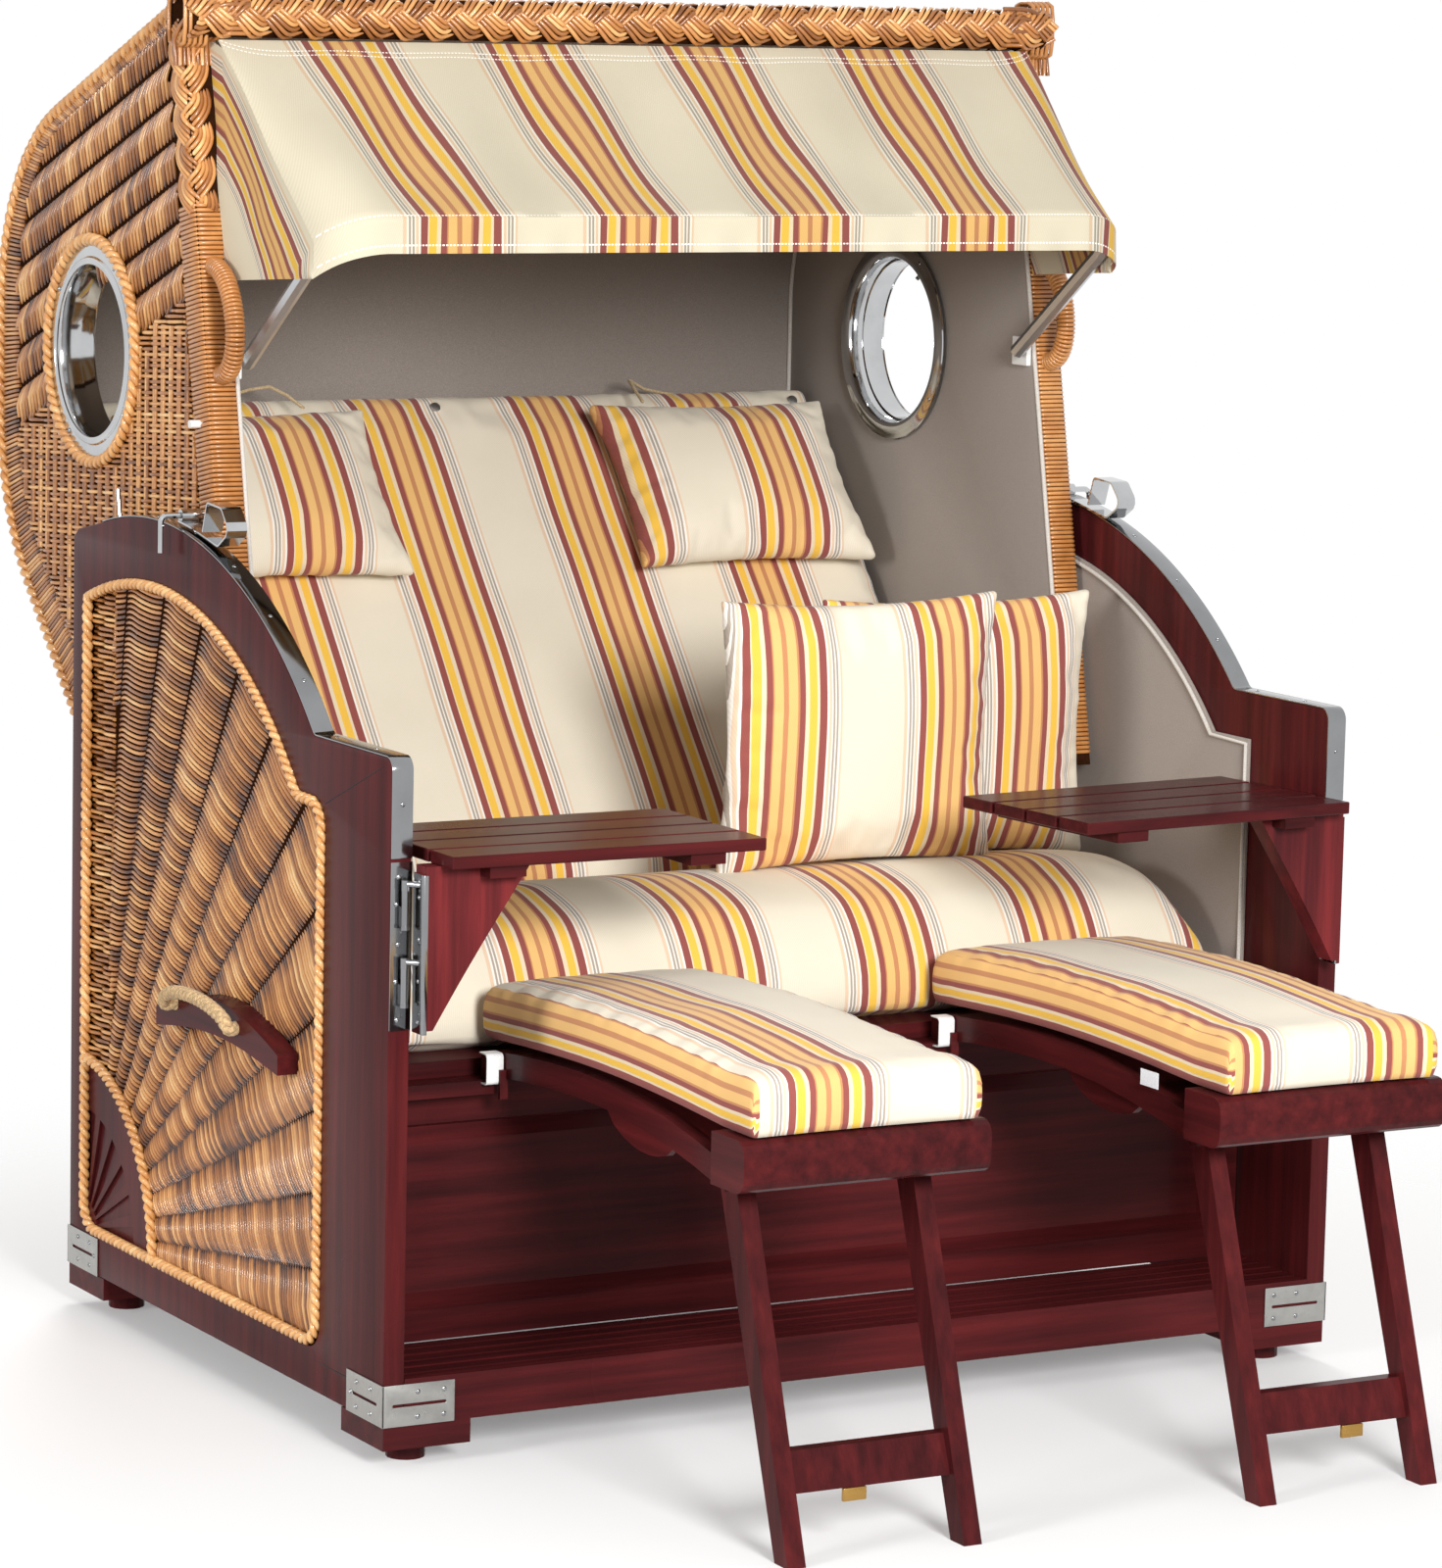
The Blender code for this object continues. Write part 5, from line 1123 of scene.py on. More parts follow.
class CHAIR_OT_side_frames(bpy.types.Operator):
    """Build the lacquered side frames"""
    bl_idname = "chair.side_frames"
    bl_label = "Side frames"

    def execute(self, context):
        outline = [(DEPTH, 0.049), (DEPTH, 0.944), (DEPTH - 0.014, 0.955)] + frame_edge()
        outline.append((0, 0.049))
        frame = board([outline, window_outline()], SIDE_THICK, side_plane(SIDE_MIDDLE), 0.0016, 3)
        rail = block((0.600, 0.158, 0.327), (0.611, 0.878, 0.397), 0)
        pair("side_frame_wood", joined([frame, rail]), "wood_z", "chair",
             ["side_frame"])
        groove = []
        for run in ([(0.0, 0.0845), (0.168, 0.0845)], [(0.848, 0.0845), (0.888, 0.0845)],
                    [(0.028, 0.775), (0.168, 0.717)]):
            groove.append([(y, z, 0.0) for y, z in run])
        seams = strands(groove, 0.0006, 4, [0.5] * 3)
        seams.transform(side_plane(0.6250))
        pair("frame_joints", seams, "black", "chair")
        return {"FINISHED"}


def slot_outline(centre, length, width, turn=0.0):
    """Return the outline of a slot with round ends."""
    half = length / 2 - width / 2
    points = (arc((half, 0), width / 2, -math.pi / 2, math.pi / 2, 6)
              + arc((-half, 0), width / 2, math.pi / 2, 3 * math.pi / 2, 6))
    cos, sin = math.cos(turn), math.sin(turn)
    return [(centre[0] + u * cos - v * sin, centre[1] + u * sin + v * cos) for u, v in points]


def box_outline(low, high):
    """Return a rectangle's corners in order."""
    return [low, (high[0], low[1]), high, (low[0], high[1])]


class CHAIR_OT_brackets(bpy.types.Operator):
    """Build the slotted steel corner brackets with their screws"""
    bl_idname = "chair.brackets"
    bl_label = "Corner brackets"

    def execute(self, context):
        z_low, z_high, thick = 0.0487, 0.0957, 0.0017
        middle = (z_low + z_high) / 2
        for name, front in (("front", True), ("rear", False)):
            face = -0.0003 if front else DEPTH + 0.0003
            out = -1 if front else 1
            y_low, y_high = sorted((face + out * thick, face - out * 0.0913))
            slot = slot_outline(((y_low + y_high) / 2, middle), 0.062, 0.0034)
            side = board([box_outline((y_low, z_low), (y_high, z_high)), slot], thick,
                         side_plane(SIDE_FACE + thick / 2), 0.0003, 1)
            slot = slot_outline((0.582, middle), 0.066, 0.0034)
            end = board([box_outline((0.539, z_low), (SIDE_FACE + thick, z_high)), slot], thick,
                        front_plane(face + out * thick / 2), 0.0003, 1)
            pair("bracket_" + name, joined([side, end]), "brushed", "chair",
                 ["corner_bracket_" + name])
            spots = [((SIDE_FACE + thick, face - out * y, middle + z), (1, 0, 0))
                     for y, z in ((0.030, 0.014), (0.066, 0.014), (0.030, -0.014),
                                  (0.066, -0.014), (0.080, 0.0))]
            spots += [((x, face + out * thick, middle + z), (0, out, 0))
                      for z in (0.014, -0.014) for x in (0.552, 0.584)]
            screws("bracket_screws_" + name, spots, "chair", 0.0030, 0.0013)
        return {"FINISHED"}


class CHAIR_OT_edge_strips(bpy.types.Operator):
    """Build the polished strips along the frames' upper edges, with screws and stop pins"""
    bl_idname = "chair.edge_strips"
    bl_label = "Edge strips"

    def execute(self, context):
        run = frame_edge()
        outline = shifted(run, -0.0003) + shifted(run, -0.0018)[::-1]
        strip = board([outline], SIDE_THICK, side_plane(SIDE_MIDDLE), 0.0002, 1)
        angle = math.acos(0.121 / ARC_RADIUS)
        out = Vector((math.cos(angle), math.sin(angle)))
        foot, tip = PIVOT + out * (ARC_RADIUS + 0.001), PIVOT + out * (ARC_RADIUS + 0.0363)
        pin = strands([[(SIDE_MIDDLE, *foot.lerp(tip, share)) for share in (0, 0.5, 1)]],
                      0.003, 14, finish="steel")
        pair("edge_strip_steel", joined([strip, pin]), "steel", "chair",
             ["edge_strip"], 40)
        at = walker(run)
        spots = []
        for distance in (0.03, 0.14, 0.25, 0.36, 0.47, 0.58, 0.69, 0.79, 0.90, 1.02, 1.075):
            if distance < at.length:
                place, way = at(distance)
                normal = Vector((way.y, -way.x))
                spots.append(((SIDE_MIDDLE, *(place + normal * 0.0018)), (0, *normal)))
        screws("strip_screws", spots, "chair", 0.0027, 0.0011)
        return {"FINISHED"}


class CHAIR_OT_linings(bpy.types.Operator):
    """Build the taupe cloth linings with their pale piping"""
    bl_idname = "chair.linings"
    bl_label = "Linings"

    def execute(self, context):
        start = math.acos((WINDOW_REAR + 0.012 - PIVOT.x) / (WINDOW_RADIUS + 0.012))
        end = math.pi - math.asin((WINDOW_HIGH + 0.012 - PIVOT.y) / (WINDOW_RADIUS + 0.012))
        outline = [(0.156, 0.086), (0.156, 0.734)]
        outline += arc(PIVOT, WINDOW_RADIUS + 0.012, end, start, 40) + [(0.860, 0.086)]
        hole = arc(PIVOT, 0.0083, 0, 2 * math.pi, 16)[:-1]
        side = board([outline, hole], 0.004, side_plane(0.5977), 0.001, 2)
        pair("side_lining_cloth", side, "lining", "chair", ["side_lining"])

        profile = hood_profile()
        inner = shifted(profile, -0.0194)
        hole = arc(PORTHOLE, 0.1068, 0, 2 * math.pi, 48)[:-1]
        roof = shifted(profile, -0.0154)
        wall = [(hood_front(0.661) + 0.001, 0.661), (hood_front(1.547) + 0.001, 1.547),
                (hood_front(1.547) + 0.0455, 1.547)]
        wall += [p for p in roof if p[0] > 0.70] + [(0.9, 0.661)]
        wall = board([wall, hole], 0.004, side_plane(WALL_MIDDLE), 0.0008, 1)
        cover = board([roof + inner[::-1]], 1.0915, side_plane(0), 0.0008, 1)
        piece("hood_lining_cloth", joined([wall, mirrored(wall), cover]), "lining", "hood",
              ["hood_lining"])
        corner = shifted(profile, -0.0215)
        runs = [[(0.5435, y, z) for y, z in corner]]
        runs.append([(0.5475, hood_front(z) - 0.001, z) for z in (0.665, 0.9, 1.2, 1.546)])
        pair("lining_piping", strands(runs, 0.0028, 8, finish="piping"), "piping", "hood")
        edge = [(0.5945, y, z) for y, z in arc(PIVOT, WINDOW_RADIUS + 0.006, end, start, 40)]
        edge = [(0.5945, 0.160, 0.40), (0.5945, 0.160, 0.728)] + edge
        pair("side_piping", strands([edge], 0.0026, 8, finish="piping"), "piping", "chair")
        return {"FINISHED"}


class CHAIR_OT_portholes(bpy.types.Operator):
    """Build the portholes' flanges, sleeves and screws"""
    bl_idname = "chair.portholes"
    bl_label = "Portholes"

    def execute(self, context):
        place = Matrix.Translation((0, *PORTHOLE)) @ side_plane(0)
        face, middle, bore = 0.5853, 0.5628, 0.104
        outer = [(bore, middle - 0.005), (bore, face - 0.001), (bore + 0.0015, face + 0.0022)]
        bead = 0.0042
        outer += [(0.1085 + bead * math.sin(a), face + 0.0028 + bead * (1 - math.cos(a)) * 0.55)
                  for a in (math.pi * i / 8 - math.pi / 2 for i in range(1, 9))]
        outer += [(0.1145, face + 0.0026), (0.1280, face + 0.0026), (0.1298, face + 0.0020),
                  (0.1300, face), (bore + 0.0022, face), (bore + 0.0022, middle - 0.005)]
        pair("porthole_outer_ring", turned(outer, place, 96), "chrome", "hood",
             ["porthole_outer"])
        face, bore = 0.5403, 0.1065
        inner = [(bore, middle + 0.005), (bore, face + 0.001), (bore + 0.002, face - 0.0025),
                 (0.113, face - 0.0045), (0.119, face - 0.0052), (0.124, face - 0.0030),
                 (0.1290, face - 0.0024), (0.1300, face - 0.0012), (0.1300, face),
                 (bore + 0.0022, face), (bore + 0.0022, middle + 0.005)]
        pair("porthole_inner_ring", turned(inner, place, 96), "chrome", "hood",
             ["porthole_inner"])
        spots = []
        for turn in (0.6, 2.15, 3.75, 5.3):
            y, z = PORTHOLE.x + 0.1225 * math.cos(turn), PORTHOLE.y + 0.1225 * math.sin(turn)
            spots += [((0.5879, y, z), (1, 0, 0)), ((0.5379, y, z), (-1, 0, 0))]
        screws("porthole_screws", spots, "hood", 0.0034, 0.0018)
        return {"FINISHED"}


def wave(share):
    """Return 0 on whole numbers and 1 half-way between them, in straight slopes."""
    return 1 - abs(2 * (share % 1) - 1)


def fan_ground(y, z):
    """Depth of the side panel's ridged face below its highest points."""
    spot = Vector((WINDOW_REAR - y, z - WINDOW_LOW))
    share = math.atan2(spot.x, max(spot.y, 0.0001)) / (math.pi / 2)
    return -0.0003 - 0.0050 * spot.length * (1 - wave(share * 12))


ROOF_START = Vector((0.7154, 1.572))
ROOF_ALONG = Vector((1, -0.371)).normalized()
ROOF_DOWN = Vector((ROOF_ALONG.y, -ROOF_ALONG.x))
BAND_WIDTH = 0.047
HOOD_BANDS = 7


def hood_ground(y, z):
    """Depth of the hood wall's ridged face below its plain part."""
    depth = (Vector((y, z)) - ROOF_START).dot(ROOF_DOWN)
    if depth > BAND_WIDTH * HOOD_BANDS:
        return 0.0
    return -0.0003 - 0.0040 * (1 - wave(max(0, depth) / BAND_WIDTH))


def fan_canes(pitch, radius, bands, centre, check_edge, outline):
    """Lay the side panel's canes in rings, each ray of them half a pitch from the next."""
    runs = []
    for ring in range(int((0.93 - FAN_RADIUS) / pitch)):
        for band in range(bands):
            reach = FAN_RADIUS + pitch * (ring + 0.5 + (0.5 if band % 2 else 0.0))
            start = math.pi / 2 * (1 + band / bands)
            end = math.pi / 2 * (1 + (band + 1) / bands)
            length = reach * (end - start)
            steps = max(7, min(14, int(length / 0.008)))
            run = []
            for i in range(steps + 1):
                t = i / steps
                turn = start + (end - start) * (t * 1.06 - 0.03)
                lean = 2 * t - 1
                swing = (0.25 * lean + 0.75 * lean ** 3) * min(0.011, length * 0.16)
                r = reach + swing
                y = centre.x + r * math.cos(turn)
                z = centre.y + r * math.sin(turn)
                tuck = math.sin(math.pi * min(1, max(0, t))) ** 0.5
                if y < check_edge:
                    # The fourth value darkens the strand's ends where it tucks under the next
                    # band: painted shade.
                    run.append((y, z, fan_ground(y, z) + radius * (2.0 * tuck - 2.0),
                                0.9 * (1 - tuck)))
                elif len(run) >= 3:
                    break
                else:
                    run = []
            runs += cut_runs(run, outline)
    return runs


def fan_check(pitch, radius, check_edge, outline):
    """Weave the plain strip at the side panel's rear edge."""
    runs = []
    level, row = WINDOW_LOW + FAN_RADIUS * 0.8, 0
    while level < 0.90:
        run = []
        for i in range(14):
            y = check_edge - 0.004 + 0.0745 * i / 13
            phase = math.pi * (y - check_edge) / CHECK_PITCH
            run.append((y, level, fan_ground(y, level) + basket(radius, phase, row)))
        if level > WINDOW_LOW + FAN_RADIUS:
            runs += cut_runs(run, outline)
        level += pitch
        row += 1
    return runs


class CHAIR_OT_fan_weave(bpy.types.Operator):
    """Weave the sunburst panels of both sides"""
    bl_idname = "chair.fan_weave"
    bl_label = "Sunburst weave"

    def execute(self, context):
        weave = context.scene.chair_weave
        pitch, radius = weave.pitch, weave.radius
        outline = window_outline(0.004)
        centre = Vector((WINDOW_REAR, WINDOW_LOW))
        check_edge = WINDOW_REAR - 0.070
        base = 0.6215
        runs = (fan_canes(pitch, radius, weave.bands, centre, check_edge, outline)
                + fan_check(pitch, radius, check_edge, outline))
        mesh = strands(runs, radius, weave.sides)
        mesh.transform(side_plane(base))
        pair("fan_weave", mesh, "cane", "chair", ["wicker_panel"])
        # A dark sheet of painted shade behind the canes, for the shade in their gaps.
        back = board([window_outline(0.0004)], 0.005, side_plane(0.6140), 0.0004, 1)
        pair("fan_backing", back, "cane_backing", "chair")
        border = twisted(window_outline(0.006) + window_outline(0.006)[:1], 0.0034, 0.024, 0.004,
                         closed=True)
        sweep = arc(centre, FAN_RADIUS + 0.005, math.pi / 2, math.pi, 30)
        border_mesh = strands(border, 0.0036, 8, [0.75, 0.9], closed=True)
        fan_mesh = strands(twisted(sweep, 0.0034, 0.024, 0.004), 0.0036, 8, [0.75, 0.9])
        whole = joined([border_mesh, fan_mesh])
        whole.transform(side_plane(base))
        pair("fan_border", whole, "cane", "chair")
        return {"FINISHED"}


def hood_front(z):
    """Return how far back the front of the hood's leaning posts is at a height."""
    return 0.576 + 0.2 * (z - 1.1)


def hood_profile():
    """Return a flat run of (y, z) over the hood: roof front, crown, back, lower back."""
    corners = [(0.700, 1.5777, 0), (1.222, 1.384, 0.27), (1.222, 0.951, 0.30), (0.920, 0.664, 0)]
    return rounded(corners, closed=False, steps=16)


def hood_border():
    """The hood's edge and the line where its rear border of short canes begins."""
    edge = hood_profile()
    deep = shifted(edge, -0.052)
    line, gone = [], 0.0
    for index, (spot, inner) in enumerate(zip(edge, deep)):
        if index:
            gone += (Vector(spot) - Vector(edge[index - 1])).length
        share = min(1, max(0, (gone - 0.34) / 0.35))
        line.append(tuple(Vector(spot).lerp(Vector(inner), 0.26 + 0.74 * share)))
    return edge, line


def hood_side_outline(inset=0.0, border=False):
    """Return the outline of the hood's side wall, with or without its border of canes."""
    profile = hood_profile()
    if border:
        profile = hood_border()[1]
    elif inset:
        profile = shifted(profile, -inset)
    low = 0.664
    front = [(hood_front(z) + POST_DEPTH + inset, z + lift)
             for z, lift in ((low, inset), (1.545, 0))]
    return profile + [(PIVOT.x + 0.12, low + inset)] + front


def basket(radius, phase, row):
    """Return the height of a strand over and under its stakes, at a phase along its row."""
    return radius * (0.9 * math.sin(phase + math.pi * (row // 2 % 2)) - 0.7)


def hood_bands(pitch, radius, outline):
    """Lay the canes of the broad bands that run parallel to the roof."""
    runs = []
    for band in range(HOOD_BANDS):
        offset = pitch / 2 if band % 2 else 0
        distance = -0.25
        while distance < 0.75:
            run = []
            for i in range(9):
                t = i / 8
                lean = 2 * t - 1
                spot = (ROOF_START + ROOF_ALONG * (distance + offset
                                                   + (0.6 * lean + 0.4 * lean ** 3) * 0.019)
                        + ROOF_DOWN * (band + t) * BAND_WIDTH)
                tuck = math.sin(math.pi * t) ** 0.5
                lift = hood_ground(spot.x, spot.y) + radius * (2.4 * tuck - 2.3)
                # The fourth value darkens the strand's ends where it tucks under the next band:
                # painted shade.
                run.append((spot.x, spot.y, lift, 0.9 * (1 - tuck)))
            runs += [part for part in cut_runs(run, outline)
                     if (Vector(part[0][:2]) - PORTHOLE).length > 0.135]
            distance += pitch * 1.52
    return runs


def hood_check(pitch, radius, outline):
    """Weave the plain part below the bands: its rows, then its pairs of stakes."""
    def free(spot):
        spot = Vector(spot[:2])
        return ((spot - ROOF_START).dot(ROOF_DOWN) > HOOD_BANDS * BAND_WIDTH
                and (spot - PORTHOLE).length > 0.128)

    runs = []
    level, row = 0.672, 0
    while level < 1.5:
        run = []
        y = 0.55
        while y < 1.25:
            spot = Vector((y, level + (0.9 - y) * 0.06))
            if free(spot):
                run.append((spot.x, spot.y, basket(radius, math.pi * y / CHECK_PITCH, row)))
            else:
                runs += cut_runs(run, outline)
                run = []
            y += CHECK_PITCH / 4
        runs += cut_runs(run, outline)
        level += pitch * 0.98
        row += 1
    for i in range(36):
        for part in (-0.0026, 0.0026):
            y = CHECK_PITCH * (i + 0.5 + 23) + part
            run = [(y, 0.67 + 0.03 * j, -radius * 0.55) for j in range(24)]
            runs += cut_runs([p for p in run if free(p)], outline)
    return runs


def border_canes(radius):
    """Lay the short canes along the hood's edge."""
    edge, line = (walker(run) for run in hood_border())
    count = int(edge.length / 0.0058)
    runs = []
    for k in range(count):
        (outer, _), (inner, _) = edge(edge.length * k / count), line(line.length * k / count)
        run = [outer.lerp(inner, i / 6 * 1.06) for i in range(7)]
        # The ends, sunk under their neighbours, get a darker tone: painted shade.
        runs.append([(*spot, -radius * (0.6 if 0 < i < 6 else 1.6), 0.1 if 0 < i < 6 else 0.6)
                     for i, spot in enumerate(run)])
    return runs


def hood_rows(at, first, last, pitch, radius):
    """Weave rows across the hood between two distances along its profile."""
    runs = []
    distance = first + pitch / 2 - (0.068 if first == 0 else 0)
    row = 0
    steps = int(HOOD_HALF * 2 / 0.0118)
    while distance < last:
        place, way = at(max(0, distance))
        if distance < 0:
            place = Vector((BEAM_FRONT + BEAM_DEPTH + min(0, distance + 0.014),
                            BEAM_HIGH - 0.001 - max(0, distance + 0.014)))
        normal = Vector((-way.y, way.x))
        if normal.dot(place - Vector((0.7, 0.9))) < 0:
            normal = -normal
        run = []
        for i in range(steps + 1):
            spot = place + normal * basket(radius, math.pi * i / 2, row)
            run.append((-HOOD_HALF + HOOD_HALF * 2 * i / steps, spot.x, spot.y))
        runs.append(run)
        distance += pitch * 1.15
        row += 1
    return runs


class CHAIR_OT_hood_weave(bpy.types.Operator):
    """Weave the hood's sides, roof and back"""
    bl_idname = "chair.hood_weave"
    bl_label = "Hood weave"

    def execute(self, context):
        weave = context.scene.chair_weave
        pitch, radius = weave.pitch, weave.radius
        outline = hood_side_outline(0.003, True)
        bands = strands(hood_bands(pitch, radius, outline), radius * 1.12, weave.sides)
        plain = hood_check(pitch, radius, outline) + border_canes(radius)
        mesh = joined([bands, strands(plain, radius, weave.sides)])
        mesh.transform(side_plane(HOOD_HALF))
        pair("hood_weave", mesh, "cane", "hood")
        hole = arc(PORTHOLE, 0.107, 0, 2 * math.pi, 48)[:-1]
        # A dark sheet of painted shade behind the wall's canes, for the shade in their gaps.
        wall = board([hood_side_outline(0.005), hole], 0.007, side_plane(0.5765), 0.0004, 1)
        pair("wall_backing", wall, "cane_backing", "hood")
        run = hood_profile()
        # The roof's dark sheet is painted shade too, behind its canes.
        cover = board([shifted(run, -0.0045) + shifted(run, -0.012)[::-1]], 1.160, side_plane(0),
                      0.0004, 1)
        piece("roof_backing", cover, "cane_backing", "hood", ["hood_shell"])

        at = walker(hood_profile())
        for name, first, last in (("roof_weave", 0.0, 0.62), ("back_weave", 0.62, at.length)):
            piece(name, strands(hood_rows(at, first, last, pitch, radius), radius, 5), "cane",
                  "hood")
        edge = twisted(hood_profile(), 0.0042, 0.030, 0.0)
        mesh = strands(edge, 0.0044, 8, [0.7, 0.85])
        mesh.transform(side_plane(HOOD_HALF - 0.002))
        pair("hood_edge", mesh, "cane", "hood")
        ring = twisted(arc(PORTHOLE, 0.135, 0, 2 * math.pi, 60), 0.0040, 0.026, 0.003, closed=True)
        mesh = strands(ring, 0.0042, 8, [0.75, 0.9], closed=True)
        mesh.transform(side_plane(HOOD_HALF))
        pair("porthole_ring", mesh, "cane", "hood")
        return {"FINISHED"}


class CHAIR_OT_post_wraps(bpy.types.Operator):
    """Wrap the hood's posts in cane"""
    bl_idname = "chair.post_wraps"
    bl_label = "Post wraps and braid"

    def execute(self, context):
        half_x, half_y = POST_THICK / 2 + 0.001, POST_DEPTH / 2 + 0.001
        ends = [Vector((POST_X, hood_front(z) + POST_DEPTH / 2, z)) for z in (0.672, 1.350)]
        corners = [(u, v, 0.006) for u, v in box_outline((-half_x, -half_y), (half_x, half_y))]
        ring = [(u, v, 0) for u, v in rounded(corners, steps=2)]
        pair("post_wrap", wraps(ends, ring, 0.0055, 0.0026), "cane", "hood")
        return {"FINISHED"}


def grid_cushion(across, along, shape, place):
    """Build a closed pad from a grid of spots on its two faces.

    The shape gives a half thickness for shares of width and length, and the place maps
    (share across, share along, height) to the chair.
    """
    points, faces = [], []
    for side in (1, -1):
        for j in range(along + 1):
            for i in range(across + 1):
                u, v = i / across, j / along
                points.append(place(u, v, side * shape(u, v)))
    size = (across + 1) * (along + 1)
    for side in range(2):
        for j in range(along):
            for i in range(across):
                a = side * size + j * (across + 1) + i
                quad = (a, a + 1, a + across + 2, a + across + 1)
                faces.append(quad if side == 0 else quad[::-1])
    border = ([(i, 0) for i in range(across)] + [(across, j) for j in range(along)]
              + [(i, along) for i in range(across, 0, -1)] + [(0, j) for j in range(along, 0, -1)])
    for (i, j), (k, l) in zip(border, border[1:] + border[:1]):
        a = j * (across + 1) + i
        b = l * (across + 1) + k
        faces.append((b, a, a + size, b + size))
    return points, faces


def striped_pad(points, faces, coordinate, boxing=None):
    """Make the pad's mesh and lay the cloth's coordinates over it, its boxing apart."""
    mesh = mesh_of("pad", points, faces)
    layer = mesh.uv_layers.new(name="cloth")
    for face in mesh.polygons:
        lay = boxing if boxing and abs(face.center.x) > 0.1315 else coordinate
        for loop in face.loop_indices:
            layer.data[loop].uv = lay(Vector(mesh.vertices[mesh.loops[loop].vertex_index].co))
    return mesh


def plait_runs(s_length, period, wide, high, canes, radius, place):
    """Plait three plies of parallel canes along a strip, and place each point.

    The place maps (distance along, share across from -1 to 1, lift) to the chair.
    """
    runs, tones = [], []
    steps = int(s_length / period * 26)
    rng = random.Random(11)
    for ply in range(3):
        for cane_at in range(canes):
            offset = (cane_at - (canes - 1) / 2) * radius * 1.9
            run = []
            for i in range(steps + 1):
                s = s_length * i / steps
                turn = 2 * math.pi * (s / period + ply / 3)
                slope = wide * math.cos(turn) * 2 * math.pi / period
                size = math.hypot(1, slope)
                w = wide * math.sin(turn) + offset / size
                along = s - offset * slope / size
                lift = high * math.sin(2 * turn)
                run.append(place(along, w / wide, lift))
            runs.append(run)
            tones.append(rng.random())
    return runs, tones


def round_box(turn, half_u, half_v, lift):
    """Spot on a well rounded rectangle, lifted off it, in a given direction."""
    u, v = math.cos(turn), math.sin(turn)
    size = (abs(u) ** 5 + abs(v) ** 5) ** -0.2
    return u * size * (half_u + lift), v * size * (half_v + lift)


def plaited_post():
    """Plait round the upper part of the right post."""
    low, high = 1.352, 1.560

    def place(along, share, lift):
        z = low + along
        u, v = round_box(math.radians(-45 + 45 * share), POST_THICK / 2 - 0.001,
                         POST_DEPTH / 2 - 0.001, lift + 0.002)
        return (POST_X + u, hood_front(z) + POST_DEPTH / 2 + v, z)
    return plait_runs(high - low, 0.118, 0.020, 0.0034, 5, 0.0030, place)


def plaited_beam():
    """Plait along the front beam."""
    def place(along, share, lift):
        v, w = round_box(math.radians(168 - 44 * share), 0.030, BEAM_HALF - 0.003, lift + 0.001)
        return (-HOOD_HALF + along, BEAM_FRONT + 0.031 + v, BEAM_MIDDLE + w)
    return plait_runs(HOOD_HALF * 2, 0.118, 0.021, 0.0036, 5, 0.0031, place)


def corner_runs():
    """Canes that bend from the beam's end down the right post."""
    runs = []
    for k in range(9):
        reach = 0.010 + 0.0056 * k
        run = []
        for i in range(15):
            share = i / 14
            turn = math.pi / 2 * (1 - share)
            x = 0.541 + reach * math.cos(turn) + (share - 0.5) * 0.004
            z = 1.543 + reach * math.sin(turn)
            y = BEAM_FRONT - 0.001 + (hood_front(z) - BEAM_FRONT - 0.004) * share ** 1.5
            swell = 0.004 * math.sin(math.pi * share) + 0.0022 * math.sin(k * 2.4 + share * 4)
            run.append((x, y - swell, z))
        run.append((run[-1][0], hood_front(1.515) - 0.003, 1.515))
        run.insert(0, (0.515, BEAM_FRONT + 0.001, run[0][2]))
        runs.append(run)
    return runs


class CHAIR_OT_rim_plaits(bpy.types.Operator):
    """Plait the hood's front beam and post heads, and wrap the carrying loops"""
    bl_idname = "chair.rim_plaits"
    bl_label = "Rim plaits"

    def execute(self, context):
        runs, tones = plaited_beam()
        piece("beam_plait", strands(runs, 0.0027, 8, tones), "cane", "hood")
        runs, tones = plaited_post()
        pair("post_plait", strands(runs, 0.0027, 8, tones), "cane", "hood")
        ring = [(*round_box(math.pi * i / 8, BEAM_HALF, 0.034, 0.0), 0) for i in range(16)]
        end = wraps([Vector((x, BEAM_FRONT + 0.032, BEAM_MIDDLE)) for x in (0.566, 0.593)],
                    ring, 0.0056, 0.0028)
        pair("beam_end", end, "cane", "hood")
        pair("corner_canes", strands(corner_runs(), 0.0027, 8), "cane", "hood")
        path = []
        for i in range(25):
            turn = math.pi * i / 24
            z = 1.222 + 0.063 * math.cos(turn)
            path.append((POST_X, hood_front(z) + 0.015 - 0.065 * math.sin(turn) ** 0.7, z))
        ring = [(0.0098 * math.cos(a), 0.0098 * math.sin(a), 0)
                for a in (2 * math.pi * i / 12 for i in range(12))]
        pair("carry_loop", wraps(smooth_run(path, 3), ring, 0.0047, 0.0025), "cane", "hood")
        return {"FINISHED"}


def wrinkle(spot, scale, seed):
    """Return soft noise at a flat place."""
    return noise.noise(Vector((spot[0] * scale, spot[1] * scale, seed * 7.3)))


CLOTH_FRAMES = 16
CLOTH_STIFFNESS = 12


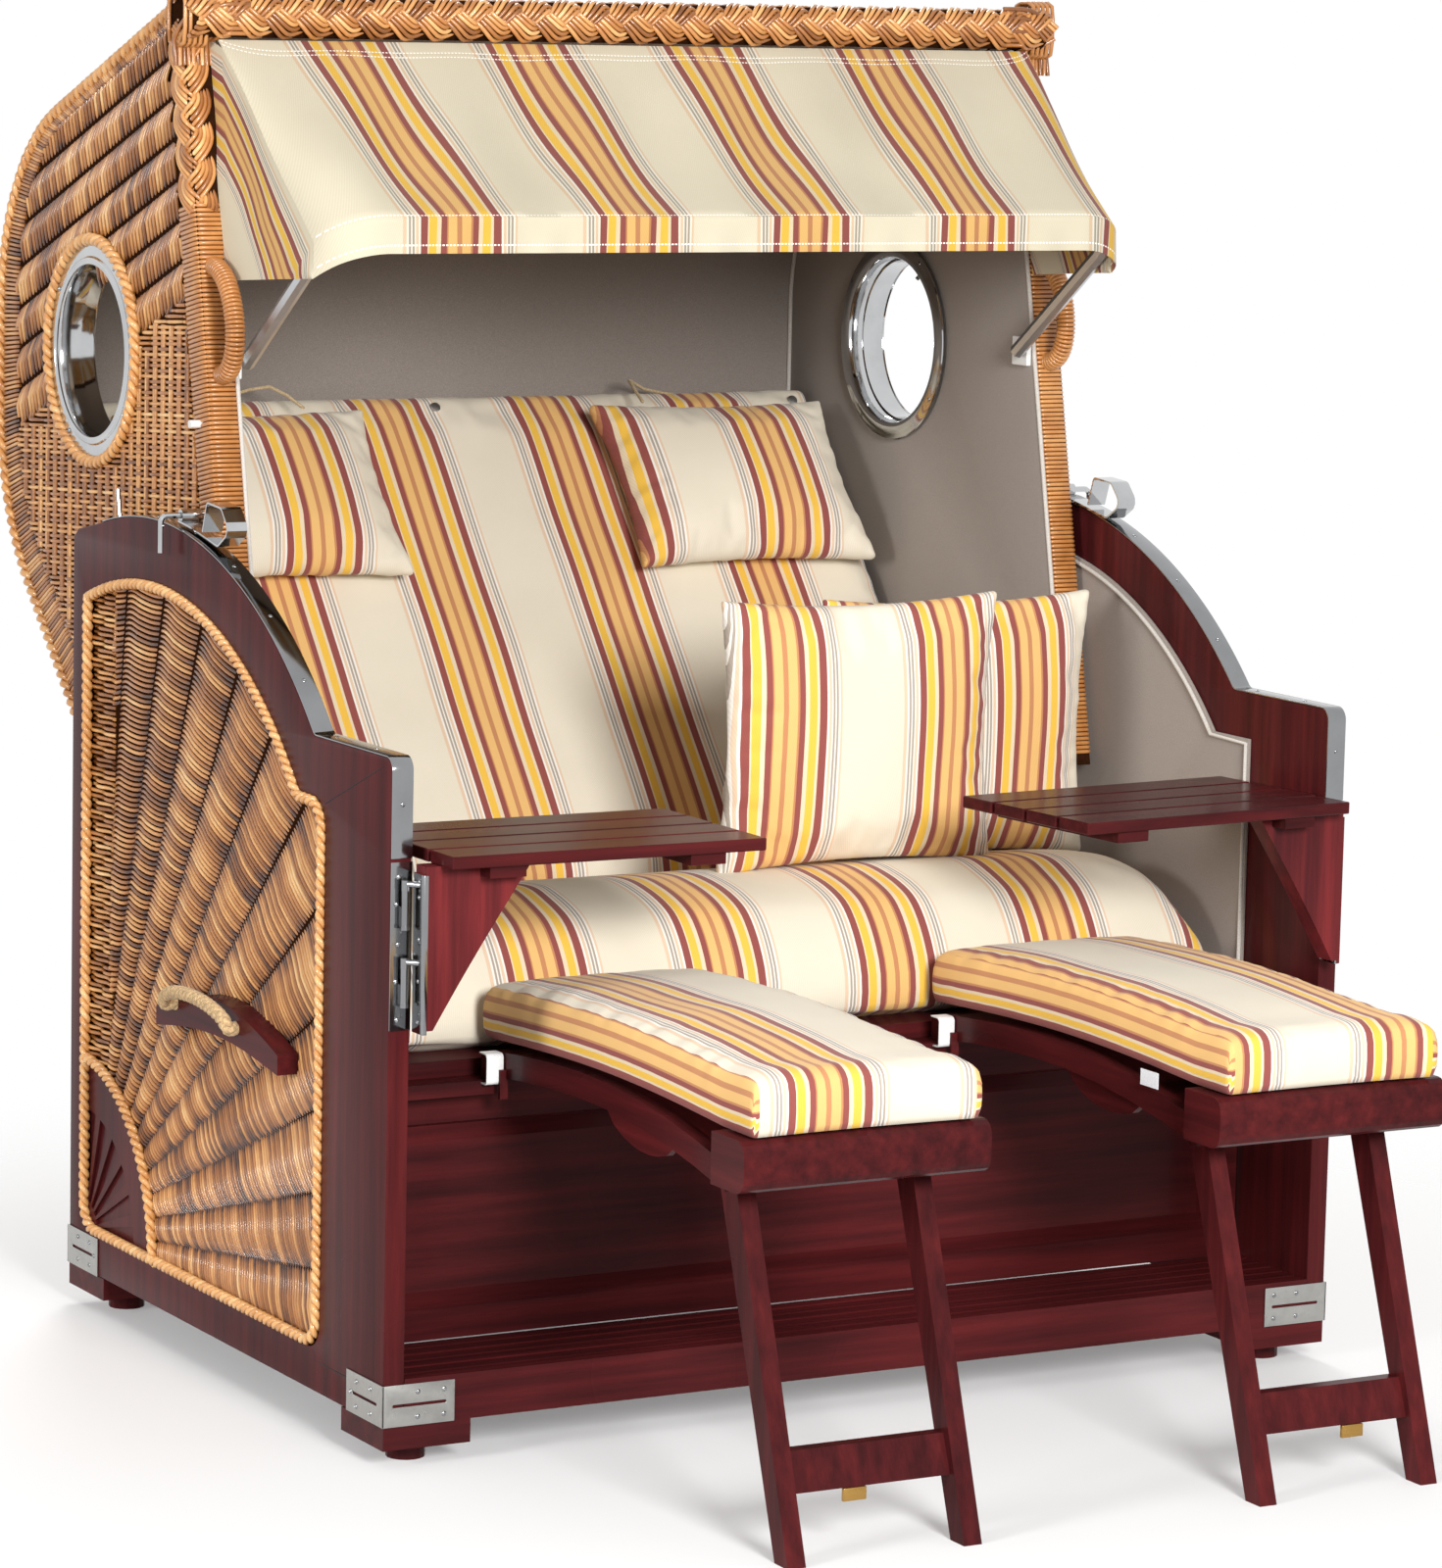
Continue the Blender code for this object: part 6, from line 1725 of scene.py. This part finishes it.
def puffed(mesh, cells, flat, growth, pressure, cap):
    """Let air pressure fill a pad whose seams are held, within a cap on its movement."""
    across, along = cells
    size = (across + 1) * (along + 1)
    held = [i for i in range(2 * size)
            if i % size // (across + 1) in (0, along) or i % (across + 1) in (0, across)
            or (flat and i >= size)]
    before = [vert.co.copy() for vert in mesh.vertices]
    obj = object_of("filling", mesh)
    obj.vertex_groups.new(name="seam").add(held, 1.0, "REPLACE")
    cloth = obj.modifiers.new("Cloth", "CLOTH")
    cloth.settings.quality = 6
    cloth.settings.vertex_group_mass = "seam"
    cloth.settings.tension_stiffness = CLOTH_STIFFNESS
    cloth.settings.compression_stiffness = CLOTH_STIFFNESS
    cloth.settings.bending_stiffness = 0.4
    cloth.settings.use_pressure = True
    cloth.settings.uniform_pressure_force = pressure
    cloth.settings.shrink_min = -growth
    cloth.settings.effector_weights.gravity = 0
    scene = bpy.context.scene
    for step in range(1, CLOTH_FRAMES + 1):
        scene.frame_set(step)
    result = baked(obj)
    scene.frame_set(1)
    for vert, old in zip(result.vertices, before):
        move = vert.co - old
        vert.co = old + move * min(1, cap / max(move.length, 1e-9))
    return result


def cushion(width, length, thick, cells, crown, edge, draw, seed, pucker=0.0, coordinate=None,
            flat=False, growth=0.02, pressure=4.0, cap=0.007, boxing=None):
    """Build a stuffed pad lying in its own (across, along, height) frame, from its corner's
    middle, with gathers along its seam. Flat pads are level below."""
    across, along = cells

    def height(u, v):
        a, b = 2 * u - 1, 2 * v - 1
        rise = max(0.0, (1 - a * a) * (1 - b * b)) ** crown
        near = min(1 - abs(a), (1 - abs(b)) * length / width) * width / 2
        x, y = u * width, v * length
        folds = pucker * math.exp(-near / 0.028) * wrinkle((x, y), 60, seed)
        soft = pucker * 0.9 * wrinkle((x, y), 9, seed + 4) * min(1, near / 0.04)
        return thick / 2 * (edge + (1 - edge) * rise) + folds + soft

    def place(u, v, h):
        a, b = 2 * u - 1, 2 * v - 1
        x = width / 2 * a * (1 - draw * (1 - b * b))
        y = length / 2 * b * (1 - draw * (1 - a * a)) + length / 2
        return (x, y, -thick / 2 if flat and h < 0 else h)

    points, faces = grid_cushion(across, along, height, place)
    mesh = striped_pad(points, faces, coordinate or (lambda p: (p.x, p.y)), boxing)
    return softened(puffed(mesh, cells, flat, growth, pressure, cap))


def softened(mesh):
    """Subdivide a soft mesh once."""
    obj = object_of("softened", mesh)
    smooth = obj.modifiers.new("Smooth", "SUBSURF")
    smooth.levels = 1
    smooth.render_levels = 1
    return baked(obj)


class CHAIR_OT_backrest(bpy.types.Operator):
    """Build the striped backrest cushion and the neck pillows"""
    bl_idname = "chair.backrest"
    bl_label = "Backrest and pillows"

    def execute(self, context):
        mesh = cushion(1.068, 0.745, 0.068, (96, 68), 0.16, 0.35, 0.0, 1, 0.003)
        spots = []
        for x in (-0.03, 0.50):
            high = max(v.co.z for v in mesh.vertices
                       if abs(v.co.x - x) < 0.012 and abs(v.co.y - 0.715) < 0.012)
            spots.append(((x, 0.715, high - 0.0006), (0, 0, 1)))
        cap = turned([(0.0001, 0.0018), (0.0035, 0.0016), (0.0062, 0.0008), (0.0070, -0.001)],
                     Matrix(), 20)
        snaps = faced(fasteners(spots, cap))
        snaps.transform(backrest_plane())
        piece("back_snaps", snaps, "aluminium", "hood")
        mesh.transform(backrest_plane())
        upholstered("backrest_cloth", mesh, striped("back_stripes", 0.0787), "hood",
                    "backrest_cushion")
        for name, sign, start in (("left", -1, -0.3386), ("right", 1, 0.333)):
            mesh = cushion(0.345, 0.250, 0.085, (46, 34), 0.45, 0.16, 0.07, 3 + sign, 0.004,
                           coordinate=lambda p, s=sign: (p.x + s * PILLOW_X, p.y))
            mesh.transform(Matrix.Translation((sign * PILLOW_X, 0.430, 0.0743)))
            mesh.transform(backrest_plane())
            upholstered("neck_pillow_cloth_" + name, mesh,
                        striped("pillow_stripes_" + name, start), "hood", "neck_pillow_" + name)
        return {"FINISHED"}


class CHAIR_OT_throws(bpy.types.Operator):
    """Build the two loose cushions"""
    bl_idname = "chair.throws"
    bl_label = "Throw cushions"

    def execute(self, context):
        for name, x, y, low, start in (("front", 0.165, 0.355, 0.5722, -0.0046),
                                       ("rear", 0.350, 0.4355, 0.5595, 0.3845)):
            mesh = cushion(0.380, 0.330, 0.080, (50, 42), 0.45, 0.16, 0.07, 5, 0.005,
                           coordinate=lambda p, c=x: (p.x + c, p.y))
            mesh.transform(front_plane(y) @ Matrix.Translation((x, low, 0)))
            upholstered("throw_cloth_" + name, mesh, striped("throw_stripes_" + name, start),
                        "chair", "throw_cushion_" + name)
        return {"FINISHED"}


class CHAIR_OT_footrest_pads(bpy.types.Operator):
    """Build the footrests' boxed pads"""
    bl_idname = "chair.footrest_pads"
    bl_label = "Footrest pads"

    def execute(self, context):
        for name, sign, start in (("left", -1, -0.1606), ("right", 1, 0.340)):
            mesh = cushion(0.280, 0.624, 0.066, (32, 70), 0.12, 0.55, 0.015, 8, 0.003,
                           coordinate=lambda p, s=sign: (p.x + s * FOOTREST_X, p.y), flat=True,
                           boxing=lambda p, b=start: (b + 0.062 - p.z, p.y), growth=0.008,
                           cap=0.004)
            mesh.transform(Matrix.Translation((sign * FOOTREST_X, -0.469, 0.4443 + 0.033)))
            for vert in mesh.vertices:
                share = min(1, max(0, (vert.co.y + 0.400) / 0.536))
                vert.co.z += 0.016 * math.sin(math.pi * share) * 0.6
            upholstered("footrest_cloth_" + name, mesh,
                        striped("footrest_stripes_" + name, start), "footrest_" + name,
                        "footrest_pad_" + name)
        return {"FINISHED"}


def canopy_bar(spread):
    """Return the canopy tube's axis, tangent and level outward direction along the bar."""
    along = Vector((0, *(CANOPY_BAR - CANOPY_PIVOT)))
    reach = along.length
    along.normalize()
    straight, radius = 0.464, 0.065
    side = math.copysign(1, spread)
    turn, across = 0, straight * abs(spread) / 0.86
    if abs(spread) > 0.86:
        across = straight
        turn = (abs(spread) - 0.86) / 0.14 * math.radians(78)
    x = side * (across + radius * math.sin(turn))
    axis = (Vector((x, *CANOPY_PIVOT)) + along * (reach - radius + radius * math.cos(turn)))
    tangent = Vector((side * math.cos(turn), 0, 0)) - along * math.sin(turn)
    return axis, tangent, tangent.cross(Vector((0, 0, side))).normalized()


class CHAIR_OT_canopy(bpy.types.Operator):
    """Build the canopy's cloth with its gussets and hem"""
    bl_idname = "chair.canopy"
    bl_label = "Canopy"

    def execute(self, context):
        clear, rows, half = 0.0101, 22, 0.553
        spreads = [-1 + 2 * i / 150 for i in range(151)]
        points, coords = [], []
        columns = 0
        for spread in spreads:
            axis, _, outward = canopy_bar(spread)
            top = Vector((max(-half, min(half, axis.x * half / 0.5276)), 0.637, TOP_Z))
            lip = (axis + Vector((0, outward.y * clear, clear * 0.96))
                   + Vector((outward.x * clear, 0, 0)))
            slope = (lip - top).length
            strand = []
            for j in range(rows + 1):
                t = j / rows
                spot = top.lerp(lip, t)
                dip = math.sin(math.pi * t)
                ripple = (0.0050 * math.cos(math.pi * (7 * spread + 1.6 * t)) + 0.006
                          * wrinkle((spread * 0.6, t * 0.2), 9, 2)) * dip
                spot.z -= 0.010 * dip * (1 - spread ** 4) + ripple
                strand.append((spot, (axis.x, slope * (t - 1))))
            for k, drop in enumerate((0.004, 0.010, 0.016, 0.022, 0.028, 0.034, 0.0395)):
                swell = 0.0015 * math.sin(spread * 60) * k / 6
                spot = axis + outward * (clear + swell) + Vector((0, 0, 0.0085 - drop))
                strand.append((spot, (axis.x, drop)))
            columns = len(strand)
            points += [spot for spot, _ in strand]
            coords += [uv for _, uv in strand]
        faces = [(i * columns + j, i * columns + j + 1, (i + 1) * columns + j + 1,
                  (i + 1) * columns + j) for i in range(len(spreads) - 1)
                 for j in range(columns - 1)]
        for side in (0, len(spreads) - 1):
            edge = [points[side * columns + j] for j in range(columns)]
            sign = -1 if side == 0 else 1
            heel, head = (Vector((sign * half, hood_front(z) - 0.0036, z))
                          for z in (1.268, TOP_Z))
            first = len(points)
            deep = 14
            for k in range(deep + 1):
                share = k / deep
                for j in range(columns):
                    base = head if j == 0 else edge[j]
                    lower = heel.lerp(edge[-1], j / (columns - 1))
                    spot = base.lerp(lower, share)
                    soft = 0.004 * wrinkle((spot.y, spot.z), 14, 5) * math.sin(math.pi * share)
                    points.append(spot + Vector((soft, 0, 0)))
                    coords.append((0.690 + (base - lower).length * share, spot.y))
            for k in range(deep):
                for j in range(columns - 1):
                    here = [first + k * columns + j, first + k * columns + j + 1,
                            first + (k + 1) * columns + j + 1, first + (k + 1) * columns + j]
                    faces.append(here if side == 0 else here[::-1])
        mesh = mesh_of("canopy", points, faces)
        layer = mesh.uv_layers.new(name="cloth")
        for loop in mesh.loops:
            layer.data[loop.index].uv = coords[loop.vertex_index]
        obj = object_of("canopy_scratch", mesh)
        solid = obj.modifiers.new("Thickness", "SOLIDIFY")
        solid.thickness = 0.0018
        solid.offset = 0
        mesh = baked(obj)
        # The canopy's cloth is darkened and greyed all over.
        paint = striped("canopy_stripes", 0.492, (-0.325, -0.317, -0.004, 0.030), 0.55)
        obj = piece("canopy_sheet", mesh, paint, None, ["canopy_cloth"], smooth=60)
        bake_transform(obj)
        return {"FINISHED"}


class CHAIR_OT_hardware(bpy.types.Operator):
    """Build the table hinges' steel, the pegs, catches, straps and a label"""
    bl_idname = "chair.hardware"
    bl_label = "Small hardware"

    def execute(self, context):
        leaf = block((0.5968, -0.0362, 0.4905), (0.6022, -0.0098, 0.6655), 0.0004)
        arms = []
        for low in KNUCKLES:
            z = low + 0.0485
            arms.append([(0.6000, -0.0230, z), (0.6060, -0.0165, z), (0.6120, -0.0100, z)])
        pins = strands(arms, 0.0035, 12, finish="steel")
        eyes = strands([[(*HINGE_PIN, low + 0.0445), (*HINGE_PIN, low + 0.0525)]
                        for low in KNUCKLES], 0.0046, 16, finish="steel")
        pair("table_hinge_leaf", joined([leaf, pins, eyes]), "steel", "table")
        spots = [((0.6023, -0.0230, z), (1, 0, 0)) for z in (0.503, 0.548, 0.594, 0.640, 0.657)]
        screws("leaf_screws", spots, "table", 0.0026, 0.0010)
        spots = [((0.6165, -0.0024, z), (0, -1, 0)) for z in (0.503, 0.586, 0.660)]
        spots += [((0.6185, -0.0024, z), (0, -1, 0)) for z in (0.545, 0.630)]
        screws("hinge_screws", spots, "chair", 0.0030, 0.0013)
        caps = strands([[(*HINGE_PIN, low + z), (*HINGE_PIN, low + z + 0.004)]
                        for low in KNUCKLES for z in (-0.002, 0.041)], 0.0047, 16,
                       finish="steel")
        pair("knuckle_caps", caps, "steel", "chair")
        y = hood_front(1.102) + POST_DEPTH * 0.57
        peg = strands([[(0.583, y, 1.102), (0.592, y, 1.102), (0.6005, y, 1.102)]], 0.0048, 18,
                      finish="plastic")
        pair("side_peg", peg, "plastic", "hood")
        catch = block((0.303, -0.4962, 0.0560), (0.331, -0.4915, 0.0702), 0.0008)
        pair("leg_catch", catch, "brass", "legs")
        straps = []
        for x in (0.1475, 0.4425):
            run = [(0.122, 0.4000, 0), (0.1040, 0.4000, 0.004), (0.1040, 0.4325, 0.004),
                   (0.122, 0.4325, 0)]
            middle = rounded(run, closed=False, steps=5)
            straps.append(board([middle + shifted(middle, 0.0016)[::-1]], 0.021, side_plane(x),
                                0.0003, 1))
        pair("pad_straps", joined(straps), "webbing", "footrest")
        label = block((0.1528, -0.335, 0.428), (0.1536, -0.300, 0.446), 0)
        piece("blank_label", label, "label", "footrest_right")
        return {"FINISHED"}


class CHAIR_OT_seat_cushion(bpy.types.Operator):
    """Build the long striped seat cushion"""
    bl_idname = "chair.seat_cushion"
    bl_label = "Seat cushion"

    def execute(self, context):
        def place(u, v, height):
            x = -0.568 + 1.136 * u
            y = 0.174 + 0.458 * v
            crest = 0.577 - (0.085 * (1 - math.sqrt(1 - ((0.30 - v) / 0.30) ** 2)) if v < 0.30
                             else 0.062 * ((v - 0.30) / 0.70) ** 1.6)
            crest -= 0.050 * abs(2 * u - 1) ** 16
            low = 0.4213
            middle, half = (crest + low) / 2, (crest - low) / 2
            return (x, y, middle + half * height)

        def shape(u, v):
            edge = min(1, 8 * min(u * 2.5, (1 - u) * 2.5, v, 1 - v))
            return 0.62 + 0.38 * math.sin(math.pi / 2 * edge)
        cells = (104, 42)
        points, faces = grid_cushion(*cells, shape, place)
        mesh = striped_pad(points, faces, lambda p: (p.x, p.y))
        mesh = softened(puffed(mesh, cells, False, 0.015, 3.0, 0.005))
        upholstered("seat_cushion_cloth", mesh, striped("seat_stripes", 0.074), "chair",
                    "seat_cushion", 50)
        return {"FINISHED"}


class ViewValues(bpy.types.PropertyGroup):
    """Camera and lights."""
    lens: FloatProperty(name="Lens", description="Focal length in millimetres", default=130.9)
    azimuth: FloatProperty(name="Azimuth", description="Heading of the view", default=0.5101,
                           subtype="ANGLE")
    tilt: FloatProperty(name="Tilt", description="How far the view looks down", default=0.1414,
                        subtype="ANGLE")
    roll: FloatProperty(name="Roll", description="Turn about the line of sight", default=0.0221,
                        subtype="ANGLE")
    place: FloatVectorProperty(name="Place", description="Where the camera stands",
                               default=(-3.2855, -5.8295, 1.6355), subtype="TRANSLATION")
    sky: FloatProperty(name="Sky", description="Strength of the light all round", default=0.45)
    key: FloatProperty(name="Key", description="Power of the main lamp in watts", default=285.0)
    fill: FloatProperty(name="Fill", description="Power of the side lamp in watts", default=120.0)
    rim: FloatProperty(name="Rim", description="Power of the rear lamp in watts", default=110.0)


class WeaveValues(bpy.types.PropertyGroup):
    """Cane and its weave."""
    pitch: FloatProperty(name="Pitch", description="Distance between strands", default=0.0066,
                         unit="LENGTH")
    radius: FloatProperty(name="Radius", description="Radius of a strand", default=0.0024,
                          unit="LENGTH")
    sides: IntProperty(name="Sides", description="Corners of a strand's section", default=6)
    bands: IntProperty(name="Bands", description="Rays of each side panel", default=12)


class WoodValues(bpy.types.PropertyGroup):
    """Mahogany colours."""
    dark: FloatVectorProperty(name="Dark", description="Colour of the dark grain",
                              default=(0.030, 0.006, 0.007), subtype="COLOR")
    light: FloatVectorProperty(name="Light", description="Colour of the light grain",
                               default=(0.120, 0.015, 0.016), subtype="COLOR")


class ClothValues(bpy.types.PropertyGroup):
    """Striped cloth."""
    repeat: FloatProperty(name="Repeat", description="Width of one stripe pattern", default=0.230,
                          unit="LENGTH")


GROUPS = {"chair_view": ViewValues, "chair_weave": WeaveValues, "chair_wood": WoodValues,
          "chair_cloth": ClothValues}
OPERATORS = (CHAIR_OT_stage, CHAIR_OT_handle_ropes, CHAIR_OT_neck_cords, CHAIR_OT_woods,
             CHAIR_OT_side_frames, CHAIR_OT_brackets, CHAIR_OT_edge_strips, CHAIR_OT_linings,
             CHAIR_OT_portholes, CHAIR_OT_fan_weave, CHAIR_OT_hood_weave,
             CHAIR_OT_post_wraps, CHAIR_OT_rim_plaits, CHAIR_OT_backrest,
             CHAIR_OT_seat_cushion, CHAIR_OT_throws, CHAIR_OT_footrest_pads, CHAIR_OT_canopy,
             CHAIR_OT_hardware)


class CHAIR_PT_panel(bpy.types.Panel):
    """Lists the chair's steps and values"""
    bl_label = "Beach Chair"
    bl_idname = "CHAIR_PT_panel"
    bl_space_type = "VIEW_3D"
    bl_region_type = "UI"
    bl_category = "Beach Chair"

    def draw(self, context):
        layout = self.layout
        for step in OPERATORS:
            layout.operator(step.bl_idname)
        for name, group in GROUPS.items():
            box = layout.box()
            for value in group.__annotations__:
                box.prop(getattr(context.scene, name), value)


def register():
    for kind in (*GROUPS.values(), *OPERATORS, CHAIR_PT_panel):
        bpy.utils.register_class(kind)
    for name, group in GROUPS.items():
        setattr(bpy.types.Scene, name, PointerProperty(type=group))


def unregister():
    for name in GROUPS:
        delattr(bpy.types.Scene, name)
    for kind in (CHAIR_PT_panel, *reversed(OPERATORS), *reversed(GROUPS.values())):
        bpy.utils.unregister_class(kind)


def main():
    register()
    make_finishes()
    for name, make in (("strands", strand_tree), ("wraps", wrap_tree),
                       ("fasteners", scatter_tree)):
        trees[name] = make()
    for step in OPERATORS:
        area, call = step.bl_idname.split(".")
        getattr(getattr(bpy.ops, area), call)()


if __name__ == "__main__":
    main()
